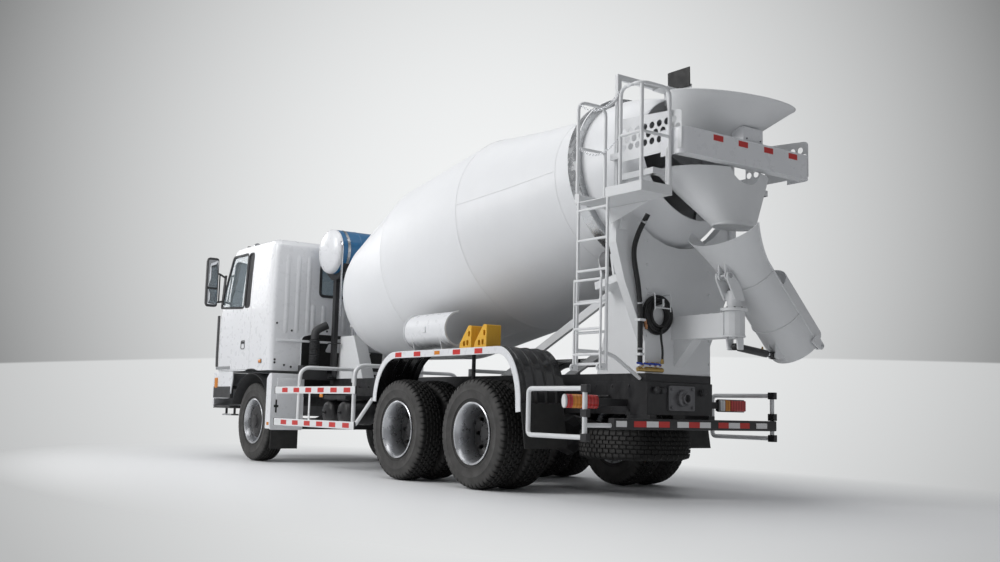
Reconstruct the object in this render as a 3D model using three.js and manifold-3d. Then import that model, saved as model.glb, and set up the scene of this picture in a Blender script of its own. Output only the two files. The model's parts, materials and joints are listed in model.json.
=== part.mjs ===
// A 6x4 concrete mixer truck, in millimetres, +Z up.
// It faces -Y, its left side is +X, and lengths along Y are counted from the front axle
// until the last step, which puts the origin on the ground under the middle of the truck.

import * as THREE from 'three';
import { mergeVertices } from 'three/addons/utils/BufferGeometryUtils.js';
import Module from 'manifold-3d';

const wasm = await Module();
wasm.setup();

// ---------------------------------------------------------------- driving dimensions

const seatGap = 0.3; // between two pieces that touch
const bearingGap = 0.3; // between a shaft and what turns on it
const pinSides = 16;
const runGap = 8; // between pieces that move past each other

const frontToRearAxle = 3930;
const rearAxleSpacing = 1400;

const tyreRadius = 545;
const tyreWidth = 300;
const tyreSides = 20;
const rimRadius = 298;
const frontTyreX = 1025;
const kingpinX = 905;
const twinCentreX = 930;
const twinSpacing = 340;
const steerClear = 625; // nothing of the body is nearer to a kingpin than this
const spindleRadius = 45;
const axleTubeRadius = 55;

const railOuterX = 425;
const railWidth = 80;
const railWall = 8;
const flush = 2; // by this much a joined piece's faces miss its neighbour's, so none coincide
const railBottom = 760;
const railTop = 1060;
const railFront = -1150;
const railRear = 6930;
const subframeHeight = 74;
const subframeFront = 900;

const cabHalfWidth = 1240;
const cabWall = 22;
const cabFront = -1380;
const cabRear = 600;
const cabBottom = 1222;
const cabTop = 3028;
const cabPivotY = -1300;
const cabPivotZ = 740;
const doorFront = -1250;
const doorRear = -69;
const doorBottom = 1240;
const doorTop = 2950;
const doorGap = 7;

const drumTilt = THREE.MathUtils.degToRad(10.38); // the axis rises to the rear
const drumAxisHeight = 1863.6; // of the drum's axis above the front axle's line
const drumWall = 12;
const drumSides = 24;
const drumHeadRadius = 625;
const drumHeadStart = 1592;
const drumShoulderRadius = 848;
const drumShoulderStart = 1957;
const drumBarrelRadius = 1113;
const drumBarrelStart = 3291;
const drumBarrelEnd = 4832;
const drumNeckRadius = 816;
const drumNeckStart = 6138;
const trackRadius = 872;
const trackStart = 6400;
const trackEnd = 6530;
const tailRadius = 800;
const mouthRadius = 610;
const mouthEnd = 7150;
const rollerRadius = 120;
const rollerAngle = THREE.MathUtils.degToRad(30);
const rollerPin = 25;

const swivelY = 7575;
const swivelRadius = 50;
const chutePinX = 130;
const chutePinZ = 1990;
const chutePinDrop = 300; // from the trough's centre line to the pin
const chuteRadius = 250;
const chuteWall = 6;
const chuteLength = 1395;
const chuteSlope = THREE.MathUtils.degToRad(45);
const chutePinAlong = 306; // from the trough's upper end to the pin
const chuteMouthHalfWidth = 390;
const extensionLength = 690;
const jackFootX = 20;
const jackFootZ = 1375;
const jackHeadAlong = 1250;
const jackHeadDrop = 300;

// ---------------------------------------------------------------- shape helpers

// A closed mesh becomes a solid, with its faces pointing outwards.
function solid(geometry) {
  const bare = new THREE.BufferGeometry();
  bare.setAttribute('position', geometry.getAttribute('position'));
  if (geometry.index) bare.setIndex(geometry.index);
  const merged = mergeVertices(bare, 1e-3);
  const points = merged.getAttribute('position').array;
  const corners = merged.index.array;
  const kept = [];
  let volume = 0;
  for (let i = 0; i < corners.length; i += 3) {
    const [a, b, c] = [corners[i], corners[i + 1], corners[i + 2]];
    if (a === b || b === c || c === a) continue;
    kept.push(a, b, c);
    const [p, q, r] = [a, b, c].map((k) => new THREE.Vector3().fromArray(points, 3 * k));
    volume += p.dot(q.cross(r));
  }
  if (volume < 0) kept.reverse();
  return new wasm.Manifold(new wasm.Mesh({
    numProp: 3,
    vertProperties: Float32Array.from(points),
    triVerts: Uint32Array.from(kept),
  }));
}

// A box between two values on each axis.
function box(x0, x1, y0, y1, z0, z1) {
  const shape = new THREE.BoxGeometry(Math.abs(x1 - x0), Math.abs(y1 - y0), Math.abs(z1 - z0));
  shape.translate((x0 + x1) / 2, (y0 + y1) / 2, (z0 + z1) / 2);
  return solid(shape);
}

function outline(points, holes = []) {
  const shape = new THREE.Shape(points.map(([u, v]) => new THREE.Vector2(u, v)));
  for (const hole of holes) {
    shape.holes.push(new THREE.Path(hole.map(([u, v]) => new THREE.Vector2(u, v))));
  }
  return shape;
}

// Outlines carried along an axis. The outline's own two numbers are the other two axes.
function alongX(points, x0, x1, holes) {
  const shape = new THREE.ExtrudeGeometry(outline(points, holes),
    { depth: x1 - x0, bevelEnabled: false });
  const axes = new THREE.Matrix4().makeBasis(
    new THREE.Vector3(0, 1, 0), new THREE.Vector3(0, 0, 1), new THREE.Vector3(1, 0, 0));
  shape.applyMatrix4(axes.setPosition(x0, 0, 0));
  return solid(shape);
}

function alongY(points, y0, y1, holes) {
  const shape = new THREE.ExtrudeGeometry(outline(points, holes),
    { depth: y1 - y0, bevelEnabled: false });
  const axes = new THREE.Matrix4().makeBasis(
    new THREE.Vector3(1, 0, 0), new THREE.Vector3(0, 0, 1), new THREE.Vector3(0, -1, 0));
  shape.applyMatrix4(axes.setPosition(0, y1, 0));
  return solid(shape);
}

// Points of an arc in an outline, angles in degrees, the ends included.
function arc(u, v, radiusU, radiusV, from, to, steps) {
  return Array.from({ length: steps + 1 }, (_, i) => {
    const angle = THREE.MathUtils.degToRad(from + ((to - from) * i) / steps);
    return [u + radiusU * Math.cos(angle), v + radiusV * Math.sin(angle)];
  });
}

// The band between a line of points and its copy, moved sideways by the thickness.
function band(points, thickness) {
  const line = points.map(([u, v]) => new THREE.Vector2(u, v));
  const inner = line.map((point, i) => {
    const before = line[Math.max(i - 1, 0)];
    const after = line[Math.min(i + 1, line.length - 1)];
    const along = after.clone().sub(before).normalize();
    return [point.x + along.y * thickness, point.y - along.x * thickness];
  });
  return [...points, ...inner.reverse()];
}

// A turned solid: the profile is [radius, place along the axis].
function turned(profile, sides, axis = 'X', offsetTurn = 0) {
  const shape = new THREE.LatheGeometry(
    profile.map(([radius, along]) => new THREE.Vector2(radius, along)), sides);
  shape.rotateY(offsetTurn);
  if (axis === 'X') shape.rotateZ(-Math.PI / 2);
  if (axis === 'Z') shape.rotateX(Math.PI / 2);
  return solid(shape);
}

// A round bar between two points.
function rod(from, to, radius, sides = 8, turn = Math.PI / sides) {
  const start = new THREE.Vector3(...from);
  const run = new THREE.Vector3(...to).sub(start);
  const shape = new THREE.CylinderGeometry(radius, radius, run.length(), sides, 1);
  shape.rotateY(turn);
  shape.applyQuaternion(new THREE.Quaternion().setFromUnitVectors(
    new THREE.Vector3(0, 1, 0), run.clone().normalize()));
  const middle = start.addScaledVector(run, 0.5);
  shape.translate(middle.x, middle.y, middle.z);
  return solid(shape);
}

// A bent pipe: straight rods that run a little past each bend.
function pipe(points, radius, sides = 6) {
  const pieces = [];
  for (let i = 0; i + 1 < points.length; i += 1) {
    const start = new THREE.Vector3(...points[i]);
    const end = new THREE.Vector3(...points[i + 1]);
    const past = end.clone().sub(start).setLength(radius * 0.7);
    if (i > 0) start.sub(past);
    if (i + 2 < points.length) end.add(past);
    pieces.push(rod(start.toArray(), end.toArray(), radius, sides));
  }
  return join(...pieces);
}

// A hose on one smooth curve through its points.
function hose(points, radius, steps, sides = 8) {
  const curve = new THREE.CatmullRomCurve3(points.map((point) => new THREE.Vector3(...point)));
  const section = outline(arc(0, 0, radius, radius, 0, 360 - 360 / sides, sides - 1));
  return solid(new THREE.ExtrudeGeometry(section,
    { steps, bevelEnabled: false, extrudePath: curve }));
}

function join(...solids) {
  return solids.reduce((whole, part) => whole.add(part));
}

function cut(whole, ...parts) {
  return parts.reduce((rest, part) => rest.subtract(part), whole);
}

function mirrored(shape) {
  return shape.mirror([1, 0, 0]);
}

// The radius of a hole of flat sides that a shaft of that radius turns in.
// A bore's flats face the shaft's corners, so the gap between them is the bearing gap.
function boreFor(shaftRadius, sides) {
  return (shaftRadius + bearingGap) / Math.cos(Math.PI / sides);
}

function bore(from, to, shaftRadius, sides = 12) {
  return rod(from, to, boreFor(shaftRadius, sides), sides, 0);
}

const truck = new THREE.Group();

const paints = {
  white: new THREE.MeshStandardMaterial({ color: 0xe9ebee, roughness: 0.35, metalness: 0.1 }),
  black: new THREE.MeshStandardMaterial({ color: 0x17181a, roughness: 0.5, metalness: 0.3 }),
  rubber: new THREE.MeshStandardMaterial({ color: 0x1c1c1d, roughness: 0.85, metalness: 0 }),
  silver: new THREE.MeshStandardMaterial({ color: 0xb9bcc0, roughness: 0.35, metalness: 0.8 }),
  steel: new THREE.MeshStandardMaterial({ color: 0x8b8f94, roughness: 0.4, metalness: 0.9 }),
  blue: new THREE.MeshStandardMaterial({ color: 0x2d74ad, roughness: 0.4, metalness: 0.1 }),
  yellow: new THREE.MeshStandardMaterial({ color: 0xf0b71e, roughness: 0.5, metalness: 0 }),
  red: new THREE.MeshStandardMaterial({ color: 0xa51e1e, roughness: 0.3, metalness: 0 }),
  glass: new THREE.MeshStandardMaterial({ color: 0x2a2f33, roughness: 0.05, metalness: 0 }),
  trim: new THREE.MeshStandardMaterial({ color: 0x2b2c2e, roughness: 0.7, metalness: 0 }),
};

// Adds one named piece to a group. A solid is placed by the mesh's own position.
function add(name, shape, paint, position = [0, 0, 0], group = truck) {
  const { vertProperties, triVerts, numProp } = shape.getMesh();
  const geometry = new THREE.BufferGeometry();
  const points = new Float32Array((vertProperties.length / numProp) * 3);
  for (let i = 0; i < points.length / 3; i += 1) {
    for (let k = 0; k < 3; k += 1) points[3 * i + k] = vertProperties[numProp * i + k];
  }
  geometry.setAttribute('position', new THREE.BufferAttribute(points, 3));
  geometry.setIndex(new THREE.BufferAttribute(Uint32Array.from(triVerts), 1));
  geometry.computeVertexNormals();
  const mesh = new THREE.Mesh(geometry, paint);
  mesh.name = name;
  mesh.position.set(...position);
  group.add(mesh);
}

// ---------------------------------------------------------------- wheels and axles

const axleHeight = tyreRadius * Math.cos(Math.PI / tyreSides); // a tyre stands on a flat side
const rearAxles = [frontToRearAxle, frontToRearAxle + rearAxleSpacing];
const half = tyreWidth / 2;
const facet = Math.PI / tyreSides;
const beadHalf = half - 40;

function tyreProfile(centre = 0, innerRadius = rimRadius + seatGap) {
  return [
    [innerRadius, centre - beadHalf],
    [430, centre - half],
    [tyreRadius, centre - half + 25],
    [tyreRadius, centre + half - 25],
    [430, centre + half],
    [innerRadius, centre + beadHalf],
  ];
}

const tyre = turned([...tyreProfile(), tyreProfile()[0]], tyreSides, 'X', facet);

function frontRim() {
  const bore = boreFor(spindleRadius, tyreSides);
  return turned([
    [0, 60], [bore, 60], [bore, -20], [130, -20], [130, 74], [284, 74], [284, -beadHalf],
    [rimRadius, -beadHalf], [rimRadius, beadHalf], [284, beadHalf], [284, 100], [110, 86],
    [105, 132], [0, 132],
  ], tyreSides, 'X', facet);
}

// The inner wheel of a twin pair, with both rims and the hub. Its profile is counted
// from the middle of the pair, outwards.
function innerTwinWheel() {
  const bore = boreFor(axleTubeRadius, tyreSides);
  const tyreMiddle = -twinSpacing / 2;
  const outerEnd = twinSpacing / 2 + beadHalf;
  return turned([
    [0, 110], [bore, 110], [bore, -250], [205, -250], [205, -40],
    [284, -75], [284, tyreMiddle - beadHalf],
    ...tyreProfile(tyreMiddle, rimRadius).slice(1, 5),
    [rimRadius, tyreMiddle + beadHalf], [rimRadius, outerEnd], [284, outerEnd],
    [284, 85], [115, 22], [105, 165], [0, 165],
  ], tyreSides, 'X', facet);
}

const rim = frontRim();
const twin = innerTwinWheel();
for (const [side, sign] of [['left', 1], ['right', -1]]) {
  const turn = (shape) => (sign > 0 ? shape : mirrored(shape));
  add(`front_tyre_${side}`, tyre, paints.rubber, [sign * frontTyreX, 0, axleHeight]);
  add(`front_rim_${side}`, turn(rim), paints.silver, [sign * frontTyreX, 0, axleHeight]);
  rearAxles.forEach((y, i) => {
    const name = `rear_wheel_${i + 1}_${side}`;
    const outerX = sign * (twinCentreX + twinSpacing / 2);
    add(`${name}_outer_tyre`, tyre, paints.rubber, [outerX, y, axleHeight]);
    add(`${name}_inner`, turn(twin), paints.silver, [sign * twinCentreX, y, axleHeight]);
  });
}

// The knuckle's yoke holds the axle beam's end between two plates, on the kingpin.
const bossHalf = 110;
const kingpinRadius = 20;
const yokeInner = bossHalf + runGap;
const yokeOuter = yokeInner + 34;

function kingpinBore() {
  return bore([kingpinX, 0, axleHeight - 200], [kingpinX, 0, axleHeight + 200],
    kingpinRadius, pinSides);
}

function knuckle() {
  const backX = kingpinX + 55 + runGap;
  const yoke = join(
    box(kingpinX - 50, backX + 34, -50, 50, axleHeight + yokeInner, axleHeight + yokeOuter),
    box(kingpinX - 50, backX + 34, -50, 50, axleHeight - yokeOuter, axleHeight - yokeInner),
    box(backX, backX + 34, -50, 50, axleHeight - yokeOuter, axleHeight + yokeOuter),
    rod([backX + 20, 0, axleHeight], [frontTyreX + 52, 0, axleHeight], spindleRadius, tyreSides),
    box(backX, backX + 34, 40, 190, axleHeight - yokeOuter, axleHeight - yokeOuter + 40),
  );
  return cut(yoke, kingpinBore());
}

add('knuckle_left', knuckle(), paints.black);
add('knuckle_right', mirrored(knuckle()), paints.black);

function frontAxle() {
  const springX = railOuterX - railWidth / 2;
  const beamTop = axleHeight - 16;
  const parts = [box(-kingpinX, kingpinX, -45, 45, axleHeight - 104, beamTop)];
  for (const sign of [-1, 1]) {
    parts.push(
      rod([sign * kingpinX, 0, axleHeight - bossHalf], [sign * kingpinX, 0, axleHeight + bossHalf],
        55, 12),
      rod([sign * kingpinX, 0, axleHeight - yokeOuter + 4],
        [sign * kingpinX, 0, axleHeight + yokeOuter - 4], kingpinRadius, pinSides),
    );
    const spring = band([[-820, 690], [-420, 600], [0, beamTop + 60], [420, 600], [820, 690]], 70);
    parts.push(alongX(spring, sign * springX - 38, sign * springX + 38));
    for (const y of [-820, 820]) {
      parts.push(box(sign * springX - 30, sign * springX + 30, y - 45, y + 45, 640,
        railBottom - seatGap));
    }
  }
  return join(...parts);
}

add('front_axle', frontAxle(), paints.black);

function rearBogie() {
  const middle = (rearAxles[0] + rearAxles[1]) / 2;
  const tubeEnd = twinCentreX + 102;
  const springTop = 735;
  const parts = [];
  for (const y of rearAxles) {
    parts.push(rod([-tubeEnd, y, axleHeight], [tubeEnd, y, axleHeight], axleTubeRadius, 12));
    const bulge = new THREE.SphereGeometry(215, 8, 6);
    bulge.translate(0, y, axleHeight);
    parts.push(solid(bulge));
  }
  for (const sign of [-1, 1]) {
    const near = railOuterX + seatGap;
    const [x0, x1] = [near, near + 95].map((x) => x * sign).sort((a, b) => a - b);
    parts.push(alongX([
      [rearAxles[0] - 90, axleHeight + 45], [rearAxles[0] + 90, axleHeight + 45],
      [middle - 150, springTop - 130], [middle + 150, springTop - 130],
      [rearAxles[1] - 90, axleHeight + 45], [rearAxles[1] + 90, axleHeight + 45],
      [rearAxles[1] + 90, axleHeight + 105], [middle + 200, springTop],
      [middle - 200, springTop], [rearAxles[0] - 90, axleHeight + 105],
    ], x0, x1));
    parts.push(box(x0, x1, middle - 170, middle + 170, springTop - 20, railTop - 80));
  }
  return join(...parts);
}

add('rear_bogie', rearBogie(), paints.black);

// ---------------------------------------------------------------- frame

const subframeTop = railTop + seatGap + subframeHeight;
const onSubframe = subframeTop + seatGap;
const spareY = 6320;
const spareTop = 640;

function channel(sign) {
  const outer = sign * railOuterX;
  const web = sign * (railOuterX - railWall);
  const lip = sign * (railOuterX - railWidth);
  return alongY([
    [outer, railBottom], [outer, railTop], [lip, railTop], [lip, railTop - railWall],
    [web, railTop - railWall], [web, railBottom + railWall], [lip, railBottom + railWall],
    [lip, railBottom],
  ], railFront, railRear);
}

function chassisFrame() {
  const web = railOuterX - railWall + 1;
  const parts = [channel(1), channel(-1)];
  for (const y of [-1120, 1560, 2300, 3500, 4630, 5850, spareY]) {
    parts.push(box(-web, web, y - 30, y + 30, railBottom + 60, railTop - 60));
  }
  const plateHalf = railOuterX - flush;
  parts.push(box(-plateHalf, plateHalf, railRear - 10, railRear + flush, railBottom + flush,
    railTop - flush));
  parts.push(rod([0, spareY, railBottom + 80], [0, spareY, spareTop - 140 + seatGap], 30, 8));
  for (const sign of [-1, 1]) {
    const [x0, x1] = [sign * (railOuterX - railWidth + flush), sign * plateHalf];
    parts.push(box(x0, x1, 470, 560, railTop - flush, cabBottom - seatGap)); // cab's rear seat
    parts.push(box(x0, x1, cabPivotY - 35, railFront + 40, cabPivotZ - 40, cabPivotZ + 60));
  }
  const pinEnd = railOuterX + 30;
  parts.push(rod([-pinEnd, cabPivotY, cabPivotZ], [pinEnd, cabPivotY, cabPivotZ], 20, pinSides));
  return join(...parts);
}

add('chassis_frame', chassisFrame(), paints.black);

function subframe() {
  const bottom = railTop + seatGap;
  const inner = railOuterX - railWidth;
  const rear = railRear - 20;
  const parts = [
    box(inner, railOuterX, subframeFront, rear, bottom, subframeTop),
    box(-railOuterX, -inner, subframeFront, rear, bottom, subframeTop),
  ];
  for (const y of [subframeFront + 40, 2600, 4200, 5600, rear - 40]) {
    parts.push(box(-inner - flush, inner + flush, y - 40, y + 40, bottom + flush,
      subframeTop - flush));
  }
  return join(...parts);
}

add('subframe', subframe(), paints.black);

function engineAndDriveline() {
  const lug = railOuterX - railWall - seatGap;
  const shaftEnd = rearAxles[0] - 260;
  return join(
    box(-320, 320, -640, 700, 620, 1140),
    box(-lug, lug, -80, 80, 860, 920),
    box(-190, 190, 690, 1500, 640, 960),
    rod([0, 1490, 760], [0, shaftEnd, 620], 60, 8),
  );
}

add('engine', engineAndDriveline(), paints.steel);

// A flat wheel under the tail, with its own disc.
const spareWheel = turned([
  [0, 20], [250, 20], [rimRadius - 14, 60], [rimRadius - 14, beadHalf],
  ...tyreProfile(0, rimRadius).slice(1, 5).reverse(), [rimRadius - 14, -beadHalf],
  [rimRadius - 14, 30], [250, 0], [0, 0],
], tyreSides, 'Z');
add('spare_wheel', spareWheel, paints.rubber, [0, spareY, spareTop - 160]);

// ---------------------------------------------------------------- mudguards and guards

const sideX = cabHalfWidth;

function frontMudguard() {
  const rearFace = 715;
  const sheet = 14;
  const inner = 760;
  const liner = band([
    ...arc(0, axleHeight, 655, 655, 160, 22, 10), [rearFace - 40, 700], [rearFace - 40, 470],
  ], -sheet);
  const sideSweep = alongX([
    [560, 450], [rearFace, 450], [rearFace, 1185], [640, 1185], [560, 1120],
  ], sideX - sheet, sideX);
  return join(
    alongX(liner, inner, sideX - 20),
    box(inner, sideX, rearFace - 45, rearFace, 436, 1185),
    sideSweep,
    box(inner + 50, sideX - 30, rearFace - 30, rearFace - 10, 190, 440),
    box(railOuterX + seatGap, inner + 10, rearFace - 45, rearFace, 880, 1000),
  );
}

add('front_mudguard_left', frontMudguard(), paints.white);
add('front_mudguard_right', mirrored(frontMudguard()), paints.white);

function rearFender() {
  const [inner, outer] = [690, sideX];
  const top = 1371;
  const frontY = 3402;
  const rearY = 6102;
  const low = 835;
  const line = [
    ...arc(frontY + 462, low, 462, top - low, 180, 90, 5),
    ...arc(rearY - 362, low, 362, top - low, 90, 0, 5),
  ];
  const flap = band([[rearY - 5, low + 8], [rearY + 70, 425]], 12);
  const stayBar = (y, z) => rod([railOuterX + seatGap, y, z], [inner + 60, y, z], 22, 8);
  const middle = (rearAxles[0] + rearAxles[1]) / 2;
  return join(
    alongX(band(line, 12), inner, outer),
    alongX(flap, inner + 30, outer - 10),
    stayBar(frontY + 12, low + 40),
    stayBar(rearY - 15, low + 40),
    stayBar(middle, 1010),
    rod([inner + 40, middle, 1000], [inner + 40, middle, top - 5], 22, 8),
  );
}

add('rear_fender_left', rearFender(), paints.white);
add('rear_fender_right', mirrored(rearFender()), paints.white);

function sideGuard() {
  const [front, rear] = [835, 2990];
  const parts = [
    box(sideX - 20, sideX, front, rear, 914, 1004),
    box(sideX - 20, sideX, front, rear, 505, 595),
  ];
  const feet = railOuterX + seatGap;
  for (const y of [1480, 2907]) {
    parts.push(pipe([[sideX - 34, y, 540], [sideX - 34, y, 1175], [sideX - 110, y, 1247],
      [feet + 12, y, 1247]], 25));
    parts.push(box(feet, feet + 24, y - 40, y + 40, railTop + 20, 1270));
  }
  parts.push(pipe([[sideX - 34, rear - 30, 560], [sideX - 34, 3340, 860]], 22));
  return join(...parts);
}

add('side_guard_left', sideGuard(), paints.white);
add('side_guard_right', mirrored(sideGuard()), paints.white);

function airTanks() {
  const feet = railOuterX + seatGap;
  const parts = [box(feet, feet + 70, 1690, 2290, 800, 1000)];
  for (const y of [1790, 2190]) {
    parts.push(turned([[0, -230], [90, -222], [148, -180], [148, 180], [90, 222], [0, 230]], 12)
      .translate([760, y, 690]));
    parts.push(box(feet + 20, 700, y - 40, y + 40, 790, 850));
  }
  parts.push(box(feet + 20, 980, 1700, 2280, 850, 905));
  return join(...parts);
}

add('air_tanks', airTanks(), paints.black);

function fuelTank() {
  const [x0, x1] = [-1160, -520];
  const shape = alongY([
    [x0 + 70, 480], [x1 - 70, 480], [x1, 550], [x1, 1030], [x1 - 70, 1100], [x0 + 70, 1100],
    [x0, 1030], [x0, 550],
  ], 1650, 2790);
  return join(
    shape,
    box(x1 - 5, -railOuterX - seatGap, 1800, 1870, 520, 1000),
    box(x1 - 5, -railOuterX - seatGap, 2560, 2630, 520, 1000),
    rod([-850, 2200, 1090], [-850, 2200, 1130], 60, 8),
  );
}

add('fuel_tank', fuelTank(), paints.silver);

// ---------------------------------------------------------------- cab

const glassLow = 2170;
const screenHalf = 1080;
const screenSpan = [2160, 2880];
const [sillY, sillZ] = [-1320, 2120];
const browY = -960;

function cabOutline(inset) {
  return [
    [cabRear - inset, cabBottom + inset], [cabRear - inset, 2960 - inset],
    [530 - inset, cabTop - inset], [browY + inset * 0.6, cabTop - inset],
    [sillY + inset, sillZ], [cabFront + inset, 1960], [cabFront + inset, cabBottom + inset],
  ];
}

// The door's outline, which its opening in the cab's side repeats a little larger.
function doorOutline(grow) {
  return [
    [doorFront - grow, doorBottom - grow], [doorRear + grow, doorBottom - grow],
    [doorRear + grow, doorTop + grow], [-905 - grow * 0.6, doorTop + grow],
    [doorFront - grow, 2130],
  ];
}

const doorGlass = [[-1150, glassLow], [-130, glassLow], [-130, 2890], [-860, 2890]];

function cabShell() {
  const outer = alongX(cabOutline(0), -cabHalfWidth, cabHalfWidth);
  const inner = alongX(cabOutline(cabWall), -cabHalfWidth + cabWall, cabHalfWidth - cabWall);
  const doorways = alongX(doorOutline(doorGap), -cabHalfWidth - 10, cabHalfWidth + 10);
  const windscreenHole = box(-screenHalf, screenHalf, cabFront - 40, -940, ...screenSpan);
  const rearWindow = box(-520, 520, cabRear - 80, cabRear + 20, 2280, 2700);
  const archCut = alongX([
    ...arc(0, axleHeight, 700, 762, 160, 20, 8),
  ], sideX - 400, sideX + 10);
  const parts = [cut(outer, inner, doorways, windscreenHole, rearWindow)];
  for (const sign of [-1, 1]) {
    const x = sign * 290;
    parts.push(box(x - 20, x + 20, cabPivotY - 35, cabPivotY + 35, cabPivotZ - 35, cabBottom + 5));
  }
  const pinHole = bore([-400, cabPivotY, cabPivotZ], [400, cabPivotY, cabPivotZ],
    20, pinSides);
  return cut(join(...parts), pinHole, archCut, mirrored(archCut));
}

add('cab_shell', cabShell(), paints.white);

// The screen stands in its opening, parallel to the sloping front and just behind it.
function windscreen() {
  const slope = (browY - sillY) / (cabTop - sillZ);
  const [low, high] = [screenSpan[0] + 3, screenSpan[1] - 3];
  const line = [low, high].map((z) => [sillY + 10 + (z - sillZ) * slope, z]);
  return alongX(band(line, 8), seatGap - screenHalf, screenHalf - seatGap);
}

add('windscreen', windscreen(), paints.glass);

function cabInterior() {
  const floor = cabBottom + cabWall + seatGap;
  const parts = [box(-1100, 1100, -1200, 480, floor, floor + 20)];
  parts.push(box(-1100, 1100, -1300, -1000, floor, 2060)); // dashboard
  for (const sign of [-1, 1]) {
    const x = sign * 620;
    parts.push(box(x - 240, x + 240, -480, 40, floor, 1830));
    parts.push(alongX([[-40, 1800], [70, 1800], [170, 2560], [80, 2560]], x - 240, x + 240));
    parts.push(box(x - 130, x + 130, 110, 190, 2550, 2760));
  }
  parts.push(box(-1080, 1080, 260, 500, floor, 1800)); // bunk
  parts.push(rod([620, -1010, 1950], [620, -826, 2082], 30, 6));
  const wheel = turned([[195, 0], [215, -18], [235, 0], [215, 18], [195, 0]], 16, 'Y');
  parts.push(wheel.rotate([60, 0, 0]).translate([620, -830, 2080]));
  parts.push(box(405, 835, -850, -815, 2062, 2092));
  return join(...parts);
}

add('cab_interior', cabInterior(), paints.trim);

function door() {
  const panel = alongX(doorOutline(0), cabHalfWidth - cabWall, cabHalfWidth, [doorGlass]);
  const handle = box(cabHalfWidth - 1, cabHalfWidth + 22, -345, -250, 1545, 1640);
  return join(panel, handle);
}

function mirror() {
  const x = sideX + 105;
  return join(
    box(x - 15, x + 165, -1185, -1085, 2160, 2890),
    box(sideX + seatGap, x + 10, -1150, -1120, 2560, 2600),
    box(sideX + seatGap, x + 10, -1150, -1120, 2180, 2220),
    box(sideX + seatGap, sideX + 12, -1180, -1090, 2120, 2640),
  );
}

for (const [side, turn] of [['left', (shape) => shape], ['right', mirrored]]) {
  add(`door_${side}`, turn(door()), paints.white);
  add(`mirror_${side}`, turn(mirror()), paints.trim);
}

function frontBumper() {
  const top = cabBottom - seatGap;
  const rearEdge = -600;
  const front = -1400;
  const parts = [box(-sideX, sideX, front, front + 45, 711, top)];
  for (const sign of [-1, 1]) {
    const [skin0, skin1] = [sign * (sideX - 45), sign * sideX];
    parts.push(box(skin0, skin1 - sign * flush, front + flush, rearEdge, 840, top - flush));
    parts.push(box(skin0 + sign * flush, skin1 - sign * 2 * flush, front + 2 * flush, -900,
      711 + flush, 842));
    const [in0, in1] = [sign * 780, sign * (sideX - 1)];
    parts.push(box(in0, in1, front + 1, -steerClear - 60, 700, 740));
    parts.push(box(in0, in1, front + 1, -steerClear - 60, 985, 1020));
    parts.push(box(sign * 1080, sign * 1200, -1010, -680, 600, 625));
    parts.push(box(sign * 1130, sign * 1150, -1000, -975, 600, 720));
    parts.push(box(sign * 1130, sign * 1150, -715, -690, 600, 720));
  }
  return join(...parts);
}

add('front_bumper', frontBumper(), paints.white);

// ---------------------------------------------------------------- drum and its supports

const drumGroup = new THREE.Group();
drumGroup.position.set(0, 0, drumAxisHeight);
drumGroup.rotation.x = drumTilt;
truck.add(drumGroup);

const drumOuter = [
  [drumHeadRadius, drumHeadStart],
  [760, drumHeadStart + 130],
  [drumShoulderRadius, drumShoulderStart],
  [drumBarrelRadius, drumBarrelStart],
  [drumBarrelRadius - 10, drumBarrelEnd],
  [drumNeckRadius, drumNeckStart],
  [770, trackStart],
  [trackRadius, trackStart],
  [trackRadius, trackEnd],
  [tailRadius, trackEnd],
  [735, 6850],
  [mouthRadius, mouthEnd],
];
const drumInner = [
  [mouthRadius - drumWall, mouthEnd],
  [735 - drumWall, 6850],
  [770 - drumWall, trackStart],
  [drumBarrelRadius - 10 - drumWall, drumBarrelEnd],
  [drumBarrelRadius - drumWall, drumBarrelStart],
  [drumShoulderRadius - drumWall, drumShoulderStart + 10],
  [760 - drumWall, drumHeadStart + 145],
  [drumHeadRadius - drumWall, drumHeadStart + drumWall],
  [0, drumHeadStart + drumWall],
];
const flangeStart = 1470;
const driveRadius = 170;
add('drum', turned([
  [0, flangeStart], [driveRadius, flangeStart], [driveRadius, flangeStart + 30],
  [110, flangeStart + 30], [110, drumHeadStart], ...drumOuter, ...drumInner,
], drumSides, 'Y'), paints.white, [0, 0, 0], drumGroup);

// Rollers under the track, on pins in the pedestal's brackets.
const trackMiddle = (trackStart + trackEnd) / 2;
const rollerReach = trackRadius + rollerRadius + bearingGap;
const rollerX = rollerReach * Math.sin(rollerAngle);
const rollerDrop = -rollerReach * Math.cos(rollerAngle);
const bracketNear = 70; // from the track's middle to a bracket's plate
const bracketFar = 95;

const roller = turned([
  [0, -bracketFar], [rollerPin, -bracketFar], [rollerPin, -bracketNear + runGap],
  [rollerRadius, -bracketNear + runGap], [rollerRadius, bracketNear - runGap],
  [rollerPin, bracketNear - runGap], [rollerPin, bracketFar], [0, bracketFar],
], 12, 'Y');
add('roller_left', roller, paints.steel, [rollerX, trackMiddle, rollerDrop], drumGroup);
add('roller_right', roller, paints.steel, [-rollerX, trackMiddle, rollerDrop], drumGroup);

// Turns a solid from the drum's own frame into the truck's.
function fromDrum(shape) {
  return shape.rotate([THREE.MathUtils.radToDeg(drumTilt), 0, 0])
    .translate([0, 0, drumAxisHeight]);
}

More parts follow.
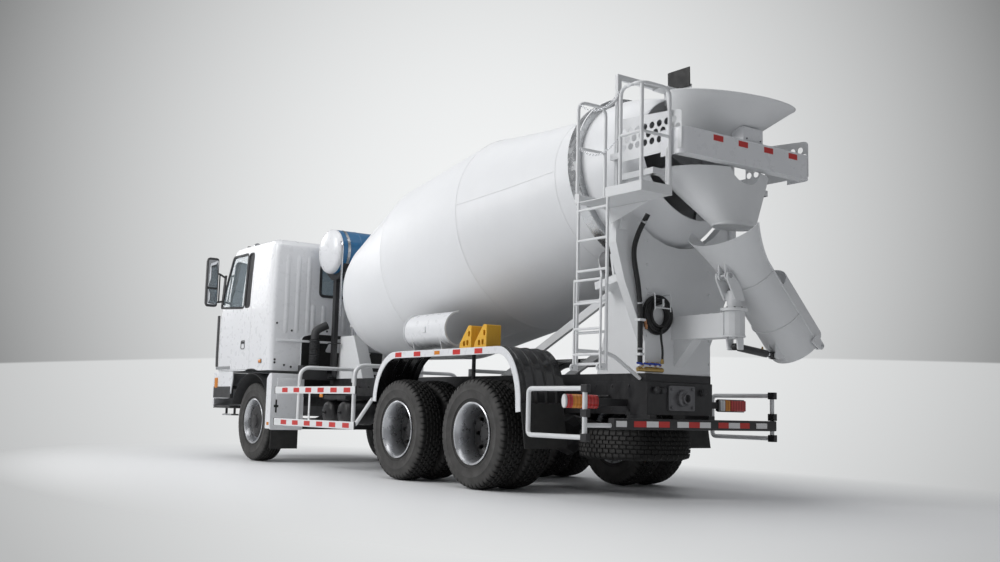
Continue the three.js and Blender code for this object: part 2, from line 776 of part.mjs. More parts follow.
function frontPedestal() {
  const gearbox = fromDrum(join(
    turned([[0, 980], [210, 980], [240, 1060], [240, 1250], [150, 1330],
      [driveRadius, 1380], [driveRadius, flangeStart - bearingGap], [0, flangeStart - bearingGap]],
    16, 'Y'),
    box(-210, 210, 1060, 1240, -560, -100),
  ));
  const parts = [gearbox];
  for (const sign of [-1, 1]) {
    const [x0, x1] = [sign * 250, sign * railOuterX];
    parts.push(alongX([[980, onSubframe], [1700, onSubframe], [1420, 1700], [1060, 1700]],
      Math.min(x0, x1), Math.max(x0, x1)));
  }
  parts.push(box(-260, 260, 1080, 1400, 1500, 1640));
  return join(...parts);
}

add('front_pedestal', frontPedestal(), paints.white);

const plateFront = 6800;
const plateRear = 6900;
const hornTop = 2590;
const hornOuter = 800;
const housingBottom = 1455;

// The water valves' block, the standpipe's clip and the wash hose's hook are on the
// plate's rear face.
const valveTop = 1222;
const pipeRadius = 24;
const [pipeX, pipeY] = [524, plateRear + 34];
const clipLow = 1600;
const hookRadius = 12;
const [coilInner, coilOuter, coilHalf, coilSides] = [95, 185, 40, 20];
const coilCentre = [300, plateRear + seatGap + coilHalf, 1670];

function hoseFittings() {
  const coilInside = coilInner * Math.cos(Math.PI / coilSides);
  const hookZ = coilCentre[2] + coilInside - seatGap - hookRadius * Math.cos(Math.PI / 8);
  const clip = box(pipeX - 36, pipeX + 36, plateRear - 5, pipeY + 34, clipLow, clipLow + 20);
  return join(
    cut(clip, bore([pipeX, pipeY, clipLow - 20], [pipeX, pipeY, clipLow + 40], pipeRadius)),
    box(225, 560, plateRear - 5, plateRear + 65, 1190, valveTop),
    rod([coilCentre[0], plateRear - 5, hookZ], [coilCentre[0], plateRear + 105, hookZ],
      hookRadius, 8),
    box(coilCentre[0] - 8, coilCentre[0] + 8, plateRear + 95, plateRear + 105, hookZ - 8,
      hookZ + 60),
  );
}

function rearPedestal() {
  const tailCentre = drumAxisHeight + ((plateFront + plateRear) / 2) * Math.tan(drumTilt);
  const clearRadius = 800;
  const drop = tailCentre - hornTop;
  const hornInner = Math.sqrt(clearRadius ** 2 - drop ** 2);
  const low = THREE.MathUtils.radToDeg(Math.atan2(-drop, hornInner));
  const face = alongY([
    [-430, onSubframe], [430, onSubframe], [430, 1420], [690, 1960], [hornOuter, 2300],
    [hornOuter, hornTop],
    ...arc(0, tailCentre, clearRadius, clearRadius, low, -180 - low, 8),
    [-hornOuter, hornTop], [-hornOuter, 2300], [-690, 1960], [-430, 1420],
  ], plateFront, plateRear);
  const brackets = [];
  for (const sign of [-1, 1]) {
    for (const [near, far] of [[bracketNear, bracketFar], [-bracketFar, -bracketNear]]) {
      const x = sign * rollerX;
      brackets.push(box(x - 80, x + 80, trackMiddle + near, trackMiddle + far,
        rollerDrop - 210, rollerDrop + 45));
    }
    const x = sign * rollerX;
    brackets.push(box(x - 130, x + 130, trackMiddle - 130, trackMiddle + 330,
      rollerDrop - 250, rollerDrop - 180));
  }
  const pins = [-1, 1].map((sign) => bore([sign * rollerX, trackMiddle - 200, rollerDrop],
    [sign * rollerX, trackMiddle + 200, rollerDrop], rollerPin));
  const parts = [face, fromDrum(cut(join(...brackets), ...pins))];
  for (const sign of [-1, 1]) {
    const [x0, x1] = [sign * 390, sign * 430].sort((a, b) => a - b);
    parts.push(alongX([
      [6250, onSubframe], [plateFront + 10, onSubframe], [plateFront + 10, 2010],
      [6420, 1945], [6420, 1800],
    ], x0, x1));
    const brace = band([[4700, onSubframe + 2], [6440, 1940]], 90);
    parts.push(alongX([...brace.slice(0, 2), [6440, 1850], [4880, onSubframe + 2]], x0, x1));
  }
  parts.push(box(-430, 430, 6390, 6440, 1500, 1925));
  parts.push(box(-95, 95, plateRear - 5, swivelY - 40, 1455, 1670));
  parts.push(alongX([[plateRear - 5, 1200], [plateRear + 250, 1460], [plateRear - 5, 1460]],
    -60, 60));
  const housing = rod([0, swivelY, housingBottom], [0, swivelY, 1685], 95, 12);
  const swivel = bore([0, swivelY, 1400], [0, swivelY, 1700], swivelRadius);
  return cut(join(...parts, housing, hoseFittings()), swivel);
}

add('rear_pedestal', rearPedestal(), paints.white);

// The drum's own shape, grown by a clearance, for cutting what stands round its mouth.
const aroundTail = fromDrum(turned([
  [0, trackStart - 60], [trackRadius + 40, trackStart - 60], [trackRadius + 40, trackEnd + 40],
  [tailRadius + 30, trackEnd + 50], [735 + 40, 6870], [mouthRadius + 45, mouthEnd + 30],
  [0, mouthEnd + 30],
], drumSides, 'Y'));

// A funnel: a thin cone about Z, leaned and stretched, with a rim that slopes.
function funnel({ low, high, wall, lean, slope, wideX = 1, wideY = 1, sides = 20 }) {
  const shape = new THREE.LatheGeometry([
    new THREE.Vector2(low, 0), new THREE.Vector2(high[0], high[1]),
    new THREE.Vector2(high[0] - wall, high[1]), new THREE.Vector2(low - wall, 0),
    new THREE.Vector2(low, 0),
  ], sides);
  shape.rotateX(Math.PI / 2);
  shape.applyMatrix4(new THREE.Matrix4().set(
    wideX, 0, 0, 0,
    0, wideY, lean, 0,
    0, slope * wideY, 1, 0,
    0, 0, 0, 1,
  ));
  return solid(shape);
}

function collectingHopper() {
  const bowl = funnel({
    low: 190, high: [500, 500], wall: 14, lean: -0.51, slope: 0, wideX: 1.19, wideY: 0.84,
  }).translate([0, swivelY, 2440]);
  const parts = [cut(bowl, aroundTail)];
  for (const sign of [-1, 1]) {
    parts.push(box(sign * 715, sign * 765, plateRear + seatGap, 7330, 2860, 2920));
    parts.push(box(sign * 540, sign * 765, 7270, 7330, 2860, 2920));
    parts.push(box(sign * 690, sign * 765, plateRear + seatGap, plateRear + 30, 2420, 2920));
  }
  return cut(join(...parts), aroundTail);
}

add('collecting_hopper', collectingHopper(), paints.white);

function chargingHopper() {
  const cone = funnel({
    low: 230, high: [620, 420], wall: 12, lean: 1.05, slope: -0.19, wideX: 1.02, wideY: 0.855,
  }).translate([0, 7100, 3180]);
  const postX = 742;
  const [postY0, postY1] = [plateRear - 48, plateRear - 4];
  const parts = [cone];
  for (const sign of [-1, 1]) {
    const [x0, x1] = [sign * postX, sign * (postX + 50)];
    parts.push(box(x0, x1, postY0, postY1, hornTop + seatGap, 3860));
  }
  parts.push(box(-postX - 50, postX + 50, postY0, postY1, 3800, 3860));
  parts.push(box(-330, 330, postY0 + 10, 7060, 3790, 3802));
  parts.push(box(-210, 210, 7005, 7030, 3670, 3795));
  parts.push(box(-330, 330, 6960, 6980, 3795, 3983));
  return join(...parts);
}

add('charging_hopper', chargingHopper(), paints.white);

function hopperGuard() {
  const [low, high] = [2960, 3190];
  const boardY = 7760;
  const guardX = 844;
  const parts = [box(-guardX, guardX, boardY, boardY + 14, low, high)];
  for (const sign of [-1, 1]) {
    const [x0, x1] = [sign * guardX, sign * (guardX - 14)];
    const holes = [];
    for (let i = 0; i < 4; i += 1) {
      for (let j = 0; j < 2; j += 1) {
        holes.push(arc(7090 + i * 150 + j * 70, 3110 + j * 140, 48, 48, 0, 300, 5));
      }
    }
    parts.push(alongX([[6990, low + 40], [boardY + 5, low + 40], [boardY + 5, 3340],
      [6990, 3400]], Math.min(x0, x1), Math.max(x0, x1), holes));
    parts.push(box(sign * (792 + seatGap), sign * guardX, plateRear - 44, plateRear - 8, 3040, 3100));
    parts.push(box(x0, x1, plateRear - 44, 7000, 3040, 3100));
  }
  return join(...parts);
}

add('hopper_guard', hopperGuard(), paints.white);

// ---------------------------------------------------------------- chutes

// The trough runs down and to the right of the truck at rest. Its frame: t along it,
// n square to it and down, with y across.
const [slopeSin, slopeCos] = [Math.sin(chuteSlope), Math.cos(chuteSlope)];
const troughTop = [
  chutePinX - chutePinDrop * slopeSin + chutePinAlong * slopeCos,
  chutePinZ + chutePinDrop * slopeCos + chutePinAlong * slopeSin,
];

function chutePoint(t, n) {
  return [troughTop[0] - t * slopeCos + n * slopeSin, troughTop[1] - t * slopeSin - n * slopeCos];
}

// An outline across the trough, carried along it, with its width given by a function.
function trough(section, t0, t1, steps, widen) {
  const shape = new THREE.ExtrudeGeometry(outline(section),
    { depth: t1 - t0, steps, bevelEnabled: false });
  const points = shape.getAttribute('position');
  for (let i = 0; i < points.count; i += 1) {
    const t = points.getZ(i) + t0;
    const [x, z] = chutePoint(t, -points.getY(i));
    points.setXYZ(i, x, swivelY + points.getX(i) * widen(t), z);
  }
  return solid(shape);
}

function gutter(radius, wall, up) {
  const flip = up ? -1 : 1;
  return [
    ...arc(0, 0, radius, radius * flip, 180, 360, 8),
    ...arc(0, 0, radius - wall, (radius - wall) * flip, 360, 180, 8),
  ];
}

const flare = (t) => {
  const share = Math.max(0, 1 - t / 430);
  return 1 + (chuteMouthHalfWidth / chuteRadius - 1) * share ** 1.5;
};

function acrossBar(t, n, halfWidth, radius, sides = 8) {
  const [x, z] = chutePoint(t, n);
  return rod([x, swivelY - halfWidth, z], [x, swivelY + halfWidth, z], radius, sides);
}

function boreAcross(t, n, halfWidth, shaftRadius, sides) {
  const [x, z] = chutePoint(t, n);
  return bore([x, swivelY - halfWidth, z], [x, swivelY + halfWidth, z], shaftRadius, sides);
}

const lugHalf = 45;
const chutePin = 22;
const jackPinRadius = 14;
const jackFootPin = 16;
const jackRodRadius = 18;
const jackEyeDrift = 8; // the eye's play, for a joint worked at a constant ratio

// A lug under the trough: an eye round the point, and a root on the trough's wall.
function chuteLug(t, n, fromY, toY) {
  const [x, z] = chutePoint(t, n);
  const root = chuteRadius - 12;
  const corners = [chutePoint(t - 70, root), chutePoint(t + 70, root), chutePoint(t + 34, n + 10),
    chutePoint(t + 20, n + 34), chutePoint(t - 20, n + 34), chutePoint(t - 34, n + 10)];
  return join(
    alongY(corners, swivelY + fromY, swivelY + toY),
    rod([x, swivelY + fromY, z], [x, swivelY + toY, z], 34, 10),
  );
}

function mainChute() {
  const body = trough(gutter(chuteRadius, chuteWall, false), 0, chuteLength, 6, flare);
  const parts = [body,
    chuteLug(chutePinAlong, chutePinDrop, -lugHalf, lugHalf),
    chuteLug(jackHeadAlong, jackHeadDrop, 30, 45),
    chuteLug(jackHeadAlong, jackHeadDrop, -45, -30),
    acrossBar(jackHeadAlong, jackHeadDrop, 40, jackPinRadius, 12),
  ];
  for (const sign of [-1, 1]) {
    const [near, far] = [swivelY + sign * (chuteRadius + runGap), swivelY + sign * 282];
    const corners = [[chuteLength - 90, 40], [chuteLength + 30, 30], [chuteLength + 30, -22],
      [chuteLength - 20, -22], [chuteLength - 90, 8]].map(([t, n]) => chutePoint(t, n));
    parts.push(alongY(corners, Math.min(near, far), Math.max(near, far)));
    const [x, z] = chutePoint(chuteLength - 40, 24);
    const [pinX, pinZ] = chutePoint(chuteLength + 18, 0);
    const inside = swivelY + sign * (chuteRadius - 36);
    parts.push(rod([x, swivelY + sign * (chuteRadius - 4), z], [x, far, z], 12, 8));
    parts.push(rod([pinX, inside, pinZ], [pinX, far, pinZ], 12, 12));
  }
  return cut(join(...parts), boreAcross(chutePinAlong, chutePinDrop, 100, chutePin, pinSides));
}

add('main_chute', mainChute(), paints.white);

function extensionChute() {
  const start = chuteLength - 8;
  const body = trough(gutter(chuteRadius, chuteWall, true), start - extensionLength, start, 3,
    () => 1).translate([-runGap * slopeSin, 0, runGap * slopeCos]);
  const parts = [body];
  for (const sign of [-1, 1]) {
    const y = swivelY + sign * (chuteRadius - 22);
    const corners = [[chuteLength - 90, -50], [chuteLength - 60, -16], [chuteLength + 2, 18],
      [chuteLength + 36, 18], [chuteLength + 36, -18], [chuteLength - 20, -90]]
      .map(([t, n]) => chutePoint(t, n));
    parts.push(alongY(corners, y - 10, y + 10));
  }
  return cut(join(...parts), boreAcross(chuteLength + 18, 0, chuteRadius + 60, 12, 12));
}

add('extension_chute', extensionChute(), paints.white);

function chutePost() {
  const footTop = housingBottom - bearingGap;
  const parts = [
    rod([0, swivelY, footTop - 14], [0, swivelY, 1720], swivelRadius, 12),
    rod([0, swivelY, 1685 + bearingGap], [0, swivelY, 1715], 120, 12),
    rod([0, swivelY, 1700], [0, swivelY, 1870], 62, 8),
    box(-34, 34, swivelY - 68, swivelY + 68, footTop - 14, footTop),
  ];
  for (const sign of [-1, 1]) {
    const y = swivelY + sign * (lugHalf + 18);
    parts.push(alongY([[-60, 1780], [60, 1780], [chutePinX + 36, 1960], [chutePinX + 30, 2020],
      [chutePinX - 26, 2020], [-20, 1900]], y - 10, y + 10));
    const yLow = swivelY + sign * 58;
    parts.push(alongY([[-50, footTop - 2], [34, footTop - 2], [20, jackFootZ - 30],
      [-50, jackFootZ - 30]], yLow - 10, yLow + 10));
  }
  parts.push(rod([chutePinX, swivelY - 85, chutePinZ], [chutePinX, swivelY + 85, chutePinZ],
    chutePin, pinSides));
  parts.push(box(-58, 58, swivelY - 73, swivelY + 73, 1785, 1850));
  parts.push(rod([-jackFootX, swivelY - 62, jackFootZ], [-jackFootX, swivelY + 62, jackFootZ],
    jackFootPin, 12));
  return join(...parts);
}

add('chute_post', chutePost(), paints.white);

// The jack runs between its foot on the post and the lug under the trough.
const jackFoot = [-jackFootX, jackFootZ];
const jackHead = chutePoint(jackHeadAlong, jackHeadDrop);
const jackRun = [jackHead[0] - jackFoot[0], jackHead[1] - jackFoot[1]];
const jackLength = Math.hypot(...jackRun);

function jackPoint(share, millimetres = 0) {
  const d = share + millimetres / jackLength;
  return [jackFoot[0] + jackRun[0] * d, swivelY, jackFoot[1] + jackRun[1] * d];
}

function jackBarrel() {
  const foot = rod([jackFoot[0], swivelY - 24, jackFoot[1]], [jackFoot[0], swivelY + 24,
    jackFoot[1]], 32, 12);
  const tube = rod(jackPoint(0, 22), jackPoint(1, -100), 34, 12);
  const rodHole = bore(jackPoint(0, 60), jackPoint(1, -90), jackRodRadius);
  const footHole = bore([jackFoot[0], swivelY - 40, jackFoot[1]],
    [jackFoot[0], swivelY + 40, jackFoot[1]], jackFootPin);
  return cut(join(foot, tube), rodHole, footHole);
}

function jackRod() {
  const eye = rod([jackHead[0], swivelY - 22, jackHead[1]], [jackHead[0], swivelY + 22,
    jackHead[1]], 36, 12);
  const hole = rod([jackHead[0], swivelY - 40, jackHead[1]], [jackHead[0], swivelY + 40,
    jackHead[1]], jackPinRadius + jackEyeDrift, 12);
  return cut(join(eye, rod(jackPoint(0, 70), jackPoint(1, -24), jackRodRadius, 12)), hole);
}

add('jack_barrel', jackBarrel(), paints.black);
add('jack_rod', jackRod(), paints.steel);

// ---------------------------------------------------------------- platform and ladders

const platformTop = 2690;
const platformInner = 850;
const platformOuter = 1210;
const platformFront = 6797;
const platformRear = 7648;
const kick = 10; // the kick plates' thickness
const postRadius = 17;

function servicePlatform() {
  const bottom = hornTop + 10;
  const parts = [
    cut(
      box(platformInner, platformOuter, platformFront, platformRear, bottom, platformTop),
      box(platformInner + kick, platformOuter - kick, platformFront + kick,
        platformRear - kick, bottom + 12, platformTop + 5),
    ),
    box(690, platformInner + 5, platformFront + 6, platformFront + 46, hornTop + seatGap,
      hornTop + 60),
  ];
  const [inX, outX] = [platformInner + postRadius, platformOuter - postRadius];
  const railTop1 = 3549;
  const middle = 3110;
  const [frontY, gapY, rearY] = [platformFront + 20, 7371, platformRear - 20];
  parts.push(pipe([[outX, frontY, bottom], [outX, frontY, railTop1], [inX, frontY, railTop1],
    [inX, frontY, bottom]], postRadius, 6));
  parts.push(pipe([[outX, gapY, bottom], [outX, gapY, railTop1], [outX, rearY, railTop1],
    [inX, rearY, railTop1], [inX, frontY, railTop1]], postRadius, 6));
  parts.push(rod([outX, rearY, bottom], [outX, rearY, railTop1], postRadius, 6));
  parts.push(rod([inX, rearY, bottom], [inX, rearY, railTop1], postRadius, 6));
  parts.push(rod([outX, frontY, middle], [inX, frontY, middle], postRadius - 3, 6));
  parts.push(pipe([[outX, gapY, middle], [outX, rearY, middle], [inX, rearY, middle]],
    postRadius - 3, 6));
  return join(...parts);
}

const ladderX = 1200;
const ladderYs = [6844, 7224];

function ladder() {
  const bottom = 1123;
  const parts = ladderYs.map((y) => box(ladderX - 16, ladderX + 10, y - 12, y + 12, bottom,
    hornTop + 20));
  for (let z = 1180; z < 2560; z += 270) {
    parts.push(box(ladderX - 14, ladderX + 8, ladderYs[0], ladderYs[1], z - 12, z + 12));
  }
  parts.push(pipe([[ladderX - 5, ladderYs[0], 1300], [800, ladderYs[0], 1300],
    [railOuterX + seatGap + 10, ladderYs[0], 1085]], 18, 6));
  parts.push(box(railOuterX + seatGap, railOuterX + 30, ladderYs[0] - 40, ladderYs[0] + 40,
    railTop + 10, railTop + 60));
  const pinX = ladderX + 56;
  for (const y of ladderYs) {
    parts.push(box(ladderX, pinX + 14, y - 12, y - 2, bottom, bottom + 60));
  }
  parts.push(rod([pinX, ladderYs[0] - 12, 1150], [pinX, ladderYs[1] - 2, 1150], 8, 12));
  return join(...parts);
}

add('service_platform', join(servicePlatform(), ladder()), paints.white);

function ladderStep() {
  const pinX = ladderX + 56;
  const [y0, y1] = [ladderYs[0] + 12, ladderYs[1] - 26];
  const parts = [];
  for (const y of [y0, y1]) {
    parts.push(box(pinX - 28, pinX - 6, y - 8, y + 8, 1150, 1915));
    parts.push(rod([pinX, y - 8, 1150], [pinX, y + 8, 1150], 28, 12));
  }
  for (const z of [1260, 1480, 1700, 1900]) {
    parts.push(box(pinX - 26, pinX - 8, y0, y1, z - 12, z + 12));
  }
  const hole = bore([pinX, y0 - 30, 1150], [pinX, y1 + 30, 1150], 8);
  return cut(join(...parts), hole);
}

add('ladder_step', ladderStep(), paints.white);

// ---------------------------------------------------------------- tail

function rearGuardFrame() {
  const barY = [6960, 7040];
  const frontY = 6210;
  const parts = [box(-sideX + 10, 925, barY[0], barY[1], 625, 727)];
  for (const sign of [-1, 1]) {
    const [x0, x1] = [sign * (railOuterX - railWidth), sign * railOuterX].sort((a, b) => a - b);
    parts.push(box(x0, x1, 6660, barY[0] + 5, 690, railBottom - seatGap));
    const x = sign * (sideX - 20);
    parts.push(pipe([[x, 6990, 972], [x, frontY, 972], [x, frontY, 556], [x, 6990, 556],
      [x, 6990, 972]], 22));
    parts.push(rod([x, 6990, 660], [sign * 880, 6990, 660], 20, 8));
  }
  return join(...parts);
}

add('rear_guard_frame', rearGuardFrame(), paints.black);

function tailLamp() {
  return join(
    box(790, 1190, 6640, 6700, 800, 930),
    box(railOuterX + seatGap, 800, 6640, 6670, 830, 900),
  );
}

add('tail_lamp_left', tailLamp(), paints.red);
add('tail_lamp_right', mirrored(tailLamp()), paints.red);

// ---------------------------------------------------------------- water tank and stowage

function waterTank() {
  const [y, z, radius] = [1040, 2840, 300];
  const barrel = turned([[0, -720], [150, -700], [250, -665], [radius, -600], [radius, 600],
    [250, 665], [150, 700], [0, 720]], 20).translate([0, y, z]);
  const parts = [barrel];
  for (const sign of [-1, 1]) {
    const x = sign * 500;
    parts.push(box(x - 30, x + 30, y - 60, y + 20, onSubframe + 20, z - 250));
    const [x0, x1] = [sign * (railOuterX - 60), sign * 530].sort((a, b) => a - b);
    parts.push(box(x0, x1, subframeFront + 5, subframeFront + 75, onSubframe, onSubframe + 120));
    parts.push(box(x - 30, x + 30, subframeFront + 5, y, onSubframe + 60, onSubframe + 120));
  }
  return join(...parts);
}

add('water_tank', waterTank(), paints.blue);

const fenderTop = 1371 + seatGap;

function spareChute() {
  const radius = 175;
  const [x, z] = [1010, 1650];
  const ring = [...arc(x, z, radius, radius, 20, 200, 8), ...arc(x, z, radius - 7, radius - 7,
    200, 20, 8)];
  const parts = [alongY(ring, 3900, 4720)];
  for (const y of [4020, 4560]) {
    parts.push(alongY([[x - 150, fenderTop + 6], [x + 150, fenderTop + 6],
      ...arc(x, z, radius - 3, radius - 3, 20, 160, 6)], y - 12, y + 12));
    parts.push(box(x - 160, x + 160, y - 40, y + 40, fenderTop, fenderTop + 8));
  }
  return join(...parts);
}

add('spare_chute', spareChute(), paints.white);

function wheelChocks() {
  const parts = [box(980, 1200, 4990, 5480, fenderTop, fenderTop + 8)];
  for (const y of [5000, 5260]) {
    parts.push(alongX([[y, fenderTop + 4], [y + 210, fenderTop + 4], [y + 210, fenderTop + 235],
      [y + 150, fenderTop + 225]], 1000, 1180));
  }
  return join(...parts);
}

add('wheel_chocks', wheelChocks(), paints.yellow);

// ---------------------------------------------------------------- hoses

// A thick pipe from the platform's edge down to the valve block, held all the way.
add('standpipe', hose([
  [560, 7060, 2560], [600, 6975, 2380], [620, 6945, 2200], [560, 6940, 1920],
  [pipeX, pipeY, 1700], [pipeX, pipeY, 1640], [pipeX, pipeY, 1580], [pipeX, pipeY, 1480],
  [pipeX, pipeY, 1360], [pipeX, pipeY, valveTop + seatGap],
], pipeRadius, 18), paints.rubber);

// The wash hose hangs in a coil on its hook, and its end runs down to the valve block.
add('wash_hose_coil', turned([[coilInner, -coilHalf], [coilOuter, -coilHalf],
  [coilOuter, coilHalf], [coilInner, coilHalf], [coilInner, -coilHalf]], coilSides, 'Y',
Math.PI / coilSides)
  .translate(coilCentre), paints.rubber);
const coilUnder = coilCentre[2] - coilOuter * Math.cos(Math.PI / coilSides);
add('wash_hose', hose([
  [290, coilCentre[1], coilUnder - seatGap], [290, coilCentre[1], 1460],
  [278, 6942, 1420], [262, 6944, 1370], [252, 6944, 1320], [250, 6942, 1270],
  [250, 6940, 1245], [250, 6940, valveTop + seatGap],
], 11, 12), paints.rubber);

// ---------------------------------------------------------------- origin

// The origin goes on the ground, under the middle of the truck's box.
const whole = new THREE.Box3().setFromObject(truck, true);
const model = new THREE.Group();
truck.position.set(-(whole.min.x + whole.max.x) / 2, -(whole.min.y + whole.max.y) / 2,
  -whole.min.z);
model.add(truck);

export default model;
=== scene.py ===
"""A concrete mixer truck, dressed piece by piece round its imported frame.

Lengths are metres. +Y runs to the tail, +X to the truck's left side, +Z up. Stations along the
truck are counted from the front axle, and at() moves them to the frame's own origin.
"""

import json
import logging
import math
from dataclasses import dataclass, field
from enum import Enum
from typing import Any, Callable, Iterable, Sequence

import bpy
import numpy as np
from mathutils import Matrix, Vector

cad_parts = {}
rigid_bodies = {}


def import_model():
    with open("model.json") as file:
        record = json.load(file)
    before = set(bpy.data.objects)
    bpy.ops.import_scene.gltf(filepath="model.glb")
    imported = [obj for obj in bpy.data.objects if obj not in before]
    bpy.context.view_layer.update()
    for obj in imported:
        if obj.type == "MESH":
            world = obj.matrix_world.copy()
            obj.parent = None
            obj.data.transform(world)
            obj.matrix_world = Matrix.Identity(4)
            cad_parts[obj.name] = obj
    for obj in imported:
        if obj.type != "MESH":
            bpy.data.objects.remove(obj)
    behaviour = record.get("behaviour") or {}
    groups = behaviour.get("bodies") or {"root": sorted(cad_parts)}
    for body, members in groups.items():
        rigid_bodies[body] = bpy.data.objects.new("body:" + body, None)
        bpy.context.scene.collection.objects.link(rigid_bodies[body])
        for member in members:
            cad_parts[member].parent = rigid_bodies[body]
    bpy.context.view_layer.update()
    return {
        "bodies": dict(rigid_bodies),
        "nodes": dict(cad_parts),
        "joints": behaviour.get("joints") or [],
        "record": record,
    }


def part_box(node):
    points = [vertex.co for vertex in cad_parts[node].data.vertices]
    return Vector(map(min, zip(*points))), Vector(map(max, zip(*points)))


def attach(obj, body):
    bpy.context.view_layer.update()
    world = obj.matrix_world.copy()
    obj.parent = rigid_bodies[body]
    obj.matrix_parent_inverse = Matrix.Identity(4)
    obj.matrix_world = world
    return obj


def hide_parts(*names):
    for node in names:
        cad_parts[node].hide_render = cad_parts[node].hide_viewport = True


log = logging.getLogger("mixer")
Array = np.ndarray
Point = Sequence[float]

FRONT_AXLE = -3.33555
AXLE_HEIGHT = 0.53829
LEFT, RIGHT = 1, -1
SIDES = ((LEFT, "left"), (RIGHT, "right"))
# In degrees: edges past CREASE stay sharp, and those past BEVEL_FROM are rounded.
CREASE, BEVEL_FROM = 35.0, 38.0
# The depth of a surface's fine relief, and the roughness of a clear coat.
RELIEF, COAT_ROUGHNESS = 0.002, 0.08


def at(station: float) -> float:
    """The frame's y of a station counted from the front axle."""
    return station + FRONT_AXLE


class Axis(Enum):
    """The frame's axes, by the index of their coordinate."""

    X = 0
    Y = 1
    Z = 2

    @property
    def vector(self) -> Array:
        """The axis as a unit vector."""
        return np.eye(3)[self.value]


# ---------------------------------------------------------------- surfaces


@dataclass
class Surface:
    """Points and the faces between them, gathered as whole arrays.

    quads is an (n, 4) array of point numbers, and caps holds the many-sided end faces.
    """

    points: Array
    quads: Array = field(default_factory=lambda: np.zeros((0, 4), int))
    caps: list[Array] = field(default_factory=list)

    def moved(self, shift: Point) -> "Surface":
        """A copy carried by shift."""
        return Surface(self.points + np.asarray(shift, float), self.quads, self.caps)

    def mirrored(self) -> "Surface":
        """A copy mirrored in the plane x = 0, with its faces turned back outwards."""
        flipped = self.points * np.array([-1.0, 1.0, 1.0])
        return Surface(flipped, self.quads[:, ::-1], [cap[::-1] for cap in self.caps])

    def turned(self, matrix: Array, about: Point = (0, 0, 0)) -> "Surface":
        """A copy turned by a 3 by 3 matrix about a point."""
        centre = np.asarray(about, float)
        return Surface((self.points - centre) @ matrix.T + centre, self.quads, self.caps)

    def volume(self) -> float:
        """Signed volume: the sum of the pyramids from the first point to every face.

        Returns:
            Cubic metres, below zero if the faces point in.
        """
        p = self.points - self.points.mean(axis=0)
        total = 0.0
        if len(self.quads):
            a, b, c, d = (p[self.quads[:, k]] for k in range(4))
            for near, far in ((b, c), (c, d)):
                total += np.einsum("ij,ij->", a, np.cross(near, far))
        for cap in self.caps:
            ring = p[cap]
            total += np.einsum("ij,ij->", np.repeat(ring[:1], len(cap) - 2, 0),
                               np.cross(ring[1:-1], ring[2:]))
        return float(total) / 6

    def outward(self) -> "Surface":
        """The same closed surface with its faces pointing out."""
        if self.volume() >= 0:
            return self
        return Surface(self.points, self.quads[:, ::-1], [cap[::-1] for cap in self.caps])


def merged(surfaces: Iterable[Surface]) -> Surface:
    """Several surfaces as one, with the point numbers of each counted on from the last.

    Args:
        surfaces: the surfaces, in order.

    Returns:
        The one surface.
    """
    points, quads, caps, start = [], [], [], 0
    for surface in surfaces:
        points.append(surface.points)
        quads.append(surface.quads + start)
        caps.extend(cap + start for cap in surface.caps)
        start += len(surface.points)
    return Surface(np.concatenate(points), np.concatenate(quads), caps)


def both_sides(surface: Surface) -> Surface:
    """A surface with its mirror image."""
    return merged([surface, surface.mirrored()])


def pair(surface: Surface, out: int) -> Surface:
    """A left side piece, or its mirror image for the right."""
    return surface if out > 0 else surface.mirrored()


def lattice(grid: Array, wrap_u: bool = False, wrap_v: bool = False,
            cap_u: bool = False, cap_v: bool = False) -> Surface:
    """A surface through a grid of points.

    Point (i, j) of the grid is point number i * columns + j, and each face joins (i, j),
    (i + 1, j), (i + 1, j + 1) and (i, j + 1).

    Args:
        grid: points, rows by columns by 3.
        wrap_u: the last row joins the first.
        wrap_v: the last column joins the first.
        cap_u: the first and last rows are closed by one face each.
        cap_v: the first and last columns are closed by one face each.

    Returns:
        The surface, facing outwards if it is closed.
    """
    rows, columns = grid.shape[:2]
    i = np.arange(rows if wrap_u else rows - 1)[:, None]
    j = np.arange(columns if wrap_v else columns - 1)[None, :]
    i1, j1 = (i + 1) % rows, (j + 1) % columns
    corners = [i * columns + j, i1 * columns + j, i1 * columns + j1, i * columns + j1]
    quads = np.stack([c.reshape(-1) for c in np.broadcast_arrays(*corners)], axis=1)
    numbers = np.arange(rows * columns).reshape(rows, columns)
    caps: list[Array] = []
    if cap_u:
        caps += [numbers[0], numbers[-1][::-1]]
    if cap_v:
        caps += [numbers[:, 0][::-1], numbers[:, -1]]
    made = Surface(grid.reshape(-1, 3).astype(float), quads, caps)
    closed = (wrap_u or cap_u) and (wrap_v or cap_v)
    return made.outward() if closed else made


def grid_normals(grid: Array, wrap_u: bool = False) -> Array:
    """Unit normals of a grid: the cross product of its two running differences.

    Args:
        grid: points, rows by columns by 3.
        wrap_u: the last row joins the first.

    Returns:
        A normal for each point.
    """
    if wrap_u:
        du = np.roll(grid, -1, 0) - np.roll(grid, 1, 0)
    else:
        du = np.gradient(grid, axis=0)
    dv = np.gradient(grid, axis=1)
    normal = np.cross(du, dv)
    return normal / np.maximum(np.linalg.norm(normal, axis=2, keepdims=True), 1e-12)


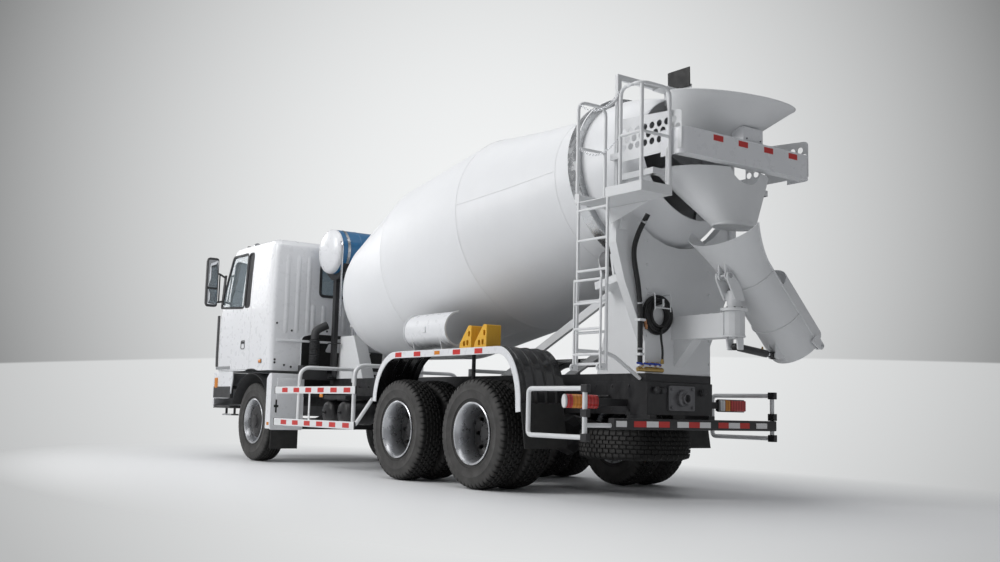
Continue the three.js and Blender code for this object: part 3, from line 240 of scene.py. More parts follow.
def skin(grid: Array, thickness: float, wrap_u: bool = False) -> Surface:
    """A sheet of even thickness: each point again, moved against its normal, and edges closed.

    Args:
        grid: the outer face, rows by columns by 3.
        thickness: how thick the sheet is.
        wrap_u: the last row joins the first.

    Returns:
        The closed sheet.
    """
    inner = grid - grid_normals(grid, wrap_u) * thickness
    loop = np.concatenate([grid, inner[:, ::-1]], axis=1)
    made = lattice(loop, wrap_u=wrap_u, wrap_v=True)
    if not wrap_u:
        columns = grid.shape[1]
        total = 2 * columns
        k = np.arange(columns - 1)
        first = np.stack([k, k + 1, total - 2 - k, total - 1 - k], axis=1)
        last = (first + (grid.shape[0] - 1) * total)[:, ::-1]
        made = Surface(made.points, np.concatenate([made.quads, first, last]))
    return made.outward()


def smooth_step(value: Array, low: float, high: float) -> Array:
    """0 below low, 1 above high, and 3 t^2 - 2 t^3 between."""
    t = np.clip((np.asarray(value, float) - low) / (high - low), 0, 1)
    return t * t * (3 - 2 * t)


def circle(steps: int, start: float = 0.0, turn: float = 2 * math.pi,
           closed: bool = False) -> Array:
    """Evenly spaced angles round a turn, the last one left out where the turn closes."""
    return start + turn * np.arange(steps + (1 if closed else 0)) / steps


def frame_of(axis: Point) -> tuple[Array, Array, Array]:
    """Two unit vectors square to an axis, and the axis's own.

    Args:
        axis: any vector but zero.

    Returns:
        The two square vectors, then the axis.
    """
    w = np.asarray(axis, float)
    w = w / np.linalg.norm(w)
    helper = np.eye(3)[int(np.argmin(np.abs(w)))]
    u = np.cross(helper, w)
    u = u / np.linalg.norm(u)
    return u, np.cross(w, u), w


def lathe(profile: Sequence[Point], origin: Point, axis: Point, steps: int = 48,
          closed: bool = False) -> Surface:
    """A profile of (radius, distance along) turned once about an axis.

    Point (a, k) is origin + along_k * axis + radius_k * (cos a * u + sin a * v). An open
    profile's ends are closed by flat faces, so its points on the axis itself are left out.

    Args:
        profile: radius and distance along the axis of each point.
        origin: where distance 0 lies.
        axis: the axis turned about.
        steps: how many points go round.
        closed: the profile's last point joins its first.

    Returns:
        The closed surface.
    """
    u, v, w = frame_of(axis)
    rows = np.asarray(profile, float)
    if not closed:
        rows = rows[rows[:, 0] > 1e-6]
    angle = circle(steps)[:, None, None]
    ring = np.cos(angle) * u + np.sin(angle) * v
    grid = np.asarray(origin, float) + rows[None, :, 1:2] * w + rows[None, :, 0:1] * ring
    return lattice(grid, wrap_u=True, wrap_v=closed, cap_v=not closed)


def run_of(path: Array, looped: bool = False) -> Array:
    """Unit directions along a path, each the mean of the steps beside it.

    Args:
        path: points, one a row.
        looped: the last point joins the first.

    Returns:
        A unit vector for each point.
    """
    if looped:
        step = np.roll(path, -1, 0) - np.roll(path, 1, 0)
    else:
        step = np.gradient(path, axis=0)
    return step / np.maximum(np.linalg.norm(step, axis=1, keepdims=True), 1e-12)


def sweep(section: Array, path: Sequence[Point], up: Point | None = None,
          looped: bool = False) -> Surface:
    """A closed section carried along a path.

    The section's first coordinate lies along up x run and its second along run x side, so a
    point is path_i + first * side_i + second * rise_i.

    Args:
        section: the section's corners.
        path: the middle line.
        up: the vector that the section's side is square to.
        looped: the last point joins the first.

    Returns:
        The closed surface.
    """
    line = np.asarray(path, float)
    run = run_of(line, looped)
    if up is None:
        up = np.eye(3)[int(np.argmin(np.abs(run).max(axis=0)))]
    side = np.cross(np.asarray(up, float)[None, :], run)
    side /= np.maximum(np.linalg.norm(side, axis=1, keepdims=True), 1e-12)
    rise = np.cross(run, side)
    flat = np.asarray(section, float)
    grid = line[:, None] + flat[None, :, :1] * side[:, None] + flat[None, :, 1:2] * rise[:, None]
    return lattice(grid, wrap_u=looped, wrap_v=True, cap_u=not looped)


def round_section(radius: float, sides: int = 16) -> Array:
    """A circle's points, for a tube."""
    angle = circle(sides)
    return np.stack([np.cos(angle), np.sin(angle)], axis=1) * radius


def bent(points: Sequence[Point], radius: float, steps: int = 6, looped: bool = False) -> Array:
    """A path with its corners rounded.

    Each corner becomes the parabola from a point one radius before it to one radius after it:
    (1 - t)^2 a + 2 t (1 - t) corner + t^2 b, with t from 0 to 1.

    Args:
        points: the corners.
        radius: how far from a corner the bend starts.
        steps: how many steps each bend has.
        looped: the last point joins the first.

    Returns:
        The path's points.
    """
    line = np.asarray(points, float)
    corners = range(len(line)) if looped else range(1, len(line) - 1)
    t = np.linspace(0, 1, steps + 1)[:, None]
    made = [] if looped else [line[:1]]
    for k in corners:
        before, corner, after = line[k - 1], line[k], line[(k + 1) % len(line)]
        cut_in = min(radius, 0.48 * np.linalg.norm(corner - before))
        cut_out = min(radius, 0.48 * np.linalg.norm(after - corner))
        a = corner + (before - corner) / np.linalg.norm(before - corner) * cut_in
        b = corner + (after - corner) / np.linalg.norm(after - corner) * cut_out
        made.append((1 - t) ** 2 * a + 2 * t * (1 - t) * corner + t ** 2 * b)
    if not looped:
        made.append(line[-1:])
    return np.concatenate(made)


def tube(points: Sequence[Point], radius: float, bend: float = 0.0, sides: int = 14,
         looped: bool = False, up: Point | None = None) -> Surface:
    """A round bar along a path, its corners rounded by bend."""
    path = bent(points, bend, looped=looped) if bend else np.asarray(points, float)
    return sweep(round_section(radius, sides), path, up, looped)


def curve_through(points: Sequence[Point], count: int) -> Array:
    """Evenly numbered points on the smooth curve through some points.

    Between points b and c the curve is the cubic whose directions there are (c - a) / 2 and
    (d - b) / 2, with the end points' neighbours mirrored.

    Args:
        points: what it passes through.
        count: how many points are given back.

    Returns:
        The curve's points.
    """
    p = np.asarray(points, float)
    p = np.concatenate([2 * p[:1] - p[1:2], p, 2 * p[-1:] - p[-2:-1]])
    t = np.linspace(0, len(points) - 1, count)
    k = np.minimum(t.astype(int), len(points) - 2)
    s = (t - k)[:, None]
    a, b, c, d = p[k], p[k + 1], p[k + 2], p[k + 3]
    return 0.5 * (2 * b + (c - a) * s + (2 * a - 5 * b + 4 * c - d) * s ** 2
                  + (3 * b - a - 3 * c + d) * s ** 3)


def on_plane(outline: Array, axis: Axis, value: float) -> Array:
    """A flat outline's points placed square to an axis, at one value on it.

    Args:
        outline: the flat points.
        axis: what the plane is square to.
        value: where the plane is on that axis.

    Returns:
        The points in space.
    """
    points = np.full((len(outline), 3), float(value))
    others = [k for k in range(3) if k != axis.value]
    points[:, others[0]], points[:, others[1]] = outline[:, 0], outline[:, 1]
    return points


def prism(outline: Sequence[Point], axis: Axis, low: float, high: float) -> Surface:
    """A flat outline carried straight along an axis, closed at both ends.

    The outline's two coordinates are the frame's other two, in the order x, y, z.
    """
    flat = np.asarray(outline, float)
    grid = np.stack([on_plane(flat, axis, low), on_plane(flat, axis, high)])
    return lattice(grid, wrap_v=True, cap_u=True)


def block(x: Point, y: Point, z: Point) -> Surface:
    """A box between two values on each axis."""
    (x0, x1), (y0, y1) = sorted(x), sorted(y)
    return prism(oblong((x0, x1), (y0, y1)), Axis.Z, min(z), max(z))


def rounded(outline: Sequence[Point], radius: float, steps: int = 5) -> Array:
    """A flat outline with its corners rounded."""
    return bent(outline, radius, steps, looped=True)


def arc(centre: Point, radius: float | Point, start: float, end: float, steps: int = 12) -> Array:
    """Points of a flat arc: centre + radius * (cos a, sin a), with a in degrees."""
    angle = np.radians(np.linspace(start, end, steps + 1))
    return np.asarray(centre, float) + np.stack([np.cos(angle), np.sin(angle)], axis=1) * radius


def away_from(outline: Array) -> Array:
    """Unit vectors square to a closed flat outline, pointing away from its middle."""
    square = run_of(outline, looped=True)[:, ::-1] * [1, -1]
    return square if np.sum((outline - outline.mean(axis=0)) * square) >= 0 else -square


def drawn_in(outline: Array, share: float) -> Array:
    """A flat outline drawn towards its middle, to a share of its size."""
    middle = outline.mean(axis=0)
    return middle + (outline - middle) * share


def oblong(first: Point, second: Point) -> Array:
    """The four corners between two values of one coordinate and two of the other."""
    (a, b), (c, d) = first, second
    return np.array([(a, c), (b, c), (b, d), (a, d)], float)


def loft(rows: Sequence[Array]) -> Surface:
    """A surface through closed outlines, one after the other, closed at both ends."""
    return lattice(np.stack(rows), wrap_v=True, cap_u=True)


def bar_of(lines: Sequence[Array]) -> Surface:
    """A bar whose edges are the lines, side by side, closed at both ends."""
    return lattice(np.swapaxes(np.stack(lines), 0, 1), wrap_v=True, cap_u=True)


def bolts(places: Sequence[Point], axis: Point, radius: float, height: float,
          sides: int = 6) -> Surface:
    """Screw heads, all alike: short bars with a chamfered top."""
    profile = [(radius, 0.0), (radius, height * 0.75), (radius * 0.8, height)]
    head = lathe(profile, (0, 0, 0), axis, sides)
    return merged([head.moved(place) for place in places])


def pierced(centres: Array, half: Point, hole: Point, front: Callable[[Array], Array],
            back: Callable[[Array], Array], steps: int = 24) -> Surface:
    """Cells of a plate with a round hole in each, for perforated sheet and wheel discs.

    In the plate's own two coordinates, point (cell, a, s) is centre + d * ((1 - s) * hole
    + s * half / max(|cos a|, |sin a|)), with d = (cos a, sin a), so s = 0 is the hole's rim
    and s = 1 the cell's border. front and back carry those coordinates to the two faces.

    Args:
        centres: each hole's centre, cells by 2.
        half: half the cell's size along each coordinate.
        hole: the hole's half size along each coordinate.
        front: the front face's point for each pair of coordinates.
        back: the back face's point for each pair.
        steps: points round each hole, a multiple of eight.

    Returns:
        The cells, each a closed ring.
    """
    angle = circle(steps)
    way = np.stack([np.cos(angle), np.sin(angle)], axis=1)
    square = way / np.abs(way).max(axis=1, keepdims=True)
    rim, border = way * np.asarray(hole), square * np.asarray(half)
    s = np.linspace(0, 1, 3)[None, :, None]
    cell = rim[:, None] * (1 - s) + border[:, None] * s
    made = []
    for centre in np.asarray(centres, float):
        flat = centre + cell
        loop = np.concatenate([front(flat), back(flat)[:, ::-1]], axis=1)
        made.append(lattice(loop, wrap_u=True, wrap_v=True))
    return merged(made)


# ---------------------------------------------------------------- shader nodes


class Nodes:
    """Writes shader nodes: adds each, fills its sockets, and links the sockets it is given."""

    def __init__(self, tree: bpy.types.NodeTree) -> None:
        """Starts with an empty tree."""
        self.tree = tree
        tree.nodes.clear()

    def add(self, kind: str, inputs: dict[Any, Any] | None = None, **settings: Any) -> Any:
        """Adds a node.

        Args:
            kind: the node's type name, without its ShaderNode prefix.
            inputs: a value or another node's output for each named or numbered socket.
            settings: the node's own properties.

        Returns:
            The node.
        """
        node = self.tree.nodes.new("ShaderNode" + kind)
        for name, value in settings.items():
            setattr(node, name, value)
        return self.fill(node, inputs or {})

    def fill(self, node: Any, inputs: dict[Any, Any]) -> Any:
        """Fills a node's sockets with values or other nodes' outputs, and gives the node.

        Args:
            node: the node.
            inputs: a value or an output for each socket.

        Returns:
            The same node.
        """
        for name, value in inputs.items():
            if isinstance(value, bpy.types.NodeSocket):
                self.tree.links.new(value, node.inputs[name])
            else:
                node.inputs[name].default_value = value
        return node

    def finish(self, kind: str, shader: Any) -> None:
        """Links a shader to a new output node."""
        out = self.add(kind)
        self.tree.links.new(shader.outputs[0], out.inputs["Surface"])

    def group(self, tree: bpy.types.NodeTree, inputs: dict[str, Any]) -> Any:
        """Places a shared node group and fills its sockets."""
        node = self.tree.nodes.new("ShaderNodeGroup")
        node.node_tree = tree
        return self.fill(node, inputs)

    def maths(self, operation: str, *values: Any, clamp: bool = False) -> Any:
        """One sum, product or other step, and gives its output."""
        node = self.add("Math", dict(enumerate(values)), operation=operation, use_clamp=clamp)
        return node.outputs[0]

    def mix(self, factor: Any, first: Any, second: Any) -> Any:
        """A colour between two, and gives its output."""
        return self.add("Mix", {0: factor, 6: first, 7: second}, data_type="RGBA").outputs[2]

    def noise(self, place: Any, scale: float, detail: float = 3.0, rough: float = 0.55) -> Any:
        """A cloudy pattern from 0 to 1."""
        return self.add("TexNoise", {"Vector": place, "Scale": scale, "Detail": detail,
                                     "Roughness": rough}).outputs[0]

    def span(self, value: Any, low: float, high: float, to_low: float = 0.0,
             to_high: float = 1.0) -> Any:
        """Carries a value from one span to another, and stops at its ends."""
        return self.add("MapRange", {"Value": value, "From Min": low, "From Max": high,
                                     "To Min": to_low, "To Max": to_high}).outputs[0]


@dataclass
class Effects:
    """The surface effects that several finishes share, each a node group made once."""

    groups: dict[str, bpy.types.NodeTree] = field(default_factory=dict)

    def _new(self, name: str, inputs: dict[str, float], output: str,
             kind: str = "NodeSocketFloat") -> tuple[Nodes, Any, Any]:
        """Starts a group with named number inputs and one output.

        Args:
            name: the group's name.
            inputs: its inputs with their usual values.
            output: its output's name.
            kind: its output's socket type.

        Returns:
            The group's tree, its input node and its output node.
        """
        tree = bpy.data.node_groups.new(name, "ShaderNodeTree")
        for socket, value in inputs.items():
            made = tree.interface.new_socket(name=socket, in_out="INPUT",
                                             socket_type="NodeSocketFloat")
            made.default_value = value
        tree.interface.new_socket(name=output, in_out="OUTPUT", socket_type=kind)
        nodes = Nodes(tree)
        start = tree.nodes.new("NodeGroupInput")
        end = tree.nodes.new("NodeGroupOutput")
        self.groups[name] = tree
        return nodes, start, end

    def dust(self) -> bpy.types.NodeTree:
        """Road dust: thick near the ground and on faces that look up, broken into patches.

        Mask = Amount * clouds * (how low the point is + Settled * how far up it faces).

        Returns:
            The group.
        """
        if "dust" not in self.groups:
            nodes, start, end = self._new(
                "dust", {"Amount": 0.5, "Top": 1.2, "Settled": 0.3, "Scale": 6.0}, "Mask")
            place = nodes.add("TexCoord").outputs["Object"]
            height = nodes.add("SeparateXYZ", {0: place}).outputs["Z"]
            low = nodes.maths("SUBTRACT", 1.0, nodes.maths("DIVIDE", height, start.outputs["Top"]),
                              clamp=True)
            facing = nodes.add("SeparateXYZ", {0: nodes.add("NewGeometry").outputs["Normal"]})
            up = nodes.maths("MULTIPLY", nodes.maths("MAXIMUM", facing.outputs["Z"], 0.0),
                             start.outputs["Settled"])
            clouds = nodes.add("TexNoise", {"Vector": place, "Scale": start.outputs["Scale"],
                                            "Detail": 5.0, "Roughness": 0.62}).outputs[0]
            patches = nodes.span(clouds, 0.35, 0.75)
            both = nodes.maths("ADD", low, up, clamp=True)
            mask = nodes.maths("MULTIPLY", nodes.maths("MULTIPLY", both, patches),
                               start.outputs["Amount"], clamp=True)
            nodes.tree.links.new(mask, end.inputs["Mask"])
        return self.groups["dust"]

    def wear(self) -> bpy.types.NodeTree:
        """Wear along edges: where the surface bends outwards sharply, broken by fine clouds.

        Returns:
            The group.
        """
        if "wear" not in self.groups:
            nodes, start, end = self._new("wear", {"Amount": 0.5, "Scale": 30.0}, "Mask")
            place = nodes.add("TexCoord").outputs["Object"]
            point = nodes.add("NewGeometry").outputs["Pointiness"]
            edge = nodes.span(point, 0.52, 0.60)
            clouds = nodes.add("TexNoise", {"Vector": place, "Scale": start.outputs["Scale"],
                                            "Detail": 4.0, "Roughness": 0.6}).outputs[0]
            broken = nodes.span(clouds, 0.45, 0.65)
            mask = nodes.maths("MULTIPLY", nodes.maths("MULTIPLY", edge, broken),
                               start.outputs["Amount"], clamp=True)
            nodes.tree.links.new(mask, end.inputs["Mask"])
        return self.groups["wear"]

    def grain(self) -> bpy.types.NodeTree:
        """A fine height: two sizes of cloud added, for orange peel, cast skin or rubber.

        Returns:
            The group.
        """
        if "grain" not in self.groups:
            nodes, start, end = self._new("grain", {"Fine": 300.0, "Coarse": 40.0, "Share": 0.5},
                                          "Height")
            place = nodes.add("TexCoord").outputs["Object"]
            fine = nodes.add("TexNoise", {"Vector": place, "Scale": start.outputs["Fine"],
                                          "Detail": 2.0}).outputs[0]
            coarse = nodes.add("TexNoise", {"Vector": place, "Scale": start.outputs["Coarse"],
                                            "Detail": 2.0}).outputs[0]
            height = nodes.maths("ADD", nodes.maths("MULTIPLY", fine, start.outputs["Share"]),
                                 coarse)
            nodes.tree.links.new(height, end.inputs["Height"])
        return self.groups["grain"]


EFFECTS = Effects()


class Slot(Enum):
    """The record's material slots."""

    WHITE = "body_white"
    BLACK = "frame_black"
    SILVER = "rim_silver"
    GREY = "engine_grey"
    TYRE = "tyre"
    RUBBER = "hose_rubber"
    BLUE = "tank_blue"
    RED = "lamp_red"
    YELLOW = "chock_yellow"
    GLASS = "glass"


@dataclass(frozen=True)
class Finish:
    """A surface finish with its own colours and dirt.

    colour and shade are the lightest and darkest of its base, and dirt is what lies on it.
    """

    name: str
    slot: Slot
    colour: tuple[float, float, float]
    shade: tuple[float, float, float]
    roughness: float = 0.4
    spread: float = 0.1
    metallic: float = 0.0
    coat: float = 0.0
    bump: float = 0.05
    fine: float = 400.0
    coarse: float = 30.0
    dirt: tuple[float, float, float] = (0.33, 0.29, 0.24)
    dust: float = 0.25
    dust_top: float = 1.2
    settled: float = 0.15
    wear: float = 0.0
    bare: tuple[float, float, float] = (0.35, 0.35, 0.36)
    mottle: float = 2.5
    specular: float = 0.5

    def base(self, nodes: Nodes, place: Any) -> Any:
        """The base colour before dirt: its two shades mixed by slow clouds."""
        clouds = nodes.noise(place, self.mottle, 4.0)
        return nodes.mix(clouds, (*self.shade, 1), (*self.colour, 1))

    def material(self) -> bpy.types.Material:
        """The finish's material, made the first time it is asked for.

        Returns:
            The material.
        """
        found = bpy.data.materials.get(self.name)
        if found:
            return found
        made = bpy.data.materials.new(self.name)
        made.use_nodes = True
        nodes = Nodes(made.node_tree)
        nodes.finish("OutputMaterial", self.shader(nodes, nodes.add("TexCoord").outputs["Object"]))
        return made

    def shader(self, nodes: Nodes, place: Any) -> Any:
        """The finish's shader node: colour, then wear, then dust, over a fine relief.

        Args:
            nodes: the material's tree.
            place: the point's place on the object.

        Returns:
            The shader node.
        """
        colour = self.base(nodes, place)
        rough = nodes.span(nodes.noise(place, 12.0, 4.0), 0.3, 0.7, self.roughness - self.spread,
                           self.roughness + self.spread)
        if self.wear:
            worn = nodes.group(EFFECTS.wear(), {"Amount": self.wear, "Scale": 25.0}).outputs[0]
            colour = nodes.mix(worn, colour, (*self.bare, 1))
        if self.dust:
            dusty = nodes.group(EFFECTS.dust(), {"Amount": self.dust, "Top": self.dust_top,
                                                 "Settled": self.settled,
                                                 "Scale": 7.0}).outputs[0]
            colour = nodes.mix(dusty, colour, (*self.dirt, 1))
            rough = nodes.maths("ADD", rough, nodes.maths("MULTIPLY", dusty, 0.35), clamp=True)
        shader = nodes.add("BsdfPrincipled", {
            "Base Color": colour, "Roughness": rough, "Metallic": self.metallic,
            "Coat Weight": self.coat, "Coat Roughness": COAT_ROUGHNESS,
            "Specular IOR Level": self.specular})
        if self.bump:
            height = nodes.group(EFFECTS.grain(), {"Fine": self.fine, "Coarse": self.coarse,
                                                   "Share": 0.5}).outputs[0]
            bump = nodes.add("Bump", {"Height": height, "Strength": self.bump,
                                      "Distance": RELIEF})
            nodes.tree.links.new(bump.outputs[0], shader.inputs["Normal"])
        return shader


@dataclass(frozen=True)
class Rubber(Finish):
    """Tyre rubber: black on the tread, greyed by dry dust on the sidewalls."""

    chalk: tuple[float, float, float] = (0.075, 0.073, 0.071)

    def base(self, nodes: Nodes, place: Any) -> Any:
        """The rubber's colour: chalkier the more a face looks sideways.

        Args:
            nodes: the material's tree.
            place: the point's place on the object.

        Returns:
            The colour's output.
        """
        facing = nodes.add("SeparateXYZ", {0: nodes.add("NewGeometry").outputs["Normal"]})
        side = nodes.maths("ABSOLUTE", facing.outputs["X"])
        wall = nodes.span(side, 0.55, 0.95)
        clouds = nodes.span(nodes.noise(place, 9.0, 5.0), 0.2, 0.75, 0.45, 1.0)
        mask = nodes.maths("MULTIPLY", wall, clouds)
        return nodes.mix(mask, (*self.shade, 1), (*self.chalk, 1))


@dataclass(frozen=True)
class Glass(Finish):
    """Tinted glass with a plain, dark body and a clear coat of reflections."""

    tint: tuple[float, float, float] = (0.62, 0.70, 0.74)

    def shader(self, nodes: Nodes, place: Any) -> Any:
        """The glass, whose roughness alone changes over the pane.

        Args:
            nodes: the material's tree.
            place: the point's place on the object.

        Returns:
            The shader node.
        """
        rough = nodes.span(nodes.noise(place, 5.0), 0.4, 0.8, 0.01, 0.05)
        return nodes.add("BsdfPrincipled", {
            "Base Color": (*self.tint, 1), "Roughness": rough, "Metallic": 0.0,
            "Transmission Weight": 0.85, "IOR": 1.45, "Alpha": 1.0})


@dataclass(frozen=True)
class Lamp(Finish):
    """A moulded lens: deep colour with fine upright ribs."""

    ribs: float = 160.0

    def base(self, nodes: Nodes, place: Any) -> Any:
        """The lens colour, lighter on every rib.

        Args:
            nodes: the material's tree.
            place: the point's place on the object.

        Returns:
            The colour's output.
        """
        along = nodes.add("SeparateXYZ", {0: place}).outputs["X"]
        wave = nodes.maths("SINE", nodes.maths("MULTIPLY", along, self.ribs))
        share = nodes.span(wave, -1.0, 1.0)
        return nodes.mix(share, (*self.shade, 1), (*self.colour, 1))


@dataclass(frozen=True)
class Streaked(Finish):
    """Paint with faint streaks that rain and cement have drawn down it."""

    streak: tuple[float, float, float] = (0.62, 0.61, 0.59)
    much: float = 0.35

    def base(self, nodes: Nodes, place: Any) -> Any:
        """The paint's clouds, with narrow upright streaks mixed in.

        Args:
            nodes: the material's tree.
            place: the point's place on the object.

        Returns:
            The colour's output.
        """
        clouds = nodes.noise(place, self.mottle, 4.0)
        paint = nodes.mix(clouds, (*self.shade, 1), (*self.colour, 1))
        drawn = nodes.add("Mapping", {"Vector": place, "Scale": (9.0, 9.0, 0.8)}).outputs[0]
        lines = nodes.span(nodes.noise(drawn, 2.2, 6.0, 0.65), 0.55, 0.8, 0.0, self.much)
        return nodes.mix(lines, paint, (*self.streak, 1))


WHITE = Streaked("white paint", Slot.WHITE, (0.80, 0.81, 0.83), (0.74, 0.75, 0.77), 0.30, 0.06,
                 coat=0.3, bump=0.0, dust=0.0, much=0.0)
DRUM_WHITE = Streaked("drum paint", Slot.WHITE, (0.80, 0.81, 0.825), (0.75, 0.76, 0.775), 0.48,
                      0.06, coat=0.06, bump=0.04, coarse=9.0, dust=0.04, settled=0.03, much=0.08)
STEEL_WHITE = Finish("white structure paint", Slot.WHITE, (0.78, 0.79, 0.80), (0.68, 0.69, 0.70),
                     0.42, 0.10, bump=0.10, dust=0.07, wear=0.03, coat=0.1)
CEMENT_WHITE = Streaked("hopper paint", Slot.WHITE, (0.72, 0.725, 0.73), (0.62, 0.625, 0.63),
                        0.48, 0.10, bump=0.12, dust=0.08, wear=0.05, much=0.25,
                        streak=(0.5, 0.49, 0.47))
BLACK = Finish("black chassis paint", Slot.BLACK, (0.022, 0.022, 0.024), (0.012, 0.012, 0.013),
               0.40, 0.12, bump=0.15, dust=0.05, settled=0.08, wear=0.02, coat=0.1)
GLOSS_BLACK = Finish("black gloss plastic", Slot.BLACK, (0.014, 0.014, 0.015),
                     (0.010, 0.010, 0.011), 0.22, 0.06, bump=0.04, dust=0.1, coat=0.3)
TRIM = Finish("grained dark plastic", Slot.BLACK, (0.045, 0.046, 0.048), (0.030, 0.030, 0.032),
              0.62, 0.08, bump=0.5, fine=700.0, dust=0.06, settled=0.05)
GREY_TRIM = Finish("grained grey plastic", Slot.BLACK, (0.30, 0.31, 0.32), (0.24, 0.25, 0.26),
                   0.55, 0.08, bump=0.4, fine=700.0, dust=0.25)
CABIN_GREY = Finish("cabin plastic", Slot.BLACK, (0.23, 0.24, 0.25), (0.18, 0.185, 0.19), 0.6,
                    0.08, bump=0.4, fine=700.0, dust=0.0)
CLOTH = Finish("seat cloth", Slot.BLACK, (0.06, 0.065, 0.075), (0.03, 0.033, 0.04), 0.9, 0.05,
               bump=0.9, fine=900.0, coarse=500.0, dust=0.0, specular=0.2)
TREAD = Rubber("tyre rubber", Slot.TYRE, (0.020, 0.020, 0.020), (0.008, 0.008, 0.008), 0.75, 0.1,
               bump=0.35, fine=500.0, dust=0.03, dust_top=1.2, settled=0.0, specular=0.3)
HOSE = Finish("hose rubber", Slot.RUBBER, (0.02, 0.02, 0.021), (0.010, 0.010, 0.010), 0.5, 0.1,
              bump=0.3, dust=0.04, settled=0.05)
FLAP = Finish("flap rubber", Slot.RUBBER, (0.018, 0.018, 0.018), (0.008, 0.008, 0.008), 0.6,
              0.12, bump=0.3, dust=0.05, dust_top=1.2, settled=0.05)
SILVER = Finish("wheel silver", Slot.SILVER, (0.62, 0.63, 0.65), (0.50, 0.51, 0.53), 0.30, 0.10,
                metallic=0.85, bump=0.08, dust=0.06, settled=0.05, wear=0.03)
IRON = Finish("dark iron", Slot.GREY, (0.06, 0.06, 0.062), (0.025, 0.025, 0.027), 0.5, 0.12,
              metallic=0.4, bump=0.3, dust=0.08, settled=0.08)
CAST = Finish("cast metal", Slot.GREY, (0.22, 0.22, 0.23), (0.12, 0.12, 0.125), 0.5, 0.12,
              metallic=0.6, bump=0.4, coarse=90.0, dust=0.08, settled=0.05)
STEEL = Finish("bright steel", Slot.GREY, (0.62, 0.63, 0.64), (0.48, 0.49, 0.50), 0.28, 0.12,
               metallic=1.0, bump=0.08, dust=0.15)
CHROME = Finish("chrome", Slot.GREY, (0.82, 0.83, 0.85), (0.76, 0.77, 0.79), 0.08, 0.03,
                metallic=1.0, bump=0.0, dust=0.08)
ALLOY = Finish("brushed alloy", Slot.SILVER, (0.60, 0.61, 0.62), (0.50, 0.51, 0.52), 0.35, 0.1,
               metallic=0.9, bump=0.15, dust=0.2)
BRASS = Finish("brass", Slot.GREY, (0.60, 0.42, 0.16), (0.42, 0.28, 0.10), 0.32, 0.1,
               metallic=1.0, bump=0.15, dust=0.15)
COPPER = Finish("copper fitting", Slot.GREY, (0.62, 0.33, 0.18), (0.45, 0.22, 0.12), 0.35, 0.1,
                metallic=1.0, bump=0.15, dust=0.1)
BLUE = Finish("tank blue", Slot.BLUE, (0.018, 0.14, 0.31), (0.014, 0.12, 0.27), 0.34, 0.06,
              coat=0.4, bump=0.03, dust=0.12)
HANDLE_BLUE = Finish("valve handle blue", Slot.BLUE, (0.02, 0.06, 0.40), (0.015, 0.04, 0.3), 0.4,
                     0.08, bump=0.1, dust=0.1)
YELLOW = Finish("chock yellow", Slot.YELLOW, (0.83, 0.47, 0.035), (0.70, 0.38, 0.03), 0.5, 0.1,
                bump=0.3, dust=0.25, wear=0.3, bare=(0.5, 0.33, 0.1))
TAPE_RED = Finish("red tape", Slot.RED, (0.62, 0.035, 0.03), (0.50, 0.025, 0.022), 0.35, 0.06,
                  bump=0.25, fine=900.0, dust=0.08)
TAPE_WHITE = Finish("white tape", Slot.WHITE, (0.80, 0.80, 0.80), (0.72, 0.72, 0.72), 0.35, 0.06,
                    bump=0.25, fine=900.0, dust=0.08)
LENS_RED = Lamp("red lens", Slot.RED, (0.60, 0.04, 0.035), (0.36, 0.015, 0.015), 0.14, 0.03,
                coat=0.5, bump=0.0, dust=0.05)
LENS_AMBER = Lamp("amber lens", Slot.RED, (0.78, 0.30, 0.03), (0.60, 0.20, 0.02), 0.14, 0.03,
                  coat=0.5, bump=0.0, dust=0.05)
LENS_CLEAR = Lamp("clear lens", Slot.WHITE, (0.80, 0.80, 0.80), (0.55, 0.56, 0.58), 0.10, 0.03,
                  coat=0.5, bump=0.0, dust=0.05)
PANE = Glass("tinted glass", Slot.GLASS, (0.1, 0.12, 0.14), (0.1, 0.12, 0.14))
SILVERED = Finish("mirror glass", Slot.GLASS, (0.78, 0.80, 0.82), (0.74, 0.76, 0.78), 0.03, 0.01,
                  metallic=1.0, bump=0.0, dust=0.05)


# ---------------------------------------------------------------- pieces


def keep_object(name: str, mesh: bpy.types.Mesh) -> bpy.types.Object:
    """Links a new object for a mesh into the scene."""
    made = bpy.data.objects.new(name, mesh)
    bpy.context.scene.collection.objects.link(made)
    return made


def mesh_of(name: str, surface: Surface, crease: float = CREASE) -> bpy.types.Mesh:
    """Puts a surface into a mesh, smooth but for creases sharper than an angle in degrees.

    Args:
        name: the mesh's name.
        surface: what goes into it.
        crease: the angle past which an edge stays sharp.

    Returns:
        The mesh.
    """
    mesh = bpy.data.meshes.new(name)
    faces = surface.quads.tolist() + [cap.tolist() for cap in surface.caps]
    mesh.from_pydata(surface.points, [], faces)
    mesh.polygons.foreach_set("use_smooth", np.ones(len(mesh.polygons), bool))
    mesh.set_sharp_from_angle(angle=math.radians(crease))
    mesh.update()
    return mesh


def piece(name: str, parts: Surface | Iterable[Surface], finish: Finish, body: str,
          bevel: float = 0.0, replaces: Sequence[str] = (), crease: float = CREASE,
          segments: int = 2) -> bpy.types.Object:
    """Makes one visible piece.

    Args:
        name: the piece's name.
        parts: its surface or surfaces.
        finish: what it is finished with.
        body: the frame's body that it moves with.
        bevel: the width of its rounded edges.
        replaces: the frame's nodes that it stands for.
        crease: the angle past which an edge stays sharp, in degrees.
        segments: how many faces round each edge.

    Returns:
        The piece's object.
    """
    surface = parts if isinstance(parts, Surface) else merged(parts)
    made = keep_object(name, mesh_of(name, surface, crease))
    return dress(made, finish, body, bevel, replaces, segments)


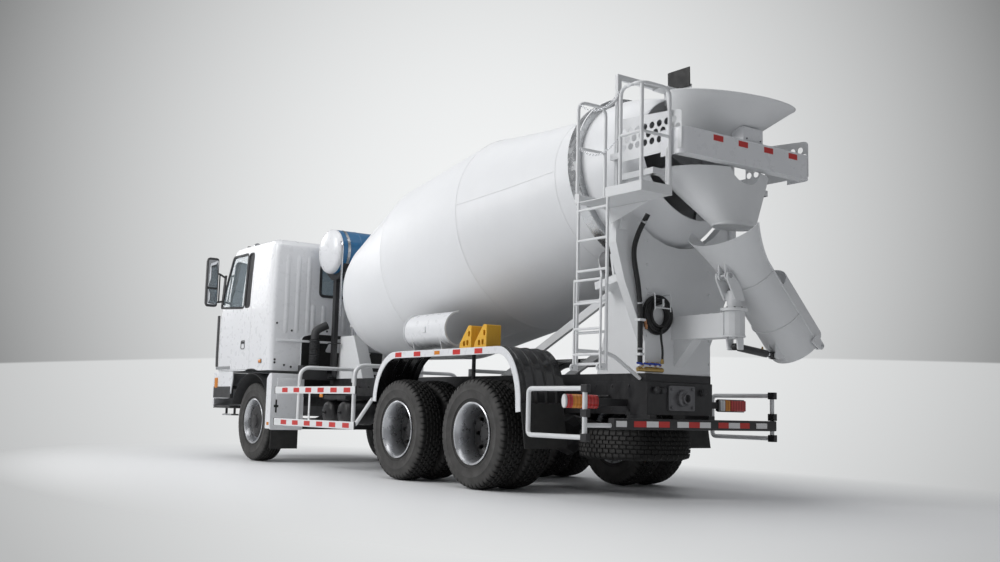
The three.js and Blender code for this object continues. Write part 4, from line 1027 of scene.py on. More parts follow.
def dress(made: bpy.types.Object, finish: Finish, body: str, bevel: float = 0.0,
          replaces: Sequence[str] = (), segments: int = 2) -> bpy.types.Object:
    """Gives an object its finish, its rounded edges and the body it rides on.

    Args:
        made: the object.
        finish: what it is finished with.
        body: the frame's body that it moves with.
        bevel: the width of its rounded edges.
        replaces: the frame's nodes that it stands for.
        segments: how many faces round each edge.

    Returns:
        The same object.
    """
    made.data.materials.clear()
    made.data.materials.append(finish.material())
    if bevel:
        modifier = made.modifiers.new("edges", "BEVEL")
        modifier.width, modifier.segments = bevel, segments
        modifier.limit_method, modifier.angle_limit = "ANGLE", math.radians(BEVEL_FROM)
        modifier.use_clamp_overlap = True
    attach(made, body)
    if replaces:
        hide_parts(*replaces)
    log.info("%s", made.name)
    return made


def carved(solid: bpy.types.Object, cutters: Sequence[tuple[Surface, str]]) -> bpy.types.Object:
    """Cuts solids out of a piece, or keeps only what lies in them, and fixes the result.

    Args:
        solid: the object that is cut.
        cutters: each cutting surface, with DIFFERENCE or INTERSECT.

    Returns:
        The same object with its new mesh.
    """
    tools = []
    for number, (surface, kind) in enumerate(cutters):
        tool = keep_object(f"{solid.name}_tool_{number}", mesh_of("tool", surface))
        modifier = solid.modifiers.new("cut", "BOOLEAN")
        modifier.object, modifier.operation, modifier.solver = tool, kind, "EXACT"
        tools.append(tool)
    bpy.context.view_layer.update()
    shown = solid.evaluated_get(bpy.context.evaluated_depsgraph_get())
    mesh = bpy.data.meshes.new_from_object(shown)
    solid.modifiers.clear()
    solid.data = mesh
    mesh.set_sharp_from_angle(angle=math.radians(CREASE))
    for tool in tools:
        bpy.data.objects.remove(tool)
    return solid


def repaint(node: bpy.types.Object, finish: Finish) -> None:
    """Gives a frame node a finish in place of its plain one."""
    node.data.materials.clear()
    node.data.materials.append(finish.material())
    log.info("repainted %s", node.name)


# ---------------------------------------------------------------- hoses


def spots(*stations: Point) -> Array:
    """Points of the frame from points whose second value is a station."""
    return np.asarray(stations, float) + np.array([0.0, FRONT_AXLE, 0.0])


@dataclass
class WashHose:
    """The washing hose: up from its valve, then wound on the hook, its coupling hanging."""

    radius: float = 0.011
    hub: tuple[float, float, float] = (0.300, 6.9403, 1.670)
    inner: float = 0.106
    pitch: float = 0.0226
    steps: int = 32
    exit: tuple[float, float, float] = (0.250, 6.940, 1.2223)

    def rise(self) -> Array:
        """From the valve to the coil: a slack run, then two equal arcs that shift it sideways.

        Returns:
            The points, in the hose's own stations.
        """
        x, y, z = self.hub
        low = curve_through([
            (0.250, y - 0.0003, 1.2223), (0.250, y, 1.245), (0.250, y + 0.002, 1.270),
            (0.252, y + 0.006, 1.320), (0.262, y + 0.012, 1.370), (0.278, y + 0.018, 1.420),
            (0.288, y + 0.022, 1.455), (0.290, y + self.pitch, 1.487)], 26)
        half = math.acos(1 - 0.048 / 0.111)
        t = np.linspace(0, half, 8)[1:, None]
        first = np.hstack([0.290 - 0.111 * (1 - np.cos(t)), 0 * t + y + self.pitch,
                           1.487 + 0.111 * np.sin(t)])
        back = t[::-1][1:]
        second = np.hstack([0.194 + 0.111 * (1 - np.cos(back)), 0 * back + y + self.pitch,
                            1.670 - 0.111 * np.sin(back)])
        return np.concatenate([low, first, second])

    def turns(self) -> Array:
        """The coil: turn k lies at its own radius and layer, and shifts to the next at its end.

        Point (k, a) is hub + (r cos a, layer, r sin a), with a running from pi downwards.

        Returns:
            The points, in the hose's own stations.
        """
        rings = np.array([(0, 1), (0, 0), (0, -1), (1, -1), (1, 0), (2, 0), (2, -1), (3, -1),
                          (3, 0), (3, 0)], float)
        count = int(8.5 * self.steps)
        turn = np.arange(count + 1) / self.steps
        k = np.minimum(turn.astype(int), 8)
        share = smooth_step(turn - k, 0.72, 1.0)[:, None]
        ring = rings[k] * (1 - share) + rings[k + 1] * share
        angle = math.pi - 2 * math.pi * turn
        radius = self.inner + ring[:, 0] * self.pitch
        x, y, z = self.hub
        return np.stack([x + radius * np.cos(angle), y + ring[:, 1] * self.pitch,
                         z + radius * np.sin(angle)], axis=1)

    def tail(self, start: Array) -> Array:
        """The end that hangs from the coil's outer side."""
        t = np.linspace(0, 1, 8)[1:, None]
        return start + np.hstack([-0.006 * t ** 2, 0.004 * t ** 2, -0.085 * t])

    def path(self) -> Array:
        """The hose's whole middle line."""
        low, coil = self.rise(), self.turns()
        line = np.concatenate([low, coil, self.tail(coil[-1])])
        return line + np.array([0.0, FRONT_AXLE, 0.0])

    def build(self) -> None:
        """Makes the hose, its coupling and the ferrule at its foot."""
        path = self.path()
        hose = piece("wash_hose_line", sweep(round_section(self.radius, 12), path, (0, 1, 0)),
                     HOSE, "chassis", replaces=["wash_hose", "wash_hose_coil"])
        end = path[-1]
        down = (path[-1] - path[-2]) / np.linalg.norm(path[-1] - path[-2])
        profile = [(0.0125, -0.03), (0.0145, -0.028), (0.0145, 0.004), (0.012, 0.006),
                   (0.012, 0.014), (0.0175, 0.016), (0.0175, 0.034), (0.013, 0.036),
                   (0.0125, 0.052), (0.009, 0.056)]
        fitting = piece("wash_hose_coupling", lathe(profile, end, down, 20), COPPER, "chassis")
        ends = [lathe([(0.0125, 0.0), (0.016, 0.002), (0.016, 0.030), (0.0135, 0.034),
                       (0.0125, 0.045)], spots(self.exit)[0], (0, 0, 1), 20)]
        piece("wash_hose_ferrule", ends, BRASS, "chassis")
        tuple(spots(self.exit)[0])


@dataclass
class Plumbing:
    """The standpipe, its clamp, the valves and the hook that carries the hose."""

    pipe: tuple[Point, ...] = (
        (0.560, 7.060, 2.560), (0.600, 6.975, 2.380), (0.620, 6.945, 2.200),
        (0.560, 6.940, 1.920), (0.524, 6.934, 1.700), (0.524, 6.934, 1.640),
        (0.524, 6.934, 1.580), (0.524, 6.934, 1.480), (0.524, 6.934, 1.360),
        (0.524, 6.934, 1.2223))

    def valve(self, x: float, size: float) -> tuple[Surface, Surface]:
        """A brass ball valve with its lever.

        Args:
            x: where it stands across the truck.
            size: its body's radius.

        Returns:
            The valve and its lever.
        """
        centre = spots((x, 6.93, 1.205))[0]
        body = merged([lathe([(size * 0.7, -0.03), (size * 0.7, -0.018), (size, -0.014),
                              (size, 0.014), (size * 0.7, 0.018), (size * 0.7, 0.03)],
                             centre, (0, 0, 1), 6),
                       lathe([(size * 0.75, 0.0), (size * 0.75, 0.035), (0.006, 0.037),
                              (0.006, 0.05)], centre, (0, 1, 0), 16)])
        lever = sweep(oblong((-0.009, 0.009), (-0.002, 0.002)),
                      bent([centre + (0, 0.047, 0), centre + (0.03, 0.05, 0.01),
                            centre + (0.095, 0.055, 0.012)], 0.02), (0, 1, 0))
        return body, lever

    def build(self) -> None:
        """Makes them."""
        path = spots(*curve_through(self.pipe, 70))
        piece("standpipe_hose", sweep(round_section(0.0238, 20), path, (0, 1, 0)), HOSE,
              "chassis", replaces=["standpipe"])
        clamps, bright = [], []
        for z in (1.610, 1.300):
            clamps.append(block((0.495, 0.553), (at(6.905), at(6.964)), (z - 0.012, z + 0.012)))
        for index in (3, 28, 62):
            way = path[index + 1] - path[index - 1]
            bright.append(lathe([(0.0245, -0.008), (0.0262, -0.007), (0.0262, 0.007),
                                 (0.0245, 0.008)], path[index], way, 24))
            bright.append(block((path[index][0] - 0.007, path[index][0] + 0.007),
                                (path[index][1] + 0.022, path[index][1] + 0.036),
                                (path[index][2] - 0.006, path[index][2] + 0.006)))
        piece("standpipe_clamps", clamps, STEEL_WHITE, "chassis", 0.004)
        piece("standpipe_bands", bright, STEEL, "chassis")
        hook = tube(spots((0.300, 6.898, 1.748), (0.300, 6.998, 1.748), (0.300, 7.003, 1.775)),
                    0.011, 0.012)
        arms = [tube(spots((0.20 + s * 0.2, 6.900, 1.86), (0.20 + s * 0.2, 6.990, 1.86),
                           (0.20 + s * 0.2, 6.995, 1.80), (0.20 + s * 0.2, 6.995, 1.70)),
                     0.006, 0.01) for s in (0, 1)]
        bar = tube(spots((0.20, 6.993, 1.73), (0.40, 6.993, 1.73)), 0.006)
        piece("hose_hook", [hook, bar, *arms], STEEL_WHITE, "chassis")
        bodies, levers = zip(*[self.valve(x, r) for x, r in ((0.30, 0.020), (0.36, 0.024),
                                                             (0.43, 0.020), (0.52, 0.026))])
        manifold = tube(spots((0.235, 6.93, 1.165), (0.55, 6.93, 1.165)), 0.02)
        risers = [tube(spots((x, 6.93, 1.16), (x, 6.93, 1.185)), 0.014)
                  for x in (0.25, 0.30, 0.36, 0.43, 0.52)]
        piece("water_valves", [*bodies, manifold, *risers], BRASS, "chassis", 0.0015)
        piece("valve_levers", levers, HANDLE_BLUE, "chassis", 0.001)


# ---------------------------------------------------------------- drum


@dataclass
class Drum:
    """The mixing drum on its slanting axis, with its track, blades, drive and rollers."""

    tilt: float = math.radians(10.38)
    axis_height: float = 1.8636
    steps: int = 112
    wall: float = 0.008
    roller_radius: float = 0.119
    roller_angle: float = math.radians(30)
    track_middle: float = 6.465
    rings: tuple[tuple[float, float], ...] = (
        (0.605, 1.594), (0.625, 1.597), (0.648, 1.612), (0.700, 1.660), (0.762, 1.730),
        (0.806, 1.820), (0.838, 1.920), (0.846, 1.950), (0.848, 1.957), (0.866, 2.045),
        (0.985, 2.640), (1.100, 3.225), (1.108, 3.270), (1.112, 3.291), (1.1125, 3.330),
        (1.106, 4.20), (1.1025, 4.790), (1.100, 4.832), (1.094, 4.865), (1.050, 5.030),
        (0.935, 5.520), (0.830, 6.060), (0.816, 6.138), (0.812, 6.170), (0.772, 6.400))
    tail: tuple[tuple[float, float], ...] = (
        (0.798, 6.530), (0.780, 6.700), (0.735, 6.852), (0.688, 6.980), (0.628, 7.118),
        (0.612, 7.146))

    def __post_init__(self) -> None:
        """Works out the axis and the point on it over the front axle."""
        self.axis = np.array([0.0, math.cos(self.tilt), math.sin(self.tilt)])
        self.start = np.array([0.0, at(0), self.axis_height])
        self.up = np.array([0.0, -math.sin(self.tilt), math.cos(self.tilt)])

    def along(self, distance: float) -> Array:
        """The point on the axis at a distance from its start."""
        return self.start + self.axis * distance

    def spoke(self, angle: float) -> Array:
        """The unit vector square to the axis at an angle, from +X towards up."""
        return np.array([1.0, 0.0, 0.0]) * math.cos(angle) + self.up * math.sin(angle)

    def spokes(self, angle: Array) -> Array:
        """The same for many angles at once, one row for each."""
        return np.cos(angle)[:, None] * np.array([1.0, 0, 0]) + np.sin(angle)[:, None] * self.up

    def shell(self) -> Surface:
        """The drum's skin: the outline out to the mouth, and back inside by the wall.

        Returns:
            The shell.
        """
        outer = list(self.rings) + list(self.tail)
        rolled = [(0.606, 7.150), (0.600, 7.146)]
        inner = [(r - self.wall, s) for r, s in outer[::-1]]
        inner[0] = (0.600, 7.136)
        inner[-1] = (0.0, 1.602)
        return lathe([(0.0, 1.592)] + outer + rolled + inner, self.start, self.axis, self.steps)

    def track(self) -> Surface:
        """The rolled track the rollers carry, with a groove at each flank.

        Returns:
            The ring.
        """
        ring = [(0.775, 6.402), (0.845, 6.402), (0.852, 6.400), (0.866, 6.400), (0.8715, 6.406),
                (0.8718, 6.420), (0.8718, 6.510), (0.8715, 6.524), (0.866, 6.530), (0.852, 6.530),
                (0.845, 6.528), (0.775, 6.528)]
        return lathe(ring, self.start, self.axis, 144, closed=True)

    def seams(self) -> Surface:
        """Weld beads round the shell where its rolled plates meet.

        Returns:
            All the beads.
        """
        beads = []
        for radius, s in ((0.8475, 1.957), (1.1125, 3.291), (1.1005, 4.832), (0.8165, 6.138)):
            angle = circle(8)
            section = [(radius + 0.0026 * math.cos(a), s + 0.0075 * math.sin(a)) for a in angle]
            beads.append(lathe(section, self.start, self.axis, self.steps, closed=True))
        return merged(beads + [self.long_seam(*ends) for ends in (
            (1.975, 3.280, 0.5), (3.302, 4.822, 1.75), (4.842, 6.128, 0.15),
            (1.975, 3.280, 0.5 + math.pi), (3.302, 4.822, 1.75 + math.pi),
            (4.842, 6.128, 0.15 + math.pi))])

    def radius_at(self, s: Array) -> Array:
        """The skin's radius at a distance along the axis."""
        line = np.array(self.rings)
        return np.interp(s, line[:, 1], line[:, 0])

    def long_seam(self, start: float, end: float, angle: float) -> Surface:
        """A bead along the skin at one angle, where a rolled plate closes.

        Args:
            start: where it begins along the axis.
            end: where it ends.
            angle: its place round the axis.

        Returns:
            The bead.
        """
        s = np.linspace(start, end, 26)
        side = self.spoke(angle)
        path = self.start + s[:, None] * self.axis + (self.radius_at(s) + 0.0005)[:, None] * side
        return sweep(round_section(0.0028, 6), path, side)

    def blade(self, phase: float) -> Surface:
        """One spiral blade inside the mouth.

        Point (s, t) is at angle phase + 2 pi s / pitch, and from radius R(s) inwards by t.

        Args:
            phase: the angle at which it starts.

        Returns:
            The blade.
        """
        s = np.linspace(6.05, 7.10, 60)
        line = np.array(list(self.rings) + list(self.tail))
        outer = np.interp(s, line[:, 1], line[:, 0]) - self.wall * 1.4
        depth = np.interp(s, [6.05, 6.8, 7.10], [0.36, 0.26, 0.14])
        turn = phase + (s - 6.05) / 1.55 * 2 * math.pi
        radial = self.spokes(turn)
        rows = []
        for t in np.linspace(0, 1, 5):
            radius = (outer - depth * t)[:, None]
            rows.append(self.start + s[:, None] * self.axis + radius * radial
                        - 0.05 * math.sin(math.pi * t) * self.axis)
        return skin(np.stack(rows, axis=1), 0.006)

    def drive(self) -> Surface:
        """The drive flange, its stem and its ring of bolts.

        Returns:
            The flange with its bolts.
        """
        profile = [(0.0, 1.470), (0.168, 1.470), (0.170, 1.474), (0.170, 1.496), (0.166, 1.500),
                   (0.118, 1.502), (0.110, 1.512), (0.112, 1.580), (0.150, 1.594)]
        body = lathe(profile, self.start, self.axis, 48)
        places = self.along(1.500) + self.spokes(circle(12)) * 0.142
        return merged([body, bolts(places, self.axis, 0.011, 0.012)])

    def gussets(self) -> Surface:
        """Fins that stiffen the front head round the drive.

        Returns:
            All the fins.
        """
        fins = []
        for angle in circle(8, 0.2):
            side = self.spoke(angle)
            outline = np.array([(0.112, 1.594), (0.112, 1.530), (0.20, 1.560), (0.34, 1.594)])
            across = np.cross(self.axis, side)
            grid = np.stack([self.start + outline[:, :1] * side + outline[:, 1:] * self.axis
                             + across * w for w in (-0.005, 0.005)])
            fins.append(lattice(grid, wrap_v=True, cap_u=True))
        return merged(fins)

    def hatch(self) -> Surface:
        """The manhole cover on the barrel, with its ring of bolts.

        Returns:
            The cover with its bolts.
        """
        angle, s0 = 2.35, 4.25
        side = self.spoke(angle)
        across = np.cross(self.axis, side)
        radius = 1.106
        u = circle(40)
        rows = []
        for reach, rise in ((0.0, 0.010), (0.20, 0.010), (0.262, 0.010), (0.266, 0.004),
                            (0.268, -0.012)):
            a = reach * np.cos(u) * 0.9 / radius
            s = s0 + reach * np.sin(u) * 0.72
            ring = self.start + s[:, None] * self.axis + (radius + rise) * (
                np.cos(a)[:, None] * side + np.sin(a)[:, None] * across)
            rows.append(ring)
        plate = loft(rows)
        a = 0.235 * np.cos(circle(14)) * 0.9 / radius
        s = s0 + 0.235 * np.sin(circle(14)) * 0.72
        places = self.start + s[:, None] * self.axis + (radius + 0.010) * (
            np.cos(a)[:, None] * side + np.sin(a)[:, None] * across)
        return merged([plate, bolts(places, side, 0.012, 0.012)])

    def roller(self, side: str, out: int) -> None:
        """One track roller: a crowned wheel with grease caps.

        Args:
            side: left or right, for the names.
            out: 1 on the left side, -1 on the right.
        """
        reach = 0.872 + 0.120
        place = self.along(self.track_middle) + np.array([1.0, 0, 0]) * out * reach * math.sin(
            self.roller_angle) - self.up * reach * math.cos(self.roller_angle)
        profile = [(0.0, -0.066), (0.030, -0.066), (0.032, -0.052), (0.062, -0.050),
                   (0.066, -0.040), (0.100, -0.040), (0.104, -0.052), (0.113, -0.052),
                   (0.1185, -0.046), (self.roller_radius, -0.02), (self.roller_radius, 0.02),
                   (0.1185, 0.046), (0.113, 0.052), (0.104, 0.052), (0.100, 0.040),
                   (0.066, 0.040), (0.062, 0.050), (0.032, 0.052), (0.030, 0.066), (0.0, 0.066)]
        piece(f"roller_steel_{side}", lathe(profile, place, self.axis, 56), CAST,
              f"roller_{side}", replaces=[f"roller_{side}"])

    def build(self) -> None:
        """Makes the drum and its rollers."""
        piece("drum_shell", self.shell(), DRUM_WHITE, "drum", replaces=["drum"], crease=22)
        piece("drum_track", self.track(), STEEL, "drum")
        piece("drum_seams", self.seams(), DRUM_WHITE, "drum", crease=80)
        piece("drum_blades", [self.blade(0.3), self.blade(0.3 + math.pi)], CEMENT_WHITE, "drum")
        piece("drum_drive", self.drive(), IRON, "drum")
        piece("drum_gussets", self.gussets(), DRUM_WHITE, "drum")
        piece("drum_hatch", self.hatch(), DRUM_WHITE, "drum")
        for out, side in SIDES:
            self.roller(side, out)


# ---------------------------------------------------------------- wheels


@dataclass
class Tyre:
    """A truck tyre: a rounded carcass with ribs, and cross grooves that part them into blocks."""

    radius: float = 0.538
    half_width: float = 0.146
    bead: float = 0.291
    pitches: int = 50
    groove_depth: float = 0.016
    cross_depth: float = 0.013
    ribs: tuple[float, ...] = (0.0, 0.038, 0.080)
    groove_half: float = 0.0055
    zigzag: float = 0.0

    def _across(self) -> tuple[Array, Array, Array, Array]:
        """Half of the section, from the crown to the bead.

        Returns:
            distance from the middle, radius, how much of the cross groove is cut, and which
            way the rib's blocks are shifted round the tyre.
        """
        g = self.groove_half
        x, r, cut, shift = [], [], [], []
        edges = list(self.ribs) + [0.118]
        for number, (start, end) in enumerate(zip(edges[:-1], edges[1:])):
            low = self.groove_depth
            x += [start, start + g * 0.6, start + g, (start + end) / 2, end - g, end - g * 0.6]
            r += [low, low, 0.0, 0.0, 0.0, low] if number < len(edges) - 2 else \
                 [low, low, 0.0, 0.0, 0.0, 0.002]
            cut += [0.0, 0.0, 1.0, 1.0, 1.0, 0.0] if number < len(edges) - 2 else \
                   [0.0, 0.0, 1.0, 1.0, 1.0, 1.0]
            shift += [float(number)] * 6
        x_tread, drop = np.array(x), np.array(r)
        crown = self.radius - 0.012 * (x_tread / 0.118) ** 2 - drop
        walls = np.array([(0.126, 0.520), (0.134, 0.500), (0.140, 0.482), (0.1405, 0.480),
                          (0.145, 0.455), (0.147, 0.430), (0.1485, 0.428), (0.1485, 0.420),
                          (0.147, 0.418), (0.144, 0.385), (0.137, 0.350), (0.139, 0.347),
                          (0.139, 0.339), (0.134, 0.336), (0.126, 0.312), (0.118, 0.300),
                          (0.112, self.bead)])
        walls[:, 0] *= self.half_width / 0.1485
        across = np.concatenate([x_tread, walls[:, 0]])
        radius = np.concatenate([crown, walls[:, 1]])
        wall_cut = np.zeros(len(walls))
        wall_cut[:3] = (1.0, 0.8, 0.0)
        return (across, radius, np.concatenate([cut, wall_cut]),
                np.concatenate([shift, np.full(len(walls), float(len(edges) - 2))]))

    def surface(self, centre: Point) -> Surface:
        """The tyre about a centre, its axis along X.

        Point (i, j) lies at angle_i + shift_j and at radius_j less the cross groove's depth
        where angle_i is inside a cross groove.

        Args:
            centre: the middle of the tyre.

        Returns:
            The tyre.
        """
        across, radius, cut, shift = self._across()
        side = across[::-1]
        x = np.concatenate([-side[:-1], across])
        r = np.concatenate([radius[::-1][:-1], radius])
        c = np.concatenate([cut[::-1][:-1], cut])
        s = np.concatenate([-shift[::-1][:-1] - 1, shift])
        liner_x = np.array([0.085, 0.115, 0.125, 0.0, -0.125, -0.115, -0.085])
        liner_r = np.array([0.295, 0.33, 0.42, 0.50, 0.42, 0.33, 0.295])
        x = np.concatenate([x, liner_x])
        r = np.concatenate([r, liner_r])
        c = np.concatenate([c, np.zeros(7)])
        s = np.concatenate([s, np.full(7, s[-1])])
        parts = np.array([0.0, 0.035, 0.215, 0.25, 0.60])
        inside = np.array([0.0, 1.0, 1.0, 0.0, 0.0])
        pitch = 2 * math.pi / self.pitches
        angle = ((np.arange(self.pitches)[:, None] + parts) * pitch).reshape(-1)
        depth = np.tile(inside, self.pitches)
        wave = self.zigzag * np.sin(angle * self.pitches)[:, None]
        turn = angle[:, None] + (s * 0.5 * pitch)[None, :]
        reach = r[None, :] - self.cross_depth * depth[:, None] * c[None, :]
        shifted = x[None, :] + wave * (np.abs(x) < 0.1)[None, :] * (c > 0)[None, :]
        grid = np.stack([shifted + 0 * turn, reach * np.cos(turn), reach * np.sin(turn)], axis=2)
        return lattice(grid, wrap_u=True, wrap_v=True).moved(centre)


@dataclass
class Rim:
    """A steel rim with its disc. out is +1 where the wheel's outer face looks along +X."""

    out: int
    face: Sequence[Point]
    holes: int = 10
    hole_middle: float = 0.2285
    hole_radius: float = 0.0235
    band_inner: float = 0.2
    band_outer: float = 0.262

    def barrel(self) -> Surface:
        """The rim's barrel: a drop centre between two rolled flanges.

        Returns:
            The barrel.
        """
        loop = [(0.286, 0.116), (0.297, 0.120), (0.305, 0.127), (0.306, 0.133), (0.300, 0.137),
                (0.290, 0.134), (0.279, 0.120), (0.270, 0.085), (0.262, 0.06), (0.256, 0.02),
                (0.256, -0.06), (0.266, -0.100), (0.279, -0.120), (0.290, -0.134),
                (0.300, -0.137), (0.305, -0.128), (0.297, -0.120), (0.286, -0.116),
                (0.275, -0.10), (0.264, -0.06), (0.264, 0.02), (0.271, 0.06), (0.279, 0.085)]
        return lathe(loop, (0, 0, 0), (self.out, 0, 0), 72, closed=True)

    def depth(self, radius: Array) -> Array:
        """How far out the disc's face is at a radius."""
        line = np.asarray(self.face, float)
        order = np.argsort(line[:, 0])
        return np.interp(radius, line[order, 0], line[order, 1])

    def disc(self) -> Surface:
        """The disc: a turned middle, and a ring of cells with a round hole in each.

        Returns:
            The disc.
        """
        line = [(r, x) for r, x in self.face if r <= self.band_inner + 1e-6]
        back = [(r, x - 0.012) for r, x in line[::-1]]
        middle = lathe(line + back, (0, 0, 0), (self.out, 0, 0), 60, closed=True)
        sector = math.pi / self.holes
        ring = np.stack([np.full(self.holes, (self.band_inner + self.band_outer) / 2),
                         circle(self.holes)], axis=1)
        half = ((self.band_outer - self.band_inner) / 2, sector)
        hole = (self.hole_radius, self.hole_radius / self.hole_middle)

        def carry(flat: Array, inset: float) -> Array:
            """Radius and angle to a point of the disc, inset behind its face."""
            r, a = flat[..., 0], flat[..., 1]
            x = (self.depth(r) - inset) * self.out
            return np.stack([x, r * np.cos(a), r * np.sin(a)], axis=-1)

        return merged([middle, pierced(ring, half, hole, lambda f: carry(f, 0.0),
                                       lambda f: carry(f, 0.012))])


FRONT_FACE = ((0.088, 0.050), (0.185, 0.050), (0.196, 0.053), (0.200, 0.050), (0.215, 0.040),
              (0.235, 0.025), (0.255, 0.005), (0.262, -0.005))
REAR_FACE = ((0.10, -0.150), (0.19, -0.150), (0.198, -0.149), (0.200, -0.148), (0.215, -0.142),
             (0.235, -0.128), (0.255, -0.108), (0.262, -0.095))


@dataclass
class Wheels:
    """Every wheel: two steered singles, four twins and the spare."""

    nut_circle: float = 0.1675
    nut_count: int = 10
    front_x: float = 1.025
    twin_x: float = 0.930
    twin_half: float = 0.170
    rear_stations: tuple[float, float] = (3.930, 5.330)
    front_tyre: Tyre = field(default_factory=lambda: Tyre(
        pitches=58, cross_depth=0.004, zigzag=0.0025, groove_depth=0.014))
    rear_tyre: Tyre = field(default_factory=Tyre)

    def ring(self, radius: float, count: int, x: float, out: int) -> Array:
        """Points evenly spaced on a circle about the wheel's axis."""
        angle = circle(count, 0.31)
        return np.stack([np.full(count, x * out), radius * np.cos(angle),
                         radius * np.sin(angle)], axis=1)

    def nuts(self, x: float, out: int) -> Surface:
        """Wheel nuts on their studs, with a flange under each.

        Args:
            x: how far out they stand.
            out: 1 on the left side, -1 on the right.

        Returns:
            All the nuts.
        """
        places = self.ring(self.nut_circle, self.nut_count, x, out)
        axis = (out, 0, 0)
        return merged([bolts(places, axis, 0.0205, 0.005, 16), bolts(places, axis, 0.0165, 0.027),
                       bolts(places, axis, 0.009, 0.040, 10)])

    def front_hub(self, out: int) -> Surface:
        """The steered hub: a stepped boss with a bolted cap.

        Args:
            out: 1 on the left side, -1 on the right.

        Returns:
            The hub.
        """
        profile = [(0.135, 0.02), (0.135, 0.052), (0.118, 0.060), (0.108, 0.090), (0.100, 0.098),
                   (0.082, 0.100), (0.078, 0.118), (0.066, 0.124), (0.02, 0.126)]
        cap = self.ring(0.090, 8, 0.098, out)
        return merged([lathe(profile, (0, 0, 0), (out, 0, 0), 48),
                       bolts(cap, (out, 0, 0), 0.007, 0.008)])

    def rear_hub(self, out: int) -> Surface:
        """The driven hub: a drum with the axle flange and its studs.

        Args:
            out: 1 on the left side, -1 on the right.

        Returns:
            The hub.
        """
        profile = [(0.145, -0.20), (0.145, -0.146), (0.128, -0.136), (0.122, -0.09),
                   (0.126, -0.082), (0.126, -0.066), (0.112, -0.060), (0.098, -0.058),
                   (0.060, -0.054), (0.052, -0.036), (0.02, -0.034)]
        studs = self.ring(0.112, 12, -0.062, out)
        return merged([lathe(profile, (0, 0, 0), (out, 0, 0), 48),
                       bolts(studs, (out, 0, 0), 0.0075, 0.012)])

    def brake_drum(self, out: int, x: float) -> Surface:
        """The brake drum and backing plate behind a wheel."""
        profile = [(0.215, x - 0.09), (0.222, x - 0.085), (0.222, x + 0.085), (0.205, x + 0.10),
                   (0.15, x + 0.11)]
        return lathe(profile, (0, 0, 0), (out, 0, 0), 48)

    def front(self, side: str, out: int) -> None:
        """One steered wheel.

        Args:
            side: left or right, for the names.
            out: 1 on the left side, -1 on the right.
        """
        centre = (self.front_x * out, at(0), AXLE_HEIGHT)
        body = f"front_wheel_{side}"
        piece(f"front_tyre_rubber_{side}", self.front_tyre.surface(centre), TREAD, body,
              replaces=[f"front_tyre_{side}"], crease=50)
        rim = Rim(out, FRONT_FACE)
        piece(f"front_rim_steel_{side}", merged([rim.barrel(), rim.disc()]).moved(centre), SILVER,
              body, replaces=[f"front_rim_{side}"])
        piece(f"front_hub_{side}", self.front_hub(out).moved(centre), IRON, body)
        piece(f"front_nuts_{side}", self.nuts(0.050, out).moved(centre), IRON, body)
        piece(f"front_brake_{side}", self.brake_drum(out, -0.02).moved(centre), IRON, body)

    def twin(self, number: int, side: str, out: int) -> None:
        """One pair of driven wheels.

        Args:
            number: 1 for the first axle of the bogie, 2 for the last.
            side: left or right, for the names.
            out: 1 on the left side, -1 on the right.
        """
        station = self.rear_stations[number - 1]
        name = f"rear_{number}_{side}"
        body = f"rear_wheel_{number}_{side}"
        outer = ((self.twin_x + self.twin_half) * out, at(station), AXLE_HEIGHT)
        inner = ((self.twin_x - self.twin_half) * out, at(station), AXLE_HEIGHT)
        piece(f"{name}_outer_rubber", self.rear_tyre.surface(outer), TREAD, body,
              replaces=[f"{body}_outer_tyre"], crease=50)
        piece(f"{name}_inner_rubber", self.rear_tyre.surface(inner), TREAD, body,
              replaces=[f"{body}_inner"], crease=50)
        rim = Rim(out, REAR_FACE)
        piece(f"{name}_outer_rim", rim.barrel().moved(outer), SILVER, body)
        piece(f"{name}_outer_disc", rim.disc().moved(outer), IRON, body)
        facing = Rim(-out, REAR_FACE)
        piece(f"{name}_inner_rim", merged([facing.barrel(), facing.disc()]).moved(inner), SILVER,
              body)
        piece(f"{name}_hub", self.rear_hub(out).moved(outer), IRON, body)
        piece(f"{name}_nuts", self.nuts(-0.150, out).moved(outer), IRON, body)
        piece(f"{name}_brake", self.brake_drum(out, 0.0).moved(inner), IRON, body)

    def spare(self) -> None:
        """The spare, flat under the tail, its outer face down."""
        low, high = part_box("spare_wheel")
        centre = (low + high) / 2
        upright = np.array([[0, 0, 1], [0, 1, 0], [-1, 0, 0]], float)
        middle = (centre[0], centre[1], low[2] + 0.15)
        rim = Rim(1, REAR_FACE)
        piece("spare_rubber", self.rear_tyre.surface((0, 0, 0)).turned(upright).moved(middle),
              TREAD, "chassis", replaces=["spare_wheel"], crease=50)
        piece("spare_rim", merged([rim.barrel(), rim.disc()]).turned(upright).moved(middle),
              SILVER, "chassis")
        carrier = lathe([(0.11, 0.02), (0.11, 0.03), (0.035, 0.04), (0.035, 0.15)], (0, 0, 0),
                        (0, 0, 1), 24).moved((centre[0], centre[1], low[2] + 0.15))
        piece("spare_carrier", carrier, BLACK, "chassis")

    def build(self) -> None:
        """Makes all of them."""
        for out, side in SIDES:
            self.front(side, out)
            for number in (1, 2):
                self.twin(number, side, out)
        self.spare()


# ---------------------------------------------------------------- cab


